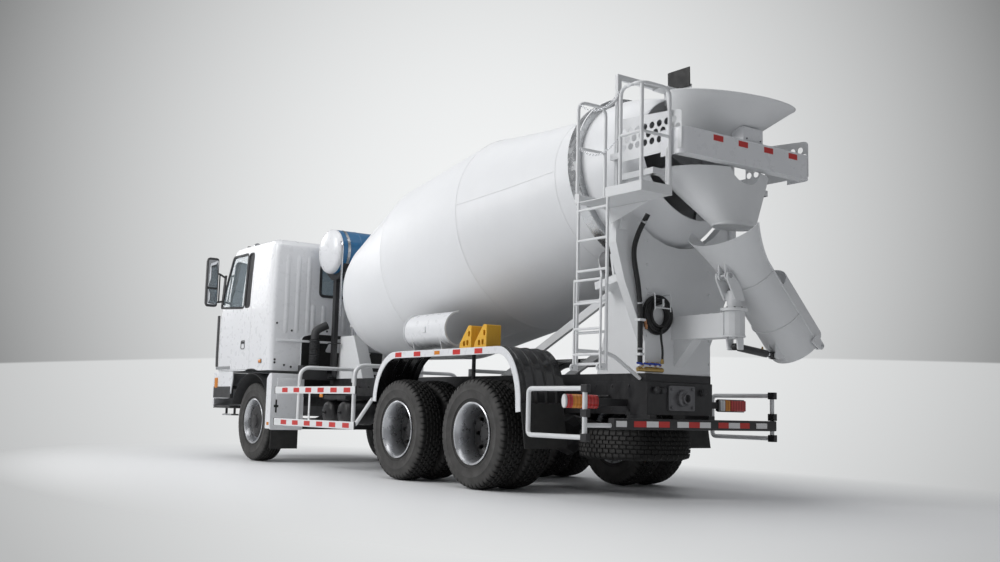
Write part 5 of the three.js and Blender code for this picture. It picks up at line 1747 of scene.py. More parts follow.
@dataclass
class CabBody:
    """The cab's skin as plan outlines over height, and the pieces cut from it."""

    half: float = 1.237
    top: float = 3.024
    bottom: float = 1.224
    wall: float = 0.020
    roof_radius: float = 0.085
    front_radius: float = 0.20
    rear_radius: float = 0.075
    bow: float = 0.055
    door_outline: tuple[Point, ...] = ((-1.250, 1.243), (-0.072, 1.243), (-0.072, 2.946),
                                       (-0.905, 2.946), (-1.250, 2.130))
    door_window: tuple[Point, ...] = ((-1.165, 2.165), (-0.335, 2.120), (-0.335, 2.880),
                                      (-0.862, 2.880))
    quarter: tuple[Point, ...] = ((-0.295, 2.118), (-0.135, 2.120), (-0.135, 2.880),
                                  (-0.295, 2.880))

    def half_at(self, z: Array) -> Array:
        """Half the cab's width at a height: straight below the glass, leaning in above."""
        z = np.asarray(z, float)
        lean = 0.042 * np.clip((z - 2.10) / 0.85, 0, 1) ** 1.4
        return self.half - lean - 0.006 * smooth_step(z, 1.45, 1.22)

    def front_at(self, z: Array) -> Array:
        """The station of the front face's middle at a height."""
        knots = np.array([(1.20, -1.372), (1.60, -1.378), (1.90, -1.378), (2.03, -1.350),
                          (2.12, -1.316), (2.50, -1.172), (2.88, -1.026), (3.03, -0.968)])
        return np.interp(z, knots[:, 0], knots[:, 1])

    def rear_at(self, z: Array) -> Array:
        """The station of the rear face at a height."""
        return 0.598 - 0.055 * smooth_step(z, 2.90, 3.04)

    def side_point(self, y: Array, z: Array, inset: float = 0.0) -> Array:
        """A point of the left side's face at a station and a height, inset into the cab."""
        x = self.half_at(z) - inset
        return np.stack([x + 0 * y, np.asarray(y) + FRONT_AXLE, z + 0 * y], axis=-1)

    def front_point(self, x: Array, z: Array, inset: float = 0.0) -> Array:
        """A point of the front face at a distance from the middle, inset into the cab."""
        y = self.front_at(z) + self.bow * (np.asarray(x) / self.half) ** 2 + inset
        return np.stack([x + 0 * z, y + FRONT_AXLE, z + 0 * x], axis=-1)

    def plan(self, z: Array, inset: Array, shrink: Array) -> Array:
        """Plan outlines, one for each height.

        An outline is four quarter circles of radius r joined by straight runs, each point
        sign * (half - r) + r * (cos a, sin a), with the front run bowed by bow * (x / half)^2.

        Args:
            z: heights.
            inset: how far in each outline lies, as a wall's thickness.
            shrink: how far in each outline lies for the roof's rounding.

        Returns:
            Points, heights by outline points by 3.
        """
        z, inset, shrink = (np.asarray(v, float)[:, None] for v in (z, inset, shrink))
        half = self.half_at(z) - inset - shrink
        front = self.front_at(z) + inset + shrink * 0.8
        rear = self.rear_at(z) - inset - shrink * 0.8
        r_f = np.maximum(self.front_radius - inset, 0.02)
        r_r = np.maximum(self.rear_radius - inset, 0.02)
        quarter = np.linspace(0, math.pi / 2, 9)
        runs = []
        for sx, sy, r, start in ((1, 1, r_r, 0.0), (-1, 1, r_r, math.pi / 2),
                                 (-1, -1, r_f, math.pi), (1, -1, r_f, 1.5 * math.pi)):
            edge = rear if sy > 0 else front
            a = start + quarter
            runs.append(np.stack([sx * (half - r) + r * np.cos(a),
                                  edge - sy * r + r * np.sin(a)], axis=2))
        whole = []
        for k, run in enumerate(runs):
            following = runs[(k + 1) % 4]
            t = np.linspace(0, 1, 16)[1:-1][None, :, None]
            whole += [run, run[:, -1:] * (1 - t) + following[:, :1] * t]
        flat = np.concatenate(whole, axis=1)
        x, y = flat[..., 0], flat[..., 1]
        near_front = smooth_step(y, 0.0, -0.9)
        y = y + self.bow * near_front * (x / self.half) ** 2
        return np.stack([x, y + FRONT_AXLE, z + 0 * x], axis=2)

    def shell(self) -> Surface:
        """The closed skin, hollow inside.

        Returns:
            The shell.
        """
        low = np.array([self.bottom, 1.30, 1.45, 1.60, 1.80, 1.92, 2.00, 2.08, 2.16, 2.35, 2.55,
                        2.75, 2.87])
        a = np.linspace(0, math.pi / 2, 8)
        edge = self.top - 0.012 - self.roof_radius * (1 - np.sin(a))
        bend = self.roof_radius * (1 - np.cos(a))
        z = np.concatenate([low, edge])
        shrink = np.concatenate([0 * low, bend])
        outer = self.plan(z, 0 * z, shrink)
        rings = [outer]
        for share, rise in ((0.85, 0.004), (0.6, 0.009), (0.3, 0.011), (0.06, 0.012)):
            last = outer[-1].copy()
            middle = np.array([0.0, last[:, 1].mean(), 0.0])
            last[:, :2] = middle[:2] + (last[:, :2] - middle[:2]) * share
            last[:, 2] = self.top - 0.012 + rise
            rings.append(last[None])
        outside = np.concatenate(rings)
        inner_z = np.concatenate([[self.bottom + self.wall], low[1:], edge[:5] - 0.004])
        inner = self.plan(inner_z, np.full(len(inner_z), self.wall),
                          np.concatenate([0 * low, bend[:5]]))
        grid = np.concatenate([outside[::-1], inner])
        return lattice(np.swapaxes(grid, 0, 1), wrap_u=True, cap_v=True)

    def side_prism(self, outline: Sequence[Point], radius: float, side: int = LEFT) -> Surface:
        """A rounded outline over station and height, carried across one side's wall."""
        flat = rounded(outline, radius, 6) + np.array([FRONT_AXLE, 0.0])
        low, high = (0.9, 1.4) if side > 0 else (-1.4, -0.9)
        return prism(flat, Axis.X, low, high)

    def pane(self, outline: Sequence[Point], inset: float, thickness: float = 0.005) -> Surface:
        """A pane on the left side, filling a rounded outline.

        Point (s, a) is middle + s * (outline_a - middle), carried onto the side's face.

        Args:
            outline: its corners over station and height.
            inset: how far it lies inside the face.
            thickness: how thick it is.

        Returns:
            The pane.
        """
        flat = rounded(outline, 0.05, 6)
        middle = flat.mean(axis=0)
        s = np.linspace(0.02, 1, 7)[:, None, None]
        spread = middle + s * (flat - middle)
        outer = self.side_point(spread[..., 0], spread[..., 1], inset)
        inner = self.side_point(spread[..., 0], spread[..., 1], inset + thickness)
        grid = np.concatenate([outer, inner[::-1]])
        return lattice(grid, wrap_v=True, cap_u=True)

    def seal(self, outline: Sequence[Point], width: float, out: float,
             inset: float) -> Surface:
        """A rubber frame round an opening in the left side, lapping its edge.

        Args:
            outline: its corners over station and height.
            width: how far it reaches into the opening.
            out: how far it laps over the edge.
            inset: how deep it goes.

        Returns:
            The frame.
        """
        flat = rounded(outline, 0.05, 6)
        square = away_from(flat)
        rows = []
        for across, deep in ((out, 0.0), (out, -0.004), (out * 0.4, -0.006), (-width, -0.004),
                             (-width, inset), (0.0, inset), (0.0, 0.001)):
            line = flat + square * across
            rows.append(self.side_point(line[:, 0], line[:, 1], deep))
        return lattice(np.stack(rows), wrap_u=True, wrap_v=True)


@dataclass
class Cab:
    """The tilting cab: its skin, doors, glass, roof gear, front and what is inside."""

    skin: CabBody = field(default_factory=CabBody)
    screen: tuple[Point, ...] = ((-1.085, 2.150), (1.085, 2.150), (1.045, 2.890), (-1.045, 2.890))
    rear_window: tuple[Point, ...] = ((-0.52, 2.28), (0.52, 2.28), (0.52, 2.70), (-0.52, 2.70))

    def raw(self, name: str) -> bpy.types.Object:
        """The uncut skin as an object, for cutting."""
        return keep_object(name, mesh_of(name, self.skin.shell()))

    def arch(self, grow: float = 0.0) -> Surface:
        """What the front wheels' arches take out of the cab's sides."""
        flat = arc((0, 0.545), 0.712 + grow, 0, 180, 24)
        return merged([side_shape(flat, (0.70, 1.4)), side_shape(flat, (-1.4, -0.70))])

    def shell(self) -> None:
        """The cab without its doors and windows."""
        grown = [(y + (0.004 if y > -0.5 else -0.004), z + (0.004 if z > 2 else -0.004))
                 for y, z in self.skin.door_outline]
        window = rounded(self.rear_window, 0.05)
        screen = rounded(self.screen, 0.06)
        cutters = [(self.skin.side_prism(grown, 0.045, side), "DIFFERENCE") for side in (1, -1)]
        cutters += [
            (prism(window, Axis.Y, at(0.45), at(0.75)), "DIFFERENCE"),
            (prism(screen, Axis.Y, at(-1.6), at(-0.90)), "DIFFERENCE"),
            (prism(rounded(oblong((-0.33, 0.33), (1.10, 1.62)), 0.08),
                   Axis.Y, at(0.45), at(0.75)), "DIFFERENCE"),
            (self.arch(), "DIFFERENCE")]
        made = carved(self.raw("cab_skin"), cutters)
        dress(made, WHITE, "cab", 0.0022, ["cab_shell"])

    def doors(self) -> None:
        """Both doors, each with its glass, seals, handle and lower trim."""
        for out, side in SIDES:
            body = f"door_{side}"
            window = self.skin.side_prism(self.skin.door_window, 0.05, out)
            quarter = self.skin.side_prism(self.skin.quarter, 0.03, out)
            made = carved(self.raw(f"{body}_panel"), [
                (self.skin.side_prism(self.skin.door_outline, 0.045, out), "INTERSECT"),
                (window, "DIFFERENCE"), (quarter, "DIFFERENCE"),
                (self.arch(0.004), "DIFFERENCE")])
            dress(made, WHITE, body, 0.0025, [body])
            piece(f"{body}_glass", pair(self.skin.pane(self.skin.door_window, 0.010), out), PANE,
                  body)
            piece(f"{body}_quarter", pair(self.skin.pane(self.skin.quarter, 0.008), out), TRIM,
                  body)
            piece(f"{body}_seals", pair(merged([
                self.skin.seal(self.skin.door_window, 0.010, 0.022, 0.018),
                self.skin.seal(self.skin.quarter, 0.006, 0.014, 0.016)]), out), TRIM, body)
            piece(f"{body}_handle", pair(self.handle(), out), TRIM, body, 0.003)
            piece(f"{body}_lower_trim", pair(self.lower_trim(), out), GREY_TRIM, body, 0.003)

    def handle(self) -> Surface:
        """The recessed pull of the left door: a cupped plate with a bar across it.

        Returns:
            The plate and its bar.
        """
        y, z = -0.300, 1.590
        plate = rounded(oblong((y - 0.068, y + 0.062), (z - 0.062, z + 0.062)), 0.03, 6)
        rows = []
        for share, deep in ((1.0, 0.002), (1.0, -0.006), (0.86, -0.007), (0.78, 0.004),
                            (0.55, 0.012), (0.2, 0.014)):
            line = drawn_in(plate, share)
            rows.append(self.skin.side_point(line[:, 0], line[:, 1], deep))
        cup = loft(rows)
        x = float(self.skin.half_at(np.array(z)))
        path = [(x - 0.004, at(y - 0.055), z + 0.030), (x + 0.012, at(y - 0.040), z + 0.030),
                (x + 0.013, at(y + 0.030), z + 0.030), (x - 0.004, at(y + 0.048), z + 0.030)]
        bar = sweep(oblong((-0.014, 0.014), (-0.004, 0.005)), bent(path, 0.015), (1, 0, 0))
        return merged([cup, bar])

    def lower_trim(self) -> Surface:
        """A thin moulded strip along the left door's foot, over the step.

        Returns:
            The strip.
        """
        y = np.linspace(-1.235, -0.735, 20)
        rows = []
        for z, deep in ((1.258, 0.002), (1.258, -0.010), (1.285, -0.013), (1.300, -0.008),
                        (1.300, 0.002)):
            rows.append(self.skin.side_point(y, np.full(20, z), deep))
        return bar_of(rows)

    def glass(self) -> None:
        """The windscreen and the rear window, with their frames."""
        u = np.linspace(-1, 1, 25)[:, None]
        z = np.linspace(2.146, 2.894, 13)[None, :]
        half = np.interp(z, [2.15, 2.89], [1.088, 1.048])
        x = u * half
        grid = self.skin.front_point(x, z + 0 * x, 0.008)
        piece("windscreen_glass", skin(grid, 0.006), PANE, "cab", replaces=["windscreen"])
        frame = rounded(self.screen, 0.06, 6)
        square = away_from(frame)
        rows = []
        for across, deep in ((0.020, 0.001), (0.020, -0.004), (0.004, -0.006), (-0.030, -0.003),
                             (-0.030, 0.014), (0.0, 0.014)):
            line = frame + square * across
            rows.append(self.skin.front_point(line[:, 0], line[:, 1], deep))
        piece("windscreen_seal", lattice(np.stack(rows), wrap_u=True, wrap_v=True), TRIM, "cab")
        flat = rounded(self.rear_window, 0.05, 6)
        pane = prism(flat * [0.99, 1], Axis.Y, at(0.584), at(0.589))
        piece("rear_window_glass", pane, PANE, "cab")
        square = away_from(flat)
        rows = [on_plane(flat + square * across, Axis.Y, at(y)) for across, y in (
            (0.026, 0.597), (0.026, 0.604), (0.010, 0.608), (-0.014, 0.602), (-0.014, 0.580),
            (0.0, 0.580))]
        piece("rear_window_seal", lattice(np.stack(rows), wrap_u=True, wrap_v=True), TRIM, "cab")

    def rear_ribs(self) -> Surface:
        """The rear wall's pressings: crowned upright ribs, and a fold under the window.

        Returns:
            All the pressings.
        """
        ribs = []
        for x, low, high in ((0.70, 1.70, 2.84), (0.86, 1.70, 2.84), (1.02, 1.70, 2.84),
                             (0.62, 1.70, 2.16), (0.30, 1.78, 2.16), (0.46, 1.78, 2.16),
                             (0.14, 1.78, 2.16)):
            for sign in (1, -1):
                ribs.append(self.rib(sign * x, low, high))
        ribs.append(self.rib(0.0, 1.78, 2.16))
        x = np.linspace(-1.14, 1.14, 24)
        rows = [np.stack([x, np.full(24, at(y)), np.full(24, z)], axis=1) for y, z in (
            (0.592, 1.655), (0.606, 1.650), (0.612, 1.632), (0.612, 1.622), (0.592, 1.616))]
        fold = bar_of(rows)
        return merged(ribs + [fold])

    def rib(self, x: float, low: float, high: float) -> Surface:
        """One upright rib of the rear wall: half a cosine across, fading at both ends.

        Args:
            x: where its middle is across the cab.
            low: its foot's height.
            high: its head's height.

        Returns:
            The rib.
        """
        u = np.linspace(-1, 1, 9)[:, None]
        z = np.linspace(low, high, 14)[None, :]
        fade = np.sin(np.clip((z - low) / 0.05, 0, 1) * math.pi / 2) * np.sin(
            np.clip((high - z) / 0.05, 0, 1) * math.pi / 2)
        y = 0.594 + 0.013 * np.cos(u * math.pi / 2) * fade
        outer = np.stack([x + u * 0.045 + 0 * z, at(0) + y, z + 0 * u], axis=2)
        inner = outer.copy()
        inner[..., 1] = at(0.590)
        grid = np.concatenate([outer, inner[:, ::-1]], axis=1)
        return lattice(grid, wrap_v=True, cap_u=True)

    def roof(self) -> None:
        """Twin horns, a low fin of an aerial and the roof hatch."""
        trumpets = []
        for x, y, length in ((0.66, -0.55, 0.52), (0.82, -0.50, 0.42)):
            profile = [(0.010, 0.0), (0.013, 0.04), (0.014, length * 0.4), (0.020, length * 0.7),
                       (0.036, length * 0.9), (0.062, length), (0.060, length + 0.002),
                       (0.034, length * 0.9), (0.017, length * 0.7), (0.008, length * 0.5)]
            trumpets.append(lathe(profile, (x, at(y), 3.085), (0, -1, 0), 28))
            trumpets.append(lathe([(0.026, -0.05), (0.032, -0.045), (0.032, 0.0), (0.012, 0.006)],
                                  (x, at(y), 3.085), (0, -1, 0), 24))
            for along in (0.02, length * 0.72):
                trumpets.append(block((x - 0.01, x + 0.01), (at(y) - along - 0.008,
                                                             at(y) - along + 0.008),
                                      (3.012, 3.076)))
        piece("roof_horns", trumpets, CHROME, "cab")
        flat = rounded(oblong((-0.42, 0.42), (-0.42, 0.12)), 0.06, 6)
        rows = [on_plane(flat * s + np.array([0, at(0)]), Axis.Z, z) for s, z in (
            (1.0, 3.012), (1.0, 3.030), (0.985, 3.036), (0.90, 3.038), (0.86, 3.044),
            (0.1, 3.046))]
        piece("roof_hatch", loft(rows), WHITE, "cab",
              0.002)
        fin = [(0.0, 0.0), (0.11, 0.0), (0.10, 0.030), (0.055, 0.060), (0.035, 0.062)]
        outline = rounded(np.array(fin) + [at(-0.86), 3.010], 0.012, 4)
        piece("roof_aerial", prism(outline, Axis.X, 0.98, 1.02), GLOSS_BLACK, "cab", 0.006)

    def visor(self) -> None:
        """The tinted sun visor over the windscreen, on three brackets."""
        u = np.linspace(-1, 1, 21)[:, None]
        t = np.linspace(0, 1, 6)[None, :]
        x = u * 1.06
        y = -1.03 - 0.15 * t + 0.055 * u ** 2 + 0.012 * np.sin(t * math.pi)
        z = 2.985 - 0.085 * t
        grid = np.stack([x + 0 * t, y + at(0), z + 0 * u], axis=2)
        piece("sun_visor", skin(grid, 0.005), GLOSS_BLACK, "cab")
        arms = [block((x - 0.012, x + 0.012), (at(-1.10), at(-1.0)), (2.93, 2.975))
                for x in (-0.8, 0.0, 0.8)]
        piece("visor_brackets", arms, TRIM, "cab", 0.004)

    def grille(self) -> None:
        """The front: a dark louvred grille, the panel over it and wipers."""
        slats = []
        for z in np.linspace(1.30, 1.84, 7):
            x = np.linspace(-0.92, 0.92, 25)
            rows = []
            for deep, up in ((0.012, -0.022), (-0.010, -0.026), (-0.020, 0.0), (-0.008, 0.024),
                             (0.012, 0.022)):
                rows.append(self.skin.front_point(x, np.full(25, z + up), deep))
            slats.append(bar_of(rows))
        piece("grille_slats", slats, TRIM, "cab", 0.002)
        x = np.linspace(-0.97, 0.97, 25)[:, None]
        z = np.linspace(1.255, 1.885, 9)[None, :]
        grid = self.skin.front_point(x, z + 0 * x, -0.003)
        piece("grille_back", skin(grid, 0.008), GLOSS_BLACK, "cab")
        arms = []
        for x0, x1 in ((-0.75, -0.12), (0.05, 0.68)):
            s = np.linspace(0, 1, 14)
            xs, zs = x0 + (x1 - x0) * s, 2.10 + 0.13 * np.sin(s * 1.2)
            path = self.skin.front_point(xs, zs, -0.022 + 0.0 * xs)
            arms.append(sweep(round_section(0.008, 8), path, (0, -1, 0)))
            blade = self.skin.front_point(xs * 0.98, zs + 0.035, -0.008)
            arms.append(sweep(np.array([(-0.006, -0.012), (0.006, -0.012), (0.003, 0.012),
                                        (-0.003, 0.012)]), blade, (0, -1, 0)))
            arms.append(lathe([(0.018, 0), (0.018, 0.02), (0.012, 0.028)],
                              self.skin.front_point(np.array(x0), np.array(2.09), -0.002),
                              (0, -1, 0), 20))
        piece("wipers", arms, TRIM, "cab")

    def inside(self) -> None:
        """Seats, dashboard, wheel, bunk, lining and floor."""
        lining = []
        floor = block((-1.18, 1.18), (at(-1.20), at(0.56)), (1.250, 1.272))
        dash_line = bent([(-1.30, 1.30), (-1.02, 1.30), (-0.98, 1.72), (-0.93, 1.80),
                          (-0.96, 1.95), (-1.05, 2.055), (-1.26, 2.085), (-1.33, 2.02)], 0.05,
                         looped=True)
        lining.append(side_shape(dash_line, (-1.10, 1.10)))
        hood = bent([(-1.18, 2.05), (-0.98, 2.04), (-0.90, 1.93), (-0.94, 1.92), (-1.02, 2.0)],
                    0.02, looped=True)
        lining.append(prism(hood + [FRONT_AXLE, 0.03], Axis.X, 0.36, 0.88))
        lining.append(floor)
        lining.append(block((-0.33, 0.33), (at(-0.95), at(0.55)), (1.27, 1.52)))
        lining.append(block((-1.12, 1.12), (at(0.24), at(0.56)), (1.27, 1.72)))
        piece("cab_lining", lining, CABIN_GREY, "cab", 0.02, ["cab_interior"], segments=3)
        piece("bunk_mattress", self.cushion((0, at(0.40), 1.765), (1.10, 0.16, 0.055), 3.0),
              CLOTH, "cab")
        for out, side in SIDES:
            self.seat(out * 0.62, side)
        self.steering_wheel()

    def cushion(self, centre: Point, half: Point, power: float = 2.6) -> Surface:
        """A crowned pad: |x/a|^p + |y/b|^p + |z/c|^p = 1, as a grid of two angles.

        Point (u, v) is centre + half * (c(v) c(u), c(v) s(u), s(v)), with c and s the cosine and
        sine raised to 2 / power and given their sign.

        Args:
            centre: its middle.
            half: half its size along each axis.
            power: how square it is.

        Returns:
            The pad.
        """
        def raised(value: Array) -> Array:
            """A value to the power 2 / power, keeping its sign."""
            return np.sign(value) * np.abs(value) ** (2 / power)

        u = circle(44)[:, None]
        v = np.linspace(-math.pi / 2 + 0.06, math.pi / 2 - 0.06, 19)[None, :]
        grid = np.stack([raised(np.cos(v)) * raised(np.cos(u)),
                         raised(np.cos(v)) * raised(np.sin(u)),
                         raised(np.sin(v)) + 0 * u], axis=2) * np.asarray(half)
        return lattice(grid + np.asarray(centre, float), wrap_u=True, cap_v=True)

    def seat(self, x: float, side: str) -> None:
        """One seat: cushion, back with side rolls, headrest and pedestal.

        Args:
            x: where it stands across the truck.
            side: left or right, for the names.
        """
        lean = math.radians(-8)
        turn = np.array([[1, 0, 0], [0, math.cos(lean), -math.sin(lean)],
                         [0, math.sin(lean), math.cos(lean)]])
        pads = [self.cushion((x, at(-0.22), 1.765), (0.235, 0.245, 0.068)),
                self.cushion((x, 0, 0), (0.225, 0.062, 0.34)).turned(turn).moved(
                    (0, at(0.075), 2.13)),
                self.cushion((x, at(0.135), 2.60), (0.125, 0.042, 0.095))]
        for sign in (1, -1):
            pads.append(self.cushion((x + sign * 0.195, at(-0.22), 1.80), (0.045, 0.22, 0.05)))
            pads.append(self.cushion((x + sign * 0.185, 0, 0), (0.045, 0.06, 0.28)).turned(
                turn).moved((0, at(0.045), 2.10)))
        piece(f"seat_{side}", pads, CLOTH, "cab", crease=60)
        base = [block((x - 0.20, x + 0.20), (at(-0.42), at(0.0)), (1.60, 1.69)),
                block((x - 0.15, x + 0.15), (at(-0.38), at(-0.06)), (1.272, 1.60)),
                tube([(x - 0.06, at(0.12), 2.38), (x - 0.06, at(0.135), 2.56)], 0.008),
                tube([(x + 0.06, at(0.12), 2.38), (x + 0.06, at(0.135), 2.56)], 0.008)]
        piece(f"seat_base_{side}", base, CABIN_GREY, "cab", 0.012)

    def steering_wheel(self) -> None:
        """The wheel on its column, on the left."""
        centre = np.array([0.62, at(-0.83), 2.080])
        axis = np.array([0.0, 0.5, 0.866])
        u, v, w = frame_of(axis)
        angle = circle(56)
        path = centre + 0.222 * (np.cos(angle)[:, None] * u + np.sin(angle)[:, None] * v)
        parts = [sweep(round_section(0.014, 12), path, w, looped=True),
                 lathe([(0.07, -0.03), (0.075, -0.01), (0.06, 0.012), (0.02, 0.016)], centre, w,
                       32),
                 tube([centre - w * 0.02, centre - w * 0.26], 0.028)]
        for a in (0.0, 2.1, 4.2):
            way = math.cos(a) * u + math.sin(a) * v
            parts.append(tube([centre - w * 0.008, centre + way * 0.12, centre + way * 0.218],
                              0.013, sides=10))
        piece("steering_wheel", parts, TRIM, "cab")

    def horns_and_lights(self) -> None:
        """Amber markers, corner lamps and headlamps."""
        amber, dark, clear = [], [], []
        x = float(self.skin.half_at(np.array(1.351)))
        amber.append(both_sides(self.lens((x, at(0.298), 1.351), (1, 0, 0), (0.045, 0.022))))
        dark.append(both_sides(self.lens((x - 0.004, at(0.298), 1.351), (1, 0, 0),
                                         (0.052, 0.030))))
        amber.append(both_sides(self.lens((1.238, at(-1.190), 1.066), (1, 0, 0), (0.055, 0.075))))
        clear.append(both_sides(self.lens((0.98, at(-1.3852), 1.075), (0, -1, 0), (0.17, 0.070))))
        dark.append(both_sides(self.lens((0.98, at(-1.3838), 1.075), (0, -1, 0), (0.20, 0.092))))
        for px in (-0.45, 0.0, 0.45):
            amber.append(self.lens((px, at(-0.992), 3.018), (0, -0.5, 0.866), (0.045, 0.018)))
        piece("marker_lamps", amber, LENS_AMBER, "cab")
        piece("lamp_bezels", dark, GLOSS_BLACK, "cab")
        piece("headlamps", clear, LENS_CLEAR, "cab")

    def lens(self, centre: Point, axis: Point, half: Point) -> Surface:
        """A domed, rounded rectangular lens, its longer way level.

        Args:
            centre: its middle.
            axis: the way it faces.
            half: half its width and half its height.

        Returns:
            The lens.
        """
        w = np.asarray(axis, float)
        w = w / np.linalg.norm(w)
        level = np.cross((0, 0, 1), w)
        level = level / np.linalg.norm(level)
        up = np.cross(w, level)
        a, b = half
        flat = rounded(oblong((-a, a), (-b, b)), min(a, b) * 0.5, 5)
        rows = [np.asarray(centre, float) + (flat[:, :1] * level + flat[:, 1:] * up) * s + w * h
                for s, h in ((1.0, -0.012), (1.0, 0.004), (0.94, 0.010), (0.6, 0.0135),
                             (0.1, 0.0145))]
        return loft(rows)

    def mirror(self, side: str, out: int) -> None:
        """One mirror: a tall housing with a large and a small glass on two arms.

        Args:
            side: left or right, for the names.
            out: 1 on the left side, -1 on the right.
        """
        x0, x1 = 1.332, 1.505
        outline = rounded(oblong((x0, x1), (2.165, 2.885)), 0.045, 6)
        rows = [on_plane(drawn_in(outline, s), Axis.Y, at(y)) for s, y in (
            (0.96, -1.088), (1.0, -1.094), (1.0, -1.130), (0.93, -1.165), (0.7, -1.183),
            (0.2, -1.185))]
        shell = loft(rows)
        piece(f"mirror_shell_{side}", pair(shell, out), TRIM, f"door_{side}",
              replaces=[f"mirror_{side}"])
        glasses = []
        for low, high in ((2.20, 2.42), (2.45, 2.85)):
            flat = rounded(oblong((x0 + 0.014, x1 - 0.014), (low, high)), 0.02, 5)
            rows = [on_plane(drawn_in(flat, s), Axis.Y, at(y)) for s, y in (
                (1.0, -1.092), (1.0, -1.0865), (0.97, -1.0855), (0.2, -1.0852))]
            glasses.append(loft(rows))
        piece(f"mirror_glass_{side}", pair(merged(glasses), out), SILVERED, f"door_{side}")
        z_skin = self.skin.half_at(np.array([2.60, 2.30]))
        arms = [tube([(float(z_skin[0]) - 0.002, at(-1.10), 2.60), (1.30, at(-1.135), 2.66),
                      (1.40, at(-1.135), 2.66)], 0.014, 0.03, 12),
                tube([(float(z_skin[1]) - 0.002, at(-1.10), 2.26), (1.30, at(-1.135), 2.24),
                      (1.40, at(-1.135), 2.24)], 0.014, 0.03, 12),
                tube([(1.295, at(-1.135), 2.24), (1.295, at(-1.135), 2.66)], 0.010)]
        flat = rounded([(-1.150, 2.20), (-1.085, 2.20), (-1.060, 2.64), (-1.125, 2.64)], 0.02)
        rows = [self.skin.side_point(flat[:, 0], flat[:, 1], d) for d in (0.003, -0.012)]
        arms.append(loft(rows))
        piece(f"mirror_arms_{side}", pair(merged(arms), out), TRIM, f"door_{side}")

    def deflectors(self) -> Surface:
        """The thin upright fin at each front corner.

        Returns:
            Both fins.
        """
        z = np.linspace(1.30, 2.05, 12)
        rows = []
        for dx, y in ((-0.03, -1.285), (0.0005, -1.275), (0.0005, -1.215), (-0.012, -1.205),
                      (-0.02, -1.24)):
            x = self.skin.half_at(z) + dx
            rows.append(np.stack([x, np.full(12, at(y)), z], axis=1))
        return both_sides(bar_of(rows))

    def build(self) -> None:
        """Makes the whole cab."""
        self.shell()
        self.doors()
        self.glass()
        piece("cab_rear_ribs", self.rear_ribs(), WHITE, "cab")
        self.roof()
        self.visor()
        self.grille()
        self.inside()
        self.horns_and_lights()
        piece("corner_fins", self.deflectors(), TRIM, "cab")
        for out, side in SIDES:
            self.mirror(side, out)


# ---------------------------------------------------------------- chassis and sides


def slab(x: Point, y: Point, z: Point) -> Surface:
    """A box whose y values are stations."""
    return block(x, (at(y[0]), at(y[1])), z)


def side_shape(outline: Sequence[Point], x: Point, radius: float = 0.0) -> Surface:
    """An outline over station and height, carried across the truck from one x to another."""
    flat = rounded(outline, radius) if radius else np.asarray(outline, float)
    return prism(flat + np.array([FRONT_AXLE, 0.0]), Axis.X, *x)


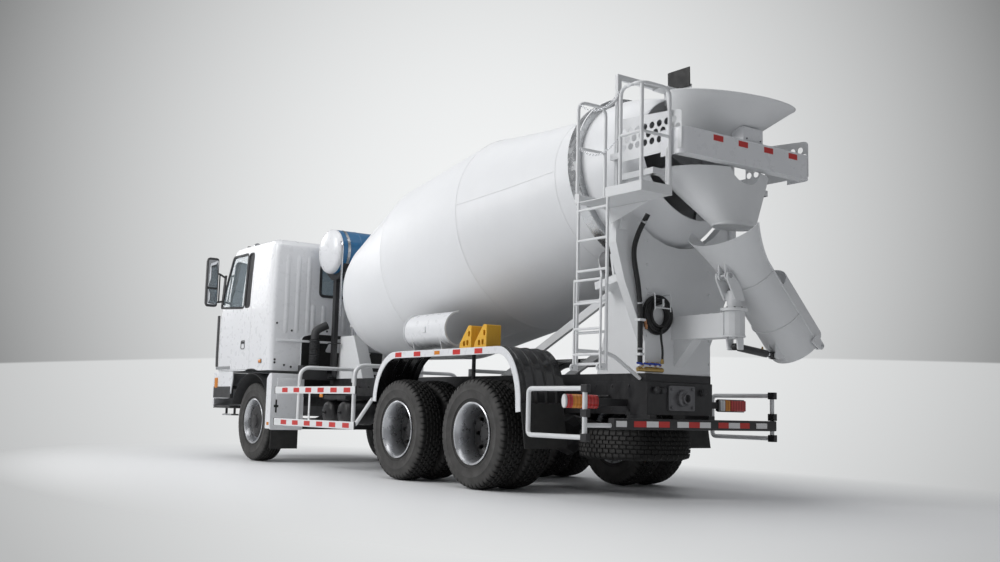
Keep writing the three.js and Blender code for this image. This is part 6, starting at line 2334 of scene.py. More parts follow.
@dataclass
class Guards:
    """Mudguards, fenders, side rails, tail guard, their tape and their lamps."""

    half: float = 1.240
    fender_low: float = 0.835
    fender_top: float = 1.371

    def front_mudguard(self, side: str, out: int) -> None:
        """The liner over a steered wheel, with its rear panel, latch and flap.

        Args:
            side: left or right, for the names.
            out: 1 on the left side, -1 on the right.
        """
        line = np.concatenate([arc((0, AXLE_HEIGHT), 0.655, 160, 22, 28),
                               bent([(0.607, 0.783), (0.675, 0.70), (0.675, 0.47)], 0.05)])
        x = np.linspace(0.765, 1.222, 12)
        grid = np.stack([np.broadcast_to(x[None, :], (len(line), 12)),
                         np.broadcast_to(line[:, :1] + FRONT_AXLE, (len(line), 12)),
                         np.broadcast_to(line[:, 1:], (len(line), 12))], axis=2)
        liner = skin(grid, -0.006)
        bracket = slab((0.4253, 0.77), (0.67, 0.715), (0.88, 1.0))
        name = f"front_mudguard_{side}"
        piece(f"{name}_liner", pair(merged([liner, bracket]), out), TRIM, "chassis", 0.002,
              [name])
        panel = [prism(rounded(oblong((0.762, 1.238), (0.438, 1.183)),
                               0.03), Axis.Y, at(0.690), at(0.714)),
                 side_shape([(0.565, 0.452), (0.7145, 0.452), (0.7145, 1.183), (0.642, 1.183),
                             (0.565, 1.118)], (1.226, 1.2395), 0.02),
                 side_shape([(0.70, 0.60), (0.716, 0.60), (0.720, 0.62), (0.720, 1.10),
                             (0.716, 1.12), (0.70, 1.12)], (0.84, 1.16))]
        piece(f"{name}_panel", pair(merged(panel), out), WHITE, "chassis", 0.004)
        dark = [side_shape(oblong((0.675, 0.690), (0.192, 0.445)), (0.815, 1.208)),
                slab((1.150, 1.172), (0.719, 0.7235), (0.665, 0.835)),
                slab((1.128, 1.194), (0.719, 0.7225), (0.735, 0.765))]
        piece(f"{name}_flap", pair(merged(dark), out), FLAP, "chassis", 0.003)
        piece(f"{name}_reflector", pair(slab((1.2385, 1.2412), (0.615, 0.685), (0.50, 0.54)),
                                        out), LENS_AMBER, "chassis", 0.001)

    def fender_line(self) -> Array:
        """The rear fender's line over station and height: up, level over both wheels, down.

        Returns:
            Station and height of each point.
        """
        low, top = self.fender_low, self.fender_top
        front = arc((3.864, low), (0.462, top - low), 180, 90, 18)
        rear = arc((5.740, low), (0.362, top - low), 90, 0, 18)
        level = np.linspace(front[-1], rear[0], 20)[1:-1]
        return np.concatenate([front, level, rear, [(6.104, 0.80), (6.108, 0.76)]])

    def fender(self, side: str, out: int) -> None:
        """A rear fender: a ribbed sheet, its white rail with tape, its stays and its flap.

        Args:
            side: left or right, for the names.
            out: 1 on the left side, -1 on the right.
        """
        line = self.fender_line()
        across = np.linspace(0.692, 1.226, 57)
        run = run_of(line)
        square = np.stack([-run[:, 1], run[:, 0]], axis=1)
        if square[len(square) // 2, 1] < 0:
            square = -square
        ribs = 0.010 * np.clip(np.cos((across - 0.79) / 0.122 * 2 * math.pi), 0, 1) ** 8
        fade = smooth_step(np.arange(len(line)) / len(line), 0.0, 0.03)[:, None]
        shift = -0.011 + ribs[None, :] * fade
        place = line[:, None] + square[:, None] * shift[..., None]
        grid = np.stack([np.broadcast_to(across[None], place.shape[:2]),
                         place[..., 0] + FRONT_AXLE, place[..., 1]], axis=2)
        name = f"rear_fender_{side}"
        piece(f"{name}_sheet", pair(skin(grid, 0.006), out), GLOSS_BLACK, "chassis",
              replaces=[name], crease=60)
        inset = line - square * 0.032
        path = np.stack([np.full(len(line), 1.2325), inset[:, 0] + FRONT_AXLE, inset[:, 1]],
                        axis=1)
        rail = sweep(oblong((-0.036, 0.036), (-0.004, 0.0065)), path, (1, 0, 0))
        piece(f"{name}_rail", pair(rail, out), WHITE, "chassis", 0.003)
        tape = [slab((1.2385, 1.2402), (y, y + 0.13), (self.fender_top - 0.058,
                                                       self.fender_top - 0.008))
                for y in (3.86, 4.24, 4.98, 5.36)]
        piece(f"{name}_tape", pair(merged(tape), out), TAPE_RED, "chassis")
        lamp = slab((1.2385, 1.2415), (4.64, 4.74), (self.fender_top - 0.05,
                                                     self.fender_top - 0.012))
        piece(f"{name}_lamp", pair(lamp, out), LENS_AMBER, "chassis", 0.001)
        flap = side_shape([(6.098, 0.838), (6.109, 0.838), (6.181, 0.427), (6.169, 0.427)],
                          (0.722, 1.228))
        piece(f"{name}_flap", pair(flap, out), FLAP, "chassis", 0.003)
        stays = [tube(spots((0.4253, y, z), (0.75, y, z)), 0.021) for y, z in (
            (3.414, 0.875), (6.087, 0.875), (4.630, 1.010))]
        stays.append(tube(spots((0.73, 4.63, 1.0), (0.73, 4.63, 1.366)), 0.021))
        plate = slab((0.70, 1.22), (6.088, 6.098), (0.80, 0.85))
        piece(f"{name}_stays", pair(merged([*stays, plate]), out), BLACK, "chassis", 0.002)

    def side_rails(self, side: str, out: int) -> None:
        """The two rails between the axles on bent posts, with their tape and lamp.

        Args:
            side: left or right, for the names.
            out: 1 on the left side, -1 on the right.
        """
        rails = [side_shape(oblong((0.837, 2.988), (z, z + 0.088)),
                            (1.2215, 1.2385), 0.012) for z in (0.915, 0.506)]
        posts = []
        for y in (1.480, 2.907):
            posts.append(tube(spots((1.206, y, 0.54), (1.206, y, 1.175), (1.130, y, 1.247),
                                    (0.437, y, 1.247)), 0.024, 0.07))
            posts.append(slab((0.4253, 0.449), (y - 0.04, y + 0.04), (1.08, 1.27)))
        posts.append(tube(spots((1.206, 2.96, 0.56), (1.206, 3.34, 0.86)), 0.0215))
        posts.append(slab((1.2225, 1.2345), (1.80, 1.838), (0.580, 0.925)))
        name = f"side_guard_{side}"
        piece(f"{name}_rails", pair(merged(rails + posts), out), STEEL_WHITE, "chassis", 0.004,
              [name])
        tape = [slab((1.238, 1.2402), (1.05 + k * 0.333, 1.21 + k * 0.333), (z + 0.016, z + 0.072))
                for k in range(6) for z in (0.915, 0.506)]
        piece(f"{name}_tape", pair(merged(tape), out), TAPE_RED, "chassis")
        lamp = slab((1.226, 1.2405), (2.10, 2.18), (0.872, 0.913))
        piece(f"{name}_lamp", pair(lamp, out), LENS_AMBER, "chassis", 0.006)
        caps = [slab((1.2195, 1.2402), (y, y + 0.018), (z - 0.001, z + 0.089))
                for y in (0.822, 2.986) for z in (0.915, 0.506)]
        piece(f"{name}_caps", pair(merged(caps), out), TRIM, "chassis", 0.004)

    def tail(self) -> None:
        """The underrun bar with its tape, its brackets and the side loops."""
        bar = [prism(rounded(oblong((6.962, 7.038), (0.627, 0.725)) + [FRONT_AXLE, 0], 0.012),
                     Axis.X, -1.229, 0.924)]
        for out in (1, -1):
            bar.append(pair(slab((0.345, 0.425), (6.66, 6.965), (0.69, 0.7597)), out))
            bar.append(pair(side_shape([(6.70, 0.69), (6.96, 0.63), (6.96, 0.72),
                                        (6.70, 0.76)], (0.355, 0.367)), out))
        piece("underrun_bar", bar, BLACK, "chassis", 0.003, ["rear_guard_frame"])
        loops, dark = [], []
        for out in (1, -1):
            path = spots((1.220, 6.99, 0.972), (1.220, 6.21, 0.972), (1.220, 6.21, 0.556),
                         (1.220, 6.99, 0.556))
            loops.append(pair(tube(path, 0.0215, 0.05, looped=True, up=(1, 0, 0)), out))
            loops.append(pair(tube(spots((1.22, 6.99, 0.66), (0.88, 6.99, 0.66)), 0.0195), out))
            dark += [pair(slab((1.195, 1.2415), (6.955, 7.035), (z - 0.034, z + 0.034)), out)
                     for z in (0.556, 0.762, 0.972)]
        piece("tail_loops", loops, STEEL_WHITE, "chassis")
        piece("tail_loop_ends", dark, BLACK, "chassis", 0.004)
        y, z = (7.037, 7.0392), (0.650, 0.702)
        red = [slab(x, y, z) for x in ((0.538, 0.689), (0.249, 0.386), (-0.141, 0.001),
                                       (-0.534, -0.394), (-0.830, -0.694))]
        white = [slab(x, y, z) for x in ((0.775, 0.900), (0.388, 0.536), (0.003, 0.151),
                                         (-0.289, -0.143), (-0.692, -0.536), (-1.086, -0.928))]
        piece("underrun_tape_red", red, TAPE_RED, "chassis")
        piece("underrun_tape_white", white, TAPE_WHITE, "chassis")

    def tail_lamps(self) -> None:
        """The left lamp is a ribbed barrel, the right one a box; each is on its bracket."""
        for out, side in SIDES:
            bracket = [slab((0.4253, 0.80), (6.642, 6.668), (0.832, 0.898)),
                       slab((0.79, 1.16), (6.641, 6.652), (0.81, 0.92))]
            piece(f"lamp_bracket_{side}", pair(merged(bracket), out), BLACK, "chassis", 0.003,
                  [f"tail_lamp_{side}"])
        centre = spots((0.0, 6.669, 0.865))[0]

        def barrel(x0: float, x1: float, radius: float, ribs: int) -> Surface:
            """A stretch of a ribbed barrel lens along x.

            Args:
                x0: one end.
                x1: the other end.
                radius: its radius.
                ribs: how many ribs it has.

            Returns:
                The barrel.
            """
            s = np.linspace(0, 1, ribs * 6 + 1)
            wave = radius - 0.0022 * (0.5 + 0.5 * np.cos(s * ribs * 2 * math.pi))
            line = np.stack([wave, x0 + (x1 - x0) * s], axis=1)
            made = lathe(line, (0, 0, 0), (1, 0, 0), 36)
            flat = made.points * np.array([1, 0.47, 1])
            return Surface(flat + centre, made.quads, made.caps)

        piece("tail_lens_red_left", [barrel(0.80, 0.99, 0.062, 14), barrel(1.10, 1.165, 0.062, 5)],
              LENS_RED, "chassis", crease=80)
        piece("tail_lens_amber_left", barrel(0.992, 1.098, 0.062, 8), LENS_AMBER, "chassis",
              crease=80)
        piece("tail_lens_end_left", barrel(1.167, 1.189, 0.0615, 1), LENS_CLEAR, "chassis",
              crease=80)
        piece("tail_lens_base_left", barrel(0.785, 0.80, 0.0625, 1), BLACK, "chassis")
        box = [slab((-1.188, -0.795), (6.652, 6.668), (0.803, 0.928))]
        piece("tail_box_right", box, BLACK, "chassis", 0.006)
        for name, x, finish in (("red", (-1.178, -0.955), LENS_RED),
                                ("amber", (-0.950, -0.880), LENS_AMBER),
                                ("clear", (-0.875, -0.805), LENS_CLEAR)):
            piece(f"tail_lens_{name}_right", slab(x, (6.666, 6.699), (0.812, 0.919)), finish,
                  "chassis", 0.010, segments=3)

    def build(self) -> None:
        """Makes all of them."""
        for out, side in SIDES:
            self.front_mudguard(side, out)
            self.fender(side, out)
            self.side_rails(side, out)
        self.tail()
        self.tail_lamps()


@dataclass
class Chassis:
    """Frame, tanks, hitch, spare chute, chocks and water tank."""

    frame: dict[str, Any]

    def carried(self) -> None:
        """Finishes the frame's own nodes that stay."""
        for name, finish in (("chassis_frame", BLACK), ("subframe", BLACK),
                             ("front_axle", IRON), ("rear_bogie", IRON), ("engine", CAST),
                             ("knuckle_left", IRON), ("knuckle_right", IRON)):
            repaint(self.frame["nodes"][name], finish)

    def rails(self) -> None:
        """Bolts along the rails, cable looms, and the hitch at the tail with its sockets."""
        y = np.arange(-0.9, 6.8, 0.23)
        heads = []
        for z in (0.80, 1.02):
            places = spots(*[(0.425, v, z) for v in y])
            heads.append(bolts(places, (1, 0, 0), 0.011, 0.010))
        piece("rail_bolts", both_sides(merged(heads)), IRON, "chassis")
        looms = [tube(spots(*[(0.455 + 0.006 * math.sin(v * 3), v, 0.96 + 0.012 *
                              math.sin(v * 5)) for v in np.arange(-0.3, 3.6, 0.12)]), 0.016),
                 tube(spots(*[(0.452, v, 0.92 + 0.008 * math.sin(v * 4)) for v in
                              np.arange(2.4, 6.6, 0.15)]), 0.011)]
        piece("rail_looms", looms, HOSE, "chassis")
        plate = rounded(oblong((-0.17, 0.17), (0.80, 1.03)), 0.02)
        hitch = [prism(plate, Axis.Y, at(6.928), at(6.952)),
                 lathe([(0.075, 0.0), (0.075, 0.03), (0.055, 0.045), (0.050, 0.075),
                        (0.036, 0.075), (0.034, 0.02)], spots((0, 6.952, 0.915))[0], (0, 1, 0),
                       36)]
        heads = bolts(spots(*[(x, 6.952, z) for x in (-0.135, 0.135) for z in (0.83, 1.0)]),
                      (0, 1, 0), 0.015, 0.014)
        piece("hitch_plate", [*hitch, heads], CAST, "chassis", 0.003)
        sockets = [lathe([(0.030, 0.0), (0.032, 0.03), (0.026, 0.045), (0.02, 0.05)],
                         spots((x, 6.933, z))[0], (0, 1, 0.2), 20)
                   for x, z in ((0.25, 0.98), (0.33, 0.98), (-0.28, 0.97))]
        piece("tail_sockets", sockets, TRIM, "chassis")

    def tanks(self) -> None:
        """Air tanks on the left, fuel tank on the right."""
        bright, dark = [], [slab((0.4253, 0.495), (1.69, 2.29), (0.80, 1.0)),
                            slab((0.445, 0.975), (1.705, 2.275), (0.852, 0.90))]
        for y in (1.790, 2.190):
            profile = [(0.03, -0.229), (0.09, -0.222), (0.130, -0.203), (0.147, -0.178),
                       (0.1478, -0.16), (0.1478, 0.16), (0.147, 0.178), (0.130, 0.203),
                       (0.09, 0.222), (0.03, 0.229)]
            bright.append(lathe(profile, spots((0.760, y, 0.690))[0], (1, 0, 0), 48))
            for x in (0.66, 0.86):
                dark.append(lathe(oblong((0.149, 0.1515), (-0.018, 0.018)),
                                  spots((x, y, 0.690))[0], (1, 0, 0), 40, closed=True))
                dark.append(slab((x - 0.018, x + 0.018), (y - 0.03, y + 0.03), (0.83, 0.86)))
            dark.append(lathe([(0.02, 0.0), (0.02, 0.02), (0.012, 0.024), (0.012, 0.04)],
                              spots((0.985, y, 0.690))[0], (1, 0, 0), 12))
        piece("air_tank_barrels", bright, BLACK, "chassis", 0.0, ["air_tanks"])
        piece("air_tank_straps", dark, IRON, "chassis", 0.002)
        outline = rounded([(-1.09, 0.482), (-0.59, 0.482), (-0.522, 0.55), (-0.522, 1.03),
                           (-0.59, 1.098), (-1.09, 1.098), (-1.158, 1.03), (-1.158, 0.55)], 0.05)
        piece("fuel_tank_body", prism(outline, Axis.Y, at(1.652), at(2.788)), ALLOY, "chassis",
              0.012, ["fuel_tank"], segments=3)
        straps = []
        for y in (1.835, 2.595):
            grown = (outline - outline.mean(axis=0)) * 1.004 + outline.mean(axis=0)
            straps.append(prism(grown, Axis.Y, at(y - 0.035), at(y + 0.035)))
            straps.append(slab((-0.53, -0.4253), (y - 0.035, y + 0.035), (0.52, 1.0)))
        piece("fuel_tank_straps", straps, BLACK, "chassis", 0.002)
        cap = lathe([(0.062, -0.02), (0.064, 0.022), (0.058, 0.032), (0.02, 0.034)],
                    spots((-0.85, 2.20, 1.097))[0], (0, 0, 1), 28)
        piece("fuel_cap", cap, TRIM, "chassis")

    def water_tank(self) -> None:
        """The water tank: a blue barrel with white dished ends, on its stands."""
        centre = spots((0, 1.040, 2.840))[0]
        barrel = lathe([(0.294, -0.60), (0.299, -0.596), (0.2995, -0.3), (0.2995, 0.3),
                        (0.299, 0.596), (0.294, 0.60)], centre, (1, 0, 0), 72)
        beads = [lathe([(0.2995 + 0.003 * math.cos(a), x + 0.008 * math.sin(a))
                        for a in circle(8)], centre, (1, 0, 0), 72, closed=True)
                 for x in (-0.30, 0.30)]
        piece("water_tank_barrel", [barrel, *beads], BLUE, "chassis", replaces=["water_tank"])
        dish = [(0.299, 0.585), (0.3005, 0.600), (0.2995, 0.618), (0.288, 0.642), (0.262, 0.664),
                (0.220, 0.686), (0.160, 0.703), (0.10, 0.713), (0.04, 0.717)]
        ends = [lathe(dish, centre, (s, 0, 0), 72) for s in (1, -1)]
        piece("water_tank_ends", ends, WHITE, "chassis")
        fitments = [tube(centre + np.array([(-0.2, 0, 0.295), (-0.2, 0.0, 0.299)]), 0.05),
                    tube(centre + np.array([(0.35, 0.05, -0.25), (0.35, 0.20, -0.55),
                                            (0.35, 0.20, -1.2)]), 0.028, 0.12),
                    tube(centre + np.array([(0.62, 0.10, 0.10), (0.62, 0.335, 0.10),
                                            (0.62, 0.335, -0.9)]), 0.014, 0.06)]
        piece("water_tank_pipes", fitments, CHROME, "chassis")
        stands = []
        for out in (1, -1):
            stands.append(pair(slab((0.470, 0.530), (0.98, 1.06), (1.155, 2.60)), out))
            saddle = np.concatenate([arc((1.040, 2.840), 0.300, 215, 325, 16),
                                     [(1.27, 2.56), (1.12, 2.46), (0.96, 2.46), (0.81, 2.56)]])
            stands.append(pair(side_shape(saddle, (0.455, 0.545)), out))
            stands.append(pair(slab((0.365, 0.53), (0.905, 0.975), (1.1346, 1.254)), out))
            stands.append(pair(slab((0.47, 0.53), (0.905, 1.04), (1.195, 1.254)), out))
            stands.append(pair(slab((0.45, 0.55), (0.92, 1.12), (1.60, 1.612)), out))
        piece("water_tank_stands", stands, BLACK, "chassis", 0.003)
        clamps = [lathe(oblong((0.0285, 0.034), (-0.012, 0.012)),
                        centre + (0.35, 0.20, z), (0, 0, 1), 20, closed=True)
                  for z in (-0.7, -1.0)]
        piece("water_pipe_clamps", clamps, STEEL_WHITE, "chassis")
        for x in (0.36, -0.36):
            strap = lathe(oblong((0.3005, 0.303), (-0.02, 0.02)),
                          centre + (x * 1.38, 0, 0), (1, 0, 0), 72, closed=True)
            piece(f"water_tank_strap_{'left' if x > 0 else 'right'}", strap, STEEL, "chassis")

    def stowage(self) -> None:
        """The spare chute on its cradles, and the chocks in their tray."""
        x0, z0 = 0.985, 1.600
        angle = np.radians(np.linspace(-95, 85, 33))[:, None]
        y = np.linspace(at(3.902), at(4.718), 15)[None, :]
        grid = np.stack([x0 + 0.175 * np.cos(angle) + 0 * y, y + 0 * angle,
                         z0 + 0.175 * np.sin(angle) + 0 * y], axis=2)
        trough = skin(grid, 0.005)
        ring = arc((x0, z0), 0.191, -97, 87, 32)
        inner = arc((x0, z0), 0.171, 87, -97, 32)
        rims = [prism(np.concatenate([ring, inner]), Axis.Y, at(y0), at(y0 + 0.010))
                for y0 in (3.901, 4.709)]
        middle = np.concatenate([arc((x0, z0), 0.1785, -95, 85, 32),
                                 arc((x0, z0), 0.172, 85, -95, 32)])
        rims.append(prism(middle, Axis.Y, at(4.292), at(4.322)))
        rims += [slab((x0 + 0.174, x0 + 0.188), (4.275, 4.339), (z0 - 0.03, z0 + 0.03)),
                 tube(spots((x0 + 0.012, 3.905, z0 + 0.178), (x0 + 0.012, 4.715, z0 + 0.178)),
                      0.008)]
        piece("spare_chute_trough", [trough, *rims], WHITE, "chassis", 0.0015, ["spare_chute"])
        cradles = []
        for y in (4.020, 4.560):
            shape = np.concatenate([[(x0 - 0.11, 1.3775), (x0 + 0.11, 1.3775)],
                                    arc((x0, z0), 0.1775, -38, -142, 16)])
            cradles.append(prism(shape, Axis.Y, at(y - 0.006), at(y + 0.006)))
            cradles.append(slab((x0 - 0.16, x0 + 0.16), (y - 0.04, y + 0.04), (1.3714, 1.379)))
        piece("spare_chute_cradles", cradles, STEEL_WHITE, "chassis", 0.002)
        tray = [slab((0.982, 1.198), (4.992, 5.478), (1.3714, 1.379)),
                slab((0.982, 0.986), (4.992, 5.478), (1.379, 1.40))]
        piece("chock_tray", tray, STEEL_WHITE, "chassis", 0.001, ["wheel_chocks"])
        for number, y in enumerate((5.0, 5.26)):
            flat = rounded([(y + 0.002, 1.380), (y + 0.208, 1.380), (y + 0.208, 1.600),
                            (y + 0.165, 1.604), (y + 0.150, 1.596), (y + 0.012, 1.43)], 0.012, 4)
            wedge = keep_object(f"chock_{number}", mesh_of("wedge", prism(
                flat + [FRONT_AXLE, 0], Axis.X, 1.002, 1.178)))
            cutters = []
            for py, pz, half in ((0.085, 1.425, 0.018), (0.145, 1.430, 0.018),
                                 (0.170, 1.520, 0.016)):
                oval = rounded(oblong((y + py - half, y + py + half), (pz - 0.028, pz + 0.028)),
                               half * 0.95, 6)
                cutters.append((prism(oval + [FRONT_AXLE, 0], Axis.X, 0.95, 1.25),
                                "DIFFERENCE"))
            for k in range(4):
                groove = slab((1.02 + k * 0.04, 1.035 + k * 0.04), (y + 0.205, y + 0.22),
                              (1.42, 1.58))
                cutters.append((groove, "DIFFERENCE"))
            dress(carved(wedge, cutters), YELLOW, "chassis", 0.002)

    def bumper(self) -> None:
        """The front bumper with its lamps' bays, and the steps into the cab."""
        x = np.linspace(-1, 1, 41)[:, None]
        profile = np.array([(-1.360, 0.715), (-1.386, 0.730), (-1.393, 0.80), (-1.393, 0.97),
                            (-1.392, 1.18), (-1.372, 1.2205), (-1.3575, 1.2205), (-1.357, 0.715)])
        sweep_back = 0.10 * np.abs(x) ** 5
        grid = np.stack([1.238 * x + 0 * profile[None, :, 0],
                         profile[None, :, 0] + sweep_back + FRONT_AXLE,
                         profile[None, :, 1] + 0 * x], axis=2)
        parts = [lattice(grid, wrap_v=True, cap_u=True)]
        for out in (1, -1):
            skin_shape = [(-1.30, 0.842), (-1.30, 1.2195), (-0.602, 1.2195), (-0.602, 1.10),
                          (-0.66, 0.90), (-0.72, 0.842)]
            parts.append(pair(side_shape(skin_shape, (1.222, 1.2385), 0.02), out))
        piece("bumper_skin", parts, WHITE, "cab", 0.004, ["front_bumper"])
        dark, steps = [], []
        for out in (1, -1):
            dark.append(pair(slab((1.19, 1.2405), (-1.285, -0.66), (0.848, 1.012)), out))
            dark.append(pair(slab((0.79, 1.235), (-1.30, -0.69), (0.985, 1.018)), out))
            dark.append(pair(slab((0.79, 1.225), (-1.30, -0.69), (0.703, 0.738)), out))
            for y in (-0.993, -0.700):
                dark.append(pair(side_shape(oblong((y - 0.012, y + 0.012), (0.602, 0.72)),
                                            (1.125, 1.155)), out))
            steps.append(pair(slab((1.082, 1.198), (-1.008, -0.682), (0.601, 0.623)), out))
            steps.append(pair(slab((1.10, 1.238), (-1.27, -0.675), (0.850, 0.868)), out))
        dark.append(slab((-0.60, 0.60), (-1.3998, -1.392), (0.80, 0.92)))
        piece("bumper_trim", dark, TRIM, "cab", 0.004)
        piece("cab_steps", steps, ALLOY, "cab", 0.003)
        plate = prism(rounded(oblong((-0.26, 0.26), (0.99, 1.10)), 0.01),
                      Axis.Y, at(-1.3999), at(-1.395))
        piece("front_plate_blank", plate, TAPE_WHITE, "cab", 0.0005)

    def behind_cab(self) -> None:
        """The dark bay in the cab's rear wall, its panels, bolts and the intake's bellows."""
        outline = rounded([(-0.74, 1.255), (0.78, 1.255), (0.78, 1.70), (0.60, 1.745),
                           (-0.74, 1.745)], 0.06)
        bay = prism(outline, Axis.Y, at(0.5990), at(0.6012))
        piece("cab_rear_bay", bay, FLAP, "cab")
        lip = sweep(round_section(0.007, 8), np.insert(outline, 1, at(0.602), axis=1),
                    (0, 1, 0), looped=True)
        hood = prism(rounded([(-0.30, 1.50), (0.42, 1.50), (0.36, 1.63), (0.20, 1.70),
                              (-0.20, 1.70), (-0.30, 1.63)], 0.04), Axis.Y, at(0.599), at(0.612))
        low = slab((-1.10, 1.10), (0.599, 0.604), (0.93, 1.19))
        piece("cab_rear_lip", [lip, hood], WHITE, "cab")
        piece("cab_rear_skirt", low, FLAP, "cab", 0.002)
        heads = bolts(spots(*[(x, 0.600, z) for x, z in ((0.93, 1.77), (0.40, 1.79), (-0.2, 1.79),
                                                         (1.15, 1.86), (1.02, 1.30), (0.92, 1.28),
                                                         (1.16, 1.33), (1.16, 1.37))]),
                      (0, 1, 0), 0.015, 0.004, 16)
        piece("cab_rear_plugs", heads, TRIM, "cab")
        s = np.linspace(0, 1, 90)
        wave = 0.068 + 0.007 * np.cos(s * 16 * 2 * math.pi)
        bellows = lathe(np.stack([wave, 1.30 + 0.36 * s], axis=1), spots((0.66, 0.76, 0))[0],
                        (0, 0, 1), 28)
        pipe = tube(spots((0.66, 0.76, 1.66), (0.66, 0.76, 1.78), (0.50, 0.80, 1.86)), 0.055, 0.1)
        box = slab((0.30, 0.86), (0.70, 0.86), (1.115, 1.30))
        piece("intake", [bellows, pipe, box], TRIM, "chassis", 0.0, crease=60)

    def build(self) -> None:
        """Makes all of them."""
        self.carried()
        self.rails()
        self.tanks()
        self.water_tank()
        self.stowage()
        self.bumper()
        self.behind_cab()


# ---------------------------------------------------------------- rear end


@dataclass
class Hoppers:
    """The two hoppers, the guard round them and what holds them."""

    middle: float = 7.575
    guard_x: float = 0.844

    def funnel(self, low: float, high: Point, wall: float, lean: float, slope: float,
               wide: Point, place: Point) -> list[Surface]:
        """A thin cone, leaned and stretched, with a rolled rim.

        Point (a, r, h) is place + (wide_x r cos a, wide_y r sin a + lean h,
        h + slope wide_y r sin a).

        Args:
            low: the radius at the foot.
            high: the radius and the height of the rim.
            wall: the sheet's thickness.
            lean: how far y shifts for each metre up.
            slope: how much the rim falls for each metre along y.
            wide: the stretch along x and along y.
            place: the foot's middle, with a station for y.

        Returns:
            The sheet, and its rim.
        """
        shift = np.array([[wide[0], 0, 0], [0, wide[1], lean], [0, slope * wide[1], 1]])
        share = np.linspace(0, 1, 7)
        outer = [(low + (high[0] - low) * s, high[1] * s) for s in share]
        loop = outer + [(r - wall, h) for r, h in outer[::-1]]
        sheet = lathe(loop, (0, 0, 0), (0, 0, 1), 120, closed=True).turned(shift)
        ring = circle(120)[:, None]
        path = np.hstack([(high[0] - 0.007) * np.cos(ring), (high[0] - 0.007) * np.sin(ring),
                          0 * ring + high[1] - 0.002]) @ shift.T
        rim = sweep(round_section(0.0065, 8), path, (0, 0, 1), looped=True)
        return [sheet.outward().moved(spots(place)[0]), rim.moved(spots(place)[0])]

    def collecting(self) -> None:
        """The lower hopper: it clears the drum's tail, and has a gap in its rear wall."""
        drum = Drum()
        around = lathe([(0.0, 6.34), (0.912, 6.34), (0.912, 6.57), (0.83, 6.58), (0.775, 6.87),
                        (0.655, 7.18), (0.0, 7.18)], drum.start, drum.axis, 96)
        sheet, rim = self.funnel(0.190, (0.500, 0.500), 0.007, -0.51, 0.0, (1.19, 0.84),
                                 (0, self.middle, 2.440))
        gap = prism(np.concatenate([arc((0, 3.02), 0.215, 180, 360, 24), [(0.215, 3.3),
                                                                        (-0.215, 3.3)]]),
                    Axis.Y, at(7.60), at(8.2))
        bowl = keep_object("collecting_bowl", mesh_of("bowl", merged([sheet])))
        dress(carved(bowl, [(around, "DIFFERENCE"), (gap, "DIFFERENCE")]), STEEL_WHITE,
              "chassis", replaces=["collecting_hopper"])
        arms = []
        for out in (1, -1):
            arms.append(pair(slab((0.717, 0.763), (6.902, 7.33), (2.862, 2.918)), out))
            arms.append(pair(slab((0.560, 0.765), (7.272, 7.328), (2.862, 2.918)), out))
            arms.append(pair(slab((0.690, 0.765), (6.902, 6.93), (2.42, 2.92)), out))
            arms.append(pair(bolts(spots(*[(0.727, 6.93, z) for z in (2.5, 2.62, 2.74)]),
                                   (0, 1, 0), 0.012, 0.010), out))
        piece("collecting_arms", arms, STEEL_WHITE, "chassis", 0.004)
        lip = lathe([(0.192, -0.004), (0.198, 0.0), (0.198, 0.03), (0.192, 0.034)],
                    (0, 0, 0), (0, 0, 1), 96, closed=True)
        shift = np.diag([1.19, 0.84, 1.0])
        piece("collecting_lip", lip.turned(shift).moved(spots((0, self.middle, 2.441))[0]),
              STEEL_WHITE, "chassis")

    def charging(self) -> None:
        """The upper hopper with its posts, its bolted flange and the flap on top."""
        parts = self.funnel(0.230, (0.620, 0.420), 0.008, 1.05, -0.19, (1.02, 0.855),
                            (0, 7.100, 3.180))
        piece("charging_bowl", parts, STEEL_WHITE, "chassis", replaces=["charging_hopper"])
        frame_parts = [slab((-0.330, 0.330), (6.864, 7.058), (3.791, 3.801)),
                       slab((-0.7915, 0.7915), (6.853, 6.895), (3.806, 3.858)),
                       slab((-0.21, 0.21), (7.006, 7.029), (3.67, 3.793))]
        for out in (1, -1):
            frame_parts.append(pair(slab((0.743, 0.7905), (6.854, 6.894), (2.592, 3.84)), out))
            frame_parts.append(pair(side_shape([(6.90, 3.66), (7.02, 3.66), (6.90, 3.79)],
                                               (0.20, 0.208)), out))
        piece("hopper_posts", frame_parts, STEEL_WHITE, "chassis", 0.004)
        heads = bolts(spots(*[(x, y, 3.801) for x in np.linspace(-0.28, 0.28, 5)
                              for y in (6.90, 7.03)]), (0, 0, 1), 0.013, 0.010)
        piece("flange_bolts", heads, STEEL, "chassis")
        path = bent(spots((0.165, 7.20, 0), (0.165, 6.90, 0), (0.02, 6.90, 0)),
                    0.05, 8)[:, None]
        z = np.linspace(0, 1, 7)[None, :, None]
        grid = path * (1 + 0.03 * z * [1, 0, 0]) + np.array([0, 0, 1]) * (3.80 + 0.182 * z)
        piece("hopper_flap", skin(grid, 0.010), FLAP, "chassis")
        collar = path * [0.93, 1, 1] + np.array([0, 0.008, 0]) + np.array([0, 0, 1]) * (
            3.66 + 0.16 * z)
        piece("hopper_collar", skin(collar, 0.006), STEEL_WHITE, "chassis")
        heads = [pair(bolts(spots(*[(0.160, y, 3.76) for y in (6.95, 7.04, 7.13)]), (1, 0, 0),
                            0.010, 0.007), out) for out in (1, -1)]
        piece("collar_bolts", heads, IRON, "chassis")

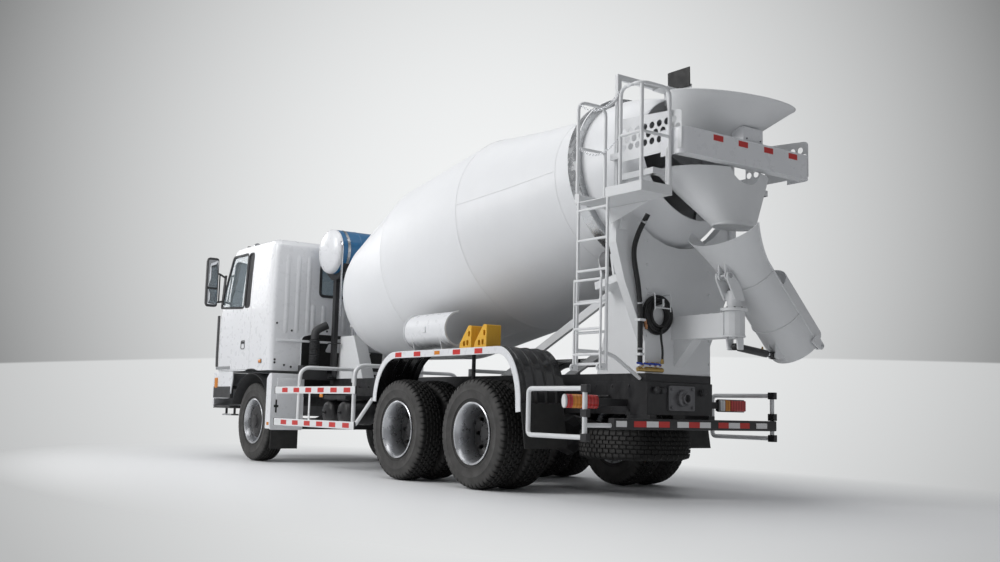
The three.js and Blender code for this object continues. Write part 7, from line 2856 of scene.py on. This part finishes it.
    def side_sheet(self) -> Surface:
        """The left perforated guard: rows of round holes, each row half a step on.

        Returns:
            The sheet.
        """
        x, pitch, tall = 0.8425, 0.0885, 0.070
        rows = [(7.036 + (j % 2) * pitch / 2 + i * pitch, 3.125 + j * tall)
                for j in range(3) for i in range(8)]

        def plane(value: float) -> Callable[[Array], Array]:
            """Places the sheet's two coordinates at one x."""
            return lambda flat: np.concatenate(
                [np.full(flat.shape[:-1] + (1,), value), flat + [FRONT_AXLE, 0.0]], axis=-1)

        cells = pierced(np.array(rows), (pitch / 2, tall / 2), (0.031, 0.031), plane(x),
                        plane(x - 0.004))
        ends = [side_shape(oblong((y, y + pitch / 2), (z, z + tall)), (x - 0.004, x))
                for y, z in ((7.6998, 3.09), (6.9918, 3.16), (7.6998, 3.23))]
        low = side_shape(oblong((6.992, 7.744), (3.002, 3.09)), (x - 0.004, x))
        top = side_shape(np.concatenate([[(6.992, 3.30), (7.744, 3.30)],
                                         arc((7.69, 3.30), (0.054, 0.044), 0, 90, 8),
                                         [(6.992, 3.396)]]), (x - 0.004, x))
        return merged([cells, low, top, *ends])

    def guard(self) -> None:
        """The board behind the hoppers with its red marks, and the perforated sides."""
        half, back = self.guard_x - 0.004, 7.770
        path = bent([(half, at(7.50), 3.075), (half, at(back), 3.075), (-half, at(back), 3.075),
                     (-half, at(7.50), 3.075)], 0.085, 8)
        board = sweep(oblong((-0.0035, 0.0035), (-0.115, 0.115)), path, (0, 0, 1))
        rolls = [sweep(round_section(0.006, 8), path + [0, 0, z], (0, 0, 1))
                 for z in (-0.109, 0.109)]
        piece("guard_board", [board, *rolls], WHITE, "chassis", replaces=["hopper_guard"])
        sheet = self.side_sheet()
        arms = [pair(slab((0.7925, 0.8435), (6.857, 6.891), (3.042, 3.098)), out)
                for out in (1, -1)]
        arms += [pair(slab((0.833, 0.8425), (6.88, 7.0), (3.043, 3.097)), out)
                 for out in (1, -1)]
        under = prism(oblong((-0.8, 0.8), (at(7.66), at(7.765))), Axis.Z, 2.962, 2.967)
        piece("guard_sides", [both_sides(sheet), *arms, under], STEEL_WHITE, "chassis", 0.0)
        marks = [slab((x - 0.062, x + 0.062), (7.7733, 7.7742), (3.120, 3.172))
                 for x in (0.42, 0.10, -0.24, -0.58)]
        piece("guard_marks", marks, TAPE_RED, "chassis")
        box = [slab((-0.20, 0.06), (7.60, 7.745), (3.19, 3.33)),
               slab((-0.16, 0.02), (7.70, 7.752), (3.08, 3.20))]
        piece("guard_box", box, WHITE, "chassis", 0.008)
        heads = bolts(spots(*[(x, 7.745, 3.22) for x in (-0.16, 0.02)]), (0, 1, 0), 0.008, 0.005)
        piece("guard_bolts", heads, IRON, "chassis")

    def build(self) -> None:
        """Makes them."""
        self.collecting()
        self.charging()
        self.guard()


@dataclass
class Platform:
    """The service platform, its rails and chain, the ladder and its folding step."""

    rail: float = 0.0165
    top: float = 3.532

    def chain(self, start: Point, end: Point, sag: float, links: int) -> Surface:
        """A hanging chain: each link a long ring, every other one turned on its side.

        Args:
            start: where it hangs from.
            end: where it hangs to.
            sag: how far its middle hangs below the straight line.
            links: how many links it has.

        Returns:
            The chain.
        """
        t = (np.arange(links) + 0.5) / links
        line = np.asarray(start)[None] * (1 - t[:, None]) + np.asarray(end)[None] * t[:, None]
        line[:, 2] -= sag * 4 * t * (1 - t)
        way = run_of(line)
        length = 0.58 * np.linalg.norm(np.diff(line, axis=0), axis=1).mean()
        made = []
        for number, (point, run) in enumerate(zip(line, way)):
            u, v, w = frame_of(run)
            side = u if number % 2 else v
            angle = circle(8)[:, None]
            path = point + w * np.cos(angle) * length + side * np.sin(angle) * 0.0095
            made.append(sweep(round_section(0.003, 4), path, np.cross(w, side), looped=True))
        return merged(made)

    def deck(self) -> None:
        """The tray, its kick plates and the arm to the rear plate."""
        parts = [slab((0.853, 1.207), (6.80, 7.645), (2.602, 2.611)),
                 slab((0.690, 0.855), (6.805, 6.841), (2.592, 2.648)),
                 slab((0.8515, 0.8595), (6.799, 7.30), (2.6015, 2.6885)),
                 slab((0.851, 1.209), (6.798, 6.806), (2.601, 2.689)),
                 slab((0.851, 1.209), (7.639, 7.647), (2.601, 2.689)),
                 slab((1.2, 1.2085), (6.799, 6.86), (2.6015, 2.6885)),
                 slab((1.2, 1.2085), (7.20, 7.646), (2.6015, 2.6885)),
                 side_shape([(6.81, 2.60), (7.40, 2.60), (6.84, 2.44)], (0.853, 0.861)),
                 slab((0.70, 0.860), (6.86, 6.89), (2.56, 2.60))]
        piece("platform_tray", parts, STEEL_WHITE, "chassis", 0.003,
              ["service_platform"])
        studs = bolts(spots(*[(0.89 + i * 0.056, 6.86 + j * 0.06, 2.611) for i in range(6)
                              for j in range(13)]), (0, 0, 1), 0.009, 0.003, 6)
        piece("platform_studs", studs, STEEL_WHITE, "chassis")

    def rails(self) -> None:
        """The hoops over the deck, with their middle rails and the chain."""
        r, top = self.rail, self.top
        tubes = [tube(spots((0.867, 6.817, 2.61), (0.867, 6.817, top), (1.193, 6.817, top),
                            (1.193, 6.817, 2.61)), r, 0.09),
                 tube(spots((1.193, 7.371, 2.61), (1.193, 7.371, top), (1.193, 7.628, top),
                            (0.867, 7.628, top), (0.867, 7.628, 2.61)), r, 0.09),
                 tube(spots((1.193, 7.628, 2.61), (1.193, 7.628, top - 0.02)), r),
                 tube(spots((0.867, 6.817, 3.11), (1.193, 6.817, 3.11)), 0.0135),
                 tube(spots((1.193, 7.371, 3.11), (1.193, 7.628, 3.11), (0.867, 7.628, 3.11)),
                      0.0135, 0.03),
                 tube(spots((0.867, 7.60, 2.66), (0.867, 7.60, 2.96), (0.867, 7.60, 3.02),
                            (0.80, 7.60, 3.05), (0.79, 7.50, 3.05)), 0.0135, 0.09),
                 tube(spots((0.867, 6.817, top), (0.80, 6.90, top + 0.08), (0.767, 6.88, 3.70)),
                      0.0125, 0.06)]
        piece("platform_rails", tubes, STEEL_WHITE, "chassis")
        chains = [self.chain(*spots((1.193, 6.84, z), (1.193, 7.35, z)), 0.10, 26)
                  for z in (3.50, 3.10)]
        piece("platform_chains", chains, CHROME, "chassis")

    def ladder(self) -> None:
        """Stiles, rungs, the stay to the frame and the plates of the folding step."""
        parts = [slab((1.186, 1.209), (y - 0.011, y + 0.011), (1.124, 2.61))
                 for y in (6.844, 7.224)]
        rungs = [tube(spots((1.197, 6.845, z), (1.197, 7.223, z)), 0.0125)
                 for z in np.arange(1.180, 2.6, 0.270)]
        stays = [tube(spots((1.195, 6.844, 1.30), (0.800, 6.844, 1.30), (0.435, 6.844, 1.085)),
                      0.0175, 0.12)]
        for y in (6.844, 7.224):
            plate = rounded(oblong((1.201, 1.268), (1.124, 1.182)), 0.018)
            parts.append(prism(plate, Axis.Y, at(y - 0.006), at(y + 0.006)))
        piece("ladder", parts + rungs + stays, STEEL_WHITE, "chassis", 0.003)
        pins = [tube(spots((1.256, y - 0.014, 1.150), (1.256, y + 0.014, 1.150)), 0.0078)
                for y in (6.844, 7.224)]
        piece("ladder_pins", pins, STEEL, "chassis")
        steps = []
        for y in (6.856, 7.198):
            steps.append(slab((1.230, 1.249), (y - 0.0075, y + 0.0075), (1.165, 1.914)))
            steps.append(lathe(oblong((0.0088, 0.027), (-0.0075, 0.0075)),
                               spots((1.256, y, 1.150))[0], (0, 1, 0), 24, closed=True))
        steps += [tube(spots((1.239, 6.858, z), (1.239, 7.196, z)), 0.0115)
                  for z in (1.26, 1.48, 1.70, 1.90)]
        piece("folding_step", steps, STEEL_WHITE, "ladder_step", 0.002, ["ladder_step"])

    def build(self) -> None:
        """Makes them."""
        self.deck()
        self.rails()
        self.ladder()


@dataclass
class Chutes:
    """The two discharge chutes, their turning post and the jack."""

    middle: float = at(7.575)
    top: tuple[float, float] = (0.13424, 2.4185)
    radius: float = 0.250
    mouth: float = 0.390

    def place(self, flat: Array) -> Array:
        """x and z of points given along the chute and square to it, downwards.

        Args:
            flat: distances along the chute and below its axis.

        Returns:
            The same points as x and z.
        """
        flat = np.asarray(flat, float)
        t, n = flat[..., 0], flat[..., 1]
        c = math.sqrt(0.5)
        return np.stack([self.top[0] - c * t + c * n, self.top[1] - c * t - c * n], axis=-1)

    def gutter(self, start: float, end: float, rows: int, flared: bool, up: bool,
               lift: float = 0.0) -> tuple[Surface, Surface]:
        """A half-round trough with rolled edges.

        Point (t, a) lies t along the chute, r cos a wide across it and -r sin a below it, wide
        being 1 + (mouth / r - 1)(1 - t / 0.43)^1.5 near a flared end.

        Args:
            start: where it begins along the chute.
            end: where it ends.
            rows: how many sections it has.
            flared: whether its first end opens out.
            up: whether it is folded over, with its back up.
            lift: how far it lies below the chute's axis.

        Returns:
            The trough and its two rolled edges.
        """
        t = np.linspace(start, end, rows)[:, None]
        a = np.radians(np.linspace(180, 360, 41))[None, :]
        share = np.clip(1 - t / 0.43, 0, 1) ** 1.5 if flared else 0 * t
        wide = 1 + (self.mouth / self.radius - 1) * share
        down = -self.radius * np.sin(a) * (-1 if up else 1) + lift
        flat = np.stack([t + 0 * a, down + 0 * t], axis=2)
        xz = self.place(flat)
        grid = np.stack([xz[..., 0], self.middle + self.radius * np.cos(a) * wide, xz[..., 1]],
                        axis=2)
        turn = grid_normals(grid)[rows // 2, 20]
        outward = self.place(np.array([0.0, -1.0 if up else 1.0])) - self.place(np.zeros(2))
        sheet = skin(grid, 0.0055 if turn[0] * outward[0] + turn[2] * outward[1] > 0 else -0.0055)
        edges = [sweep(round_section(0.009, 8), grid[:, k], (0, 1, 0)) for k in (0, -1)]
        return sheet, merged(edges)

    def lug(self, t: float, n: float, eye: float, y: Point) -> list[Surface]:
        """A pair of plates from the trough's wall to an eye.

        Args:
            t: the eye's distance along the chute.
            n: its distance below the chute's axis.
            eye: its outer radius.
            y: the near and far face of a plate, from the middle.

        Returns:
            The two plates.
        """
        flat = np.concatenate([[(t - 0.10, 0.246), (t + 0.10, 0.246)],
                               arc((t, n), eye, 0, 180, 10)])
        outline = self.place(flat)
        return [prism(outline, Axis.Y, self.middle + s * y[0], self.middle + s * y[1])
                for s in (1, -1)]

    def build(self) -> None:
        """Makes them."""
        sheet, edges = self.gutter(0.001, 1.394, 48, True, False)
        parts = [sheet, edges, *self.lug(0.306, 0.300, 0.036, (0.030, 0.045)),
                 *self.lug(1.250, 0.300, 0.032, (0.030, 0.045))]
        for t in (0.52, 1.02):
            a = np.radians(np.linspace(182, 358, 40))
            flat = np.stack([np.full(40, t), -0.2535 * np.sin(a)], axis=1)
            xz = self.place(flat)
            path = np.stack([xz[:, 0], self.middle + 0.2535 * np.cos(a), xz[:, 1]], axis=1)
            parts.append(sweep(round_section(0.007, 6), path, (1, 0, 1)))
        for s in (1, -1):
            outline = self.place(rounded([(1.30, -0.03), (1.442, -0.03), (1.442, 0.03),
                                          (1.30, 0.07)], 0.025))
            parts.append(prism(outline, Axis.Y, self.middle + s * 0.259,
                               self.middle + s * 0.281))
        piece("main_trough", parts, STEEL_WHITE, "main_chute", replaces=["main_chute"])
        sheet, edges = self.gutter(0.698, 1.386, 26, False, True, -0.008)
        parts = [sheet, edges]
        for s in (1, -1):
            outline = self.place(rounded([(1.30, -0.045), (1.44, -0.03), (1.44, 0.03),
                                          (1.38, 0.028), (1.30, -0.012)], 0.02))
            parts.append(prism(outline, Axis.Y, self.middle + s * 0.219,
                               self.middle + s * 0.237))
        piece("extension_trough", parts, STEEL_WHITE, "extension_chute",
              replaces=["extension_chute"])
        x, z = self.place(np.array([1.413, 0.0]))
        hinge = [tube([(x, self.middle + s * 0.219, z), (x, self.middle + s * 0.292, z)], 0.0105)
                 for s in (1, -1)]
        piece("chute_hinge_pins", hinge, STEEL, "main_chute")
        self.post()
        self.jack()

    def post(self) -> None:
        """The turning post with its head and the lugs for the chute and the jack."""
        centre = (0.0, self.middle, 0.0)
        barrel = lathe([(0.050, 1.442), (0.050, 1.686), (0.118, 1.687), (0.1195, 1.692),
                        (0.1195, 1.708), (0.118, 1.7135), (0.062, 1.715), (0.062, 1.862),
                        (0.058, 1.869)], centre, (0, 0, 1), 48)
        parts = [barrel, block((-0.057, 0.057), (self.middle - 0.056, self.middle + 0.056),
                               (1.786, 1.849))]
        head = rounded([(-0.06, 1.78), (0.06, 1.78), (0.166, 1.96), (0.160, 2.02),
                        (0.104, 2.02), (-0.02, 1.90)], 0.015)
        foot = rounded([(-0.05, 1.453), (0.034, 1.453), (0.02, 1.345), (-0.05, 1.345)], 0.012)
        for s in (1, -1):
            parts.append(prism(head, Axis.Y, self.middle + s * 0.054, self.middle + s * 0.072))
            parts.append(prism(foot, Axis.Y, self.middle + s * 0.049, self.middle + s * 0.067))
        piece("post_body", parts, STEEL_WHITE, "chute_post", 0.002, ["chute_post"])
        pins = [tube([(0.130, self.middle - 0.084, 1.990), (0.130, self.middle + 0.084, 1.990)],
                     0.0215, sides=24),
                tube([(-0.020, self.middle - 0.0665, 1.375),
                      (-0.020, self.middle + 0.0665, 1.375)], 0.0155, sides=20)]
        piece("post_pins", pins, STEEL, "chute_post")
        heads = bolts([(0.092 * math.cos(a), self.middle + 0.092 * math.sin(a), 1.7135)
                       for a in circle(8)], (0, 0, 1), 0.010, 0.009)
        piece("post_bolts", heads, IRON, "chute_post")

    def jack(self) -> None:
        """The jack between the post and the chute: barrel, its ports, rod and eyes."""
        foot = np.array([-0.020, self.middle, 1.375])
        head = np.array([-0.5375, self.middle, 1.3225])
        way = (head - foot) / np.linalg.norm(head - foot)
        reach = 0.4202
        barrel = [lathe([(0.024, 0.030), (0.033, 0.040), (0.034, 0.052), (0.034, reach - 0.03),
                         (0.0335, reach - 0.028), (0.0335, reach - 0.006), (0.026, reach)],
                        foot, way, 32),
                  lathe(oblong((0.0166, 0.0315), (-0.023, 0.023)),
                        foot, (0, 1, 0), 28, closed=True)]
        piece("jack_tube", barrel, BLACK, "jack_barrel", replaces=["jack_barrel"])
        ports = [lathe([(0.010, 0.030), (0.010, 0.046), (0.007, 0.048), (0.007, 0.056)],
                       foot + way * s, (0, 0, 1), 10) for s in (0.08, reach - 0.06)]
        piece("jack_ports", ports, BRASS, "jack_barrel")
        rod = [lathe([(0.0175, 0.10), (0.0178, 0.488), (0.016, 0.490)], foot, way, 24)]
        piece("jack_shaft", rod, CHROME, "jack_rod", replaces=["jack_rod"])
        eye = [lathe(oblong((0.0225, 0.0355), (-0.0215, 0.0215)), head, (0, 1, 0), 28,
                     closed=True),
               lathe([(0.023, 0.455), (0.025, 0.46), (0.025, 0.488)], foot, way, 20)]
        piece("jack_eye", eye, BLACK, "jack_rod")


@dataclass
class Pedestals:
    """The frame nodes at the drum's two ends that stay, and what is bolted to them."""

    frame: dict[str, Any]

    def build(self) -> None:
        """Finishes the nodes and adds their bolts and a swivel ring."""
        nodes = self.frame["nodes"]
        for name in ("front_pedestal", "rear_pedestal"):
            repaint(nodes[name], STEEL_WHITE)
        heads = [bolts(spots(*[(s * 0.41, 6.90, z) for z in np.arange(1.25, 2.5, 0.22)
                               for s in (1, -1)]), (0, 1, 0), 0.013, 0.011),
                 bolts(spots(*[(s * 0.06, y, 1.67) for y in np.arange(7.0, 7.5, 0.12)
                               for s in (1, -1)]), (0, 0, 1), 0.011, 0.010)]
        piece("pedestal_bolts", heads, STEEL_WHITE, "chassis")
        ring = lathe([(0.0955, 1.456), (0.101, 1.458), (0.101, 1.474), (0.0955, 1.476)],
                     (0, at(7.575), 0), (0, 0, 1), 40, closed=True)
        piece("swivel_rings", [ring], STEEL_WHITE, "chassis")


MAKERS: tuple[type, ...] = (WashHose, Plumbing, Wheels, Drum, Cab, Guards, Chassis, Hoppers,
                            Platform, Chutes, Pedestals)
TAKES_FRAME: tuple[type, ...] = (Chassis, Pedestals)


# ---------------------------------------------------------------- stage


@dataclass
class Studio:
    """The floor, the backdrop, the lamps and the camera."""

    floor_half: float = 60.0
    camera_place: tuple[float, float, float] = (7.27934, 10.62303, 0.776445)
    camera_yaw: float = -2.2053626
    camera_pitch: float = 0.1191207
    camera_roll: float = 0.0239499
    lens: float = 38.612
    bright: tuple[float, float, float] = (0.985, 0.998, 1.0)
    plain: tuple[float, float, float] = (0.66, 0.675, 0.68)
    darkest: float = 0.2
    middle: float = 0.90
    wall_fall: float = 3.0
    floor_fall: float = 1.6
    horizon: tuple[float, float] = (-0.0700, -0.0685)
    floor_colour: tuple[float, float, float] = (0.90, 0.91, 0.92)
    floor_oval: tuple[float, float, float] = (1.9, 1.0, 1.0)
    floor_edge: tuple[float, float] = (4.6, 9.5)
    ambient: tuple[float, float, float] = (0.62, 0.63, 0.65)
    ambient_power: float = 0.44
    lamps: tuple[tuple[str, Point, Point, float, float], ...] = (
        ("key", (13.0, -3.0, 9.5), (0, 0.5, 1.6), 7.0, 1150.0),
        ("top", (1.0, 1.0, 11.0), (0, 0.5, 1.6), 9.0, 420.0),
        ("front", (3.0, -14.0, 6.0), (0, 0.0, 1.6), 6.0, 330.0))

    def camera_axes(self) -> tuple[Vector, Vector, Vector]:
        """The camera's directions ahead, right and up, from its yaw, pitch and roll.

        Returns:
            Unit vectors.
        """
        yaw, pitch, roll = self.camera_yaw, self.camera_pitch, self.camera_roll
        ahead = Vector((math.cos(pitch) * math.cos(yaw), math.cos(pitch) * math.sin(yaw),
                        math.sin(pitch)))
        right = ahead.cross(Vector((0, 0, 1))).normalized()
        up = right.cross(ahead)
        return (ahead, right * math.cos(roll) + up * math.sin(roll),
                up * math.cos(roll) - right * math.sin(roll))

    def tone(self, nodes: Nodes, way: Any, fall: float) -> Any:
        """A backdrop grey: middle - fall d^2 near the bright spot, and even far from it.

        d is the distance between the way looked along and the way to the bright spot.

        Args:
            nodes: the tree that the tone is written in.
            way: the unit vector looked along.
            fall: how fast the grey falls away from the spot.

        Returns:
            The colour's output.
        """
        ahead, _, up = self.camera_axes()
        spot = (ahead + up * 0.05).normalized()
        off = nodes.add("VectorMath", {0: way, 1: spot}, operation="DISTANCE").outputs["Value"]
        drop = nodes.maths("MULTIPLY", nodes.maths("MULTIPLY", off, off), fall)
        grey = nodes.maths("MAXIMUM", nodes.maths("SUBTRACT", self.middle, drop),
                           self.darkest)
        near = nodes.mix(grey, (0, 0, 0, 1), (*self.bright, 1))
        return nodes.mix(nodes.span(off, 0.50, 0.66), near, (*self.plain, 1))

    def camera(self) -> None:
        """The camera, at the rear left corner, low and looking slightly up."""
        ahead, turned_right, turned_up = self.camera_axes()
        data = bpy.data.cameras.new("camera")
        data.lens, data.sensor_width = self.lens, 36.0
        data.clip_end = 300.0
        made = bpy.data.objects.new("camera", data)
        matrix = Matrix((turned_right, turned_up, -ahead)).transposed().to_4x4()
        matrix.translation = Vector(self.camera_place)
        made.matrix_world = matrix
        bpy.context.scene.collection.objects.link(made)
        bpy.context.scene.camera = made

    def floor(self) -> None:
        """A pale, smooth floor. Far from the truck it glows for the camera with painted light: the
        backdrop's grey, brightest near the middle of the view.
        """
        h = self.floor_half
        surface = Surface(np.array([(-h, -h, 0), (h, -h, 0), (h, h, 0), (-h, h, 0)], float),
                          np.array([[0, 1, 2, 3]]))
        made = keep_object("floor", mesh_of("floor", surface))
        material = bpy.data.materials.new("floor")
        material.use_nodes = True
        nodes = Nodes(material.node_tree)
        shader = nodes.add("BsdfPrincipled", {"Base Color": (*self.floor_colour, 1),
                                              "Roughness": 0.42, "Specular IOR Level": 0.35})
        place = nodes.add("TexCoord").outputs["Object"]
        ray = nodes.add("VectorMath", {0: place, 1: self.camera_place},
                        operation="SUBTRACT").outputs[0]
        way = nodes.add("VectorMath", {0: ray}, operation="NORMALIZE").outputs[0]
        # Painted light: far from the truck the floor glows for the camera with the backdrop's
        # grey, brightest near the middle of the view.
        glow = nodes.add("Emission", {"Color": self.tone(nodes, way, self.floor_fall)})
        oval = nodes.add("Mapping", {"Vector": place, "Scale": self.floor_oval}).outputs[0]
        away = nodes.add("VectorMath", {0: oval}, operation="LENGTH").outputs["Value"]
        seen = nodes.maths("MULTIPLY", nodes.span(away, *self.floor_edge),
                           nodes.add("LightPath").outputs["Is Camera Ray"])
        both = nodes.add("MixShader", {0: seen, 1: shader.outputs[0], 2: glow.outputs[0]})
        nodes.finish("OutputMaterial", both)
        made.data.materials.append(material)

    def lamp(self, name: str, place: Point, target: Point, size: float, power: float) -> None:
        """One square soft lamp aimed at a point.

        Args:
            name: the lamp's name.
            place: where it hangs.
            target: what it is aimed at.
            size: its side.
            power: its watts.
        """
        data = bpy.data.lights.new(name, "AREA")
        data.size, data.energy = size, power
        made = bpy.data.objects.new(name, data)
        made.location = place
        made.rotation_mode = "QUATERNION"
        made.rotation_quaternion = (Vector(target) - Vector(place)).to_track_quat("-Z", "Y")
        bpy.context.scene.collection.objects.link(made)

    def world(self) -> None:
        """Pale grey all round, a little darker away from the middle for the camera."""
        world = bpy.data.worlds.new("studio")
        bpy.context.scene.world = world
        world.use_nodes = True
        nodes = Nodes(world.node_tree)
        way = nodes.add("TexCoord").outputs["Generated"]
        rise = nodes.add("VectorMath", {0: way, 1: self.camera_axes()[2]},
                         operation="DOT_PRODUCT").outputs["Value"]
        seen = nodes.mix(nodes.span(rise, *self.horizon), self.tone(nodes, way, self.floor_fall),
                         self.tone(nodes, way, self.wall_fall))
        path = nodes.add("LightPath").outputs["Is Camera Ray"]
        colour = nodes.mix(path, (*self.ambient, 1), seen)
        strength = nodes.maths("ADD", nodes.maths("MULTIPLY", path, 1 - self.ambient_power),
                               self.ambient_power)
        nodes.finish("OutputWorld",
                     nodes.add("Background", {"Color": colour, "Strength": strength}))

    def build(self) -> None:
        """Sets the stage."""
        self.camera()
        self.floor()
        self.world()
        for values in self.lamps:
            self.lamp(*values)


def main() -> None:
    """Builds every sub-assembly round the frame."""
    logging.basicConfig(level=logging.INFO, format="%(name)s %(message)s")
    view = bpy.context.scene.view_settings
    view.view_transform = "Standard"
    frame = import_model()
    Studio().build()
    for maker in MAKERS:
        maker(frame).build() if maker in TAKES_FRAME else maker().build()


if __name__ == "__main__":
    main()
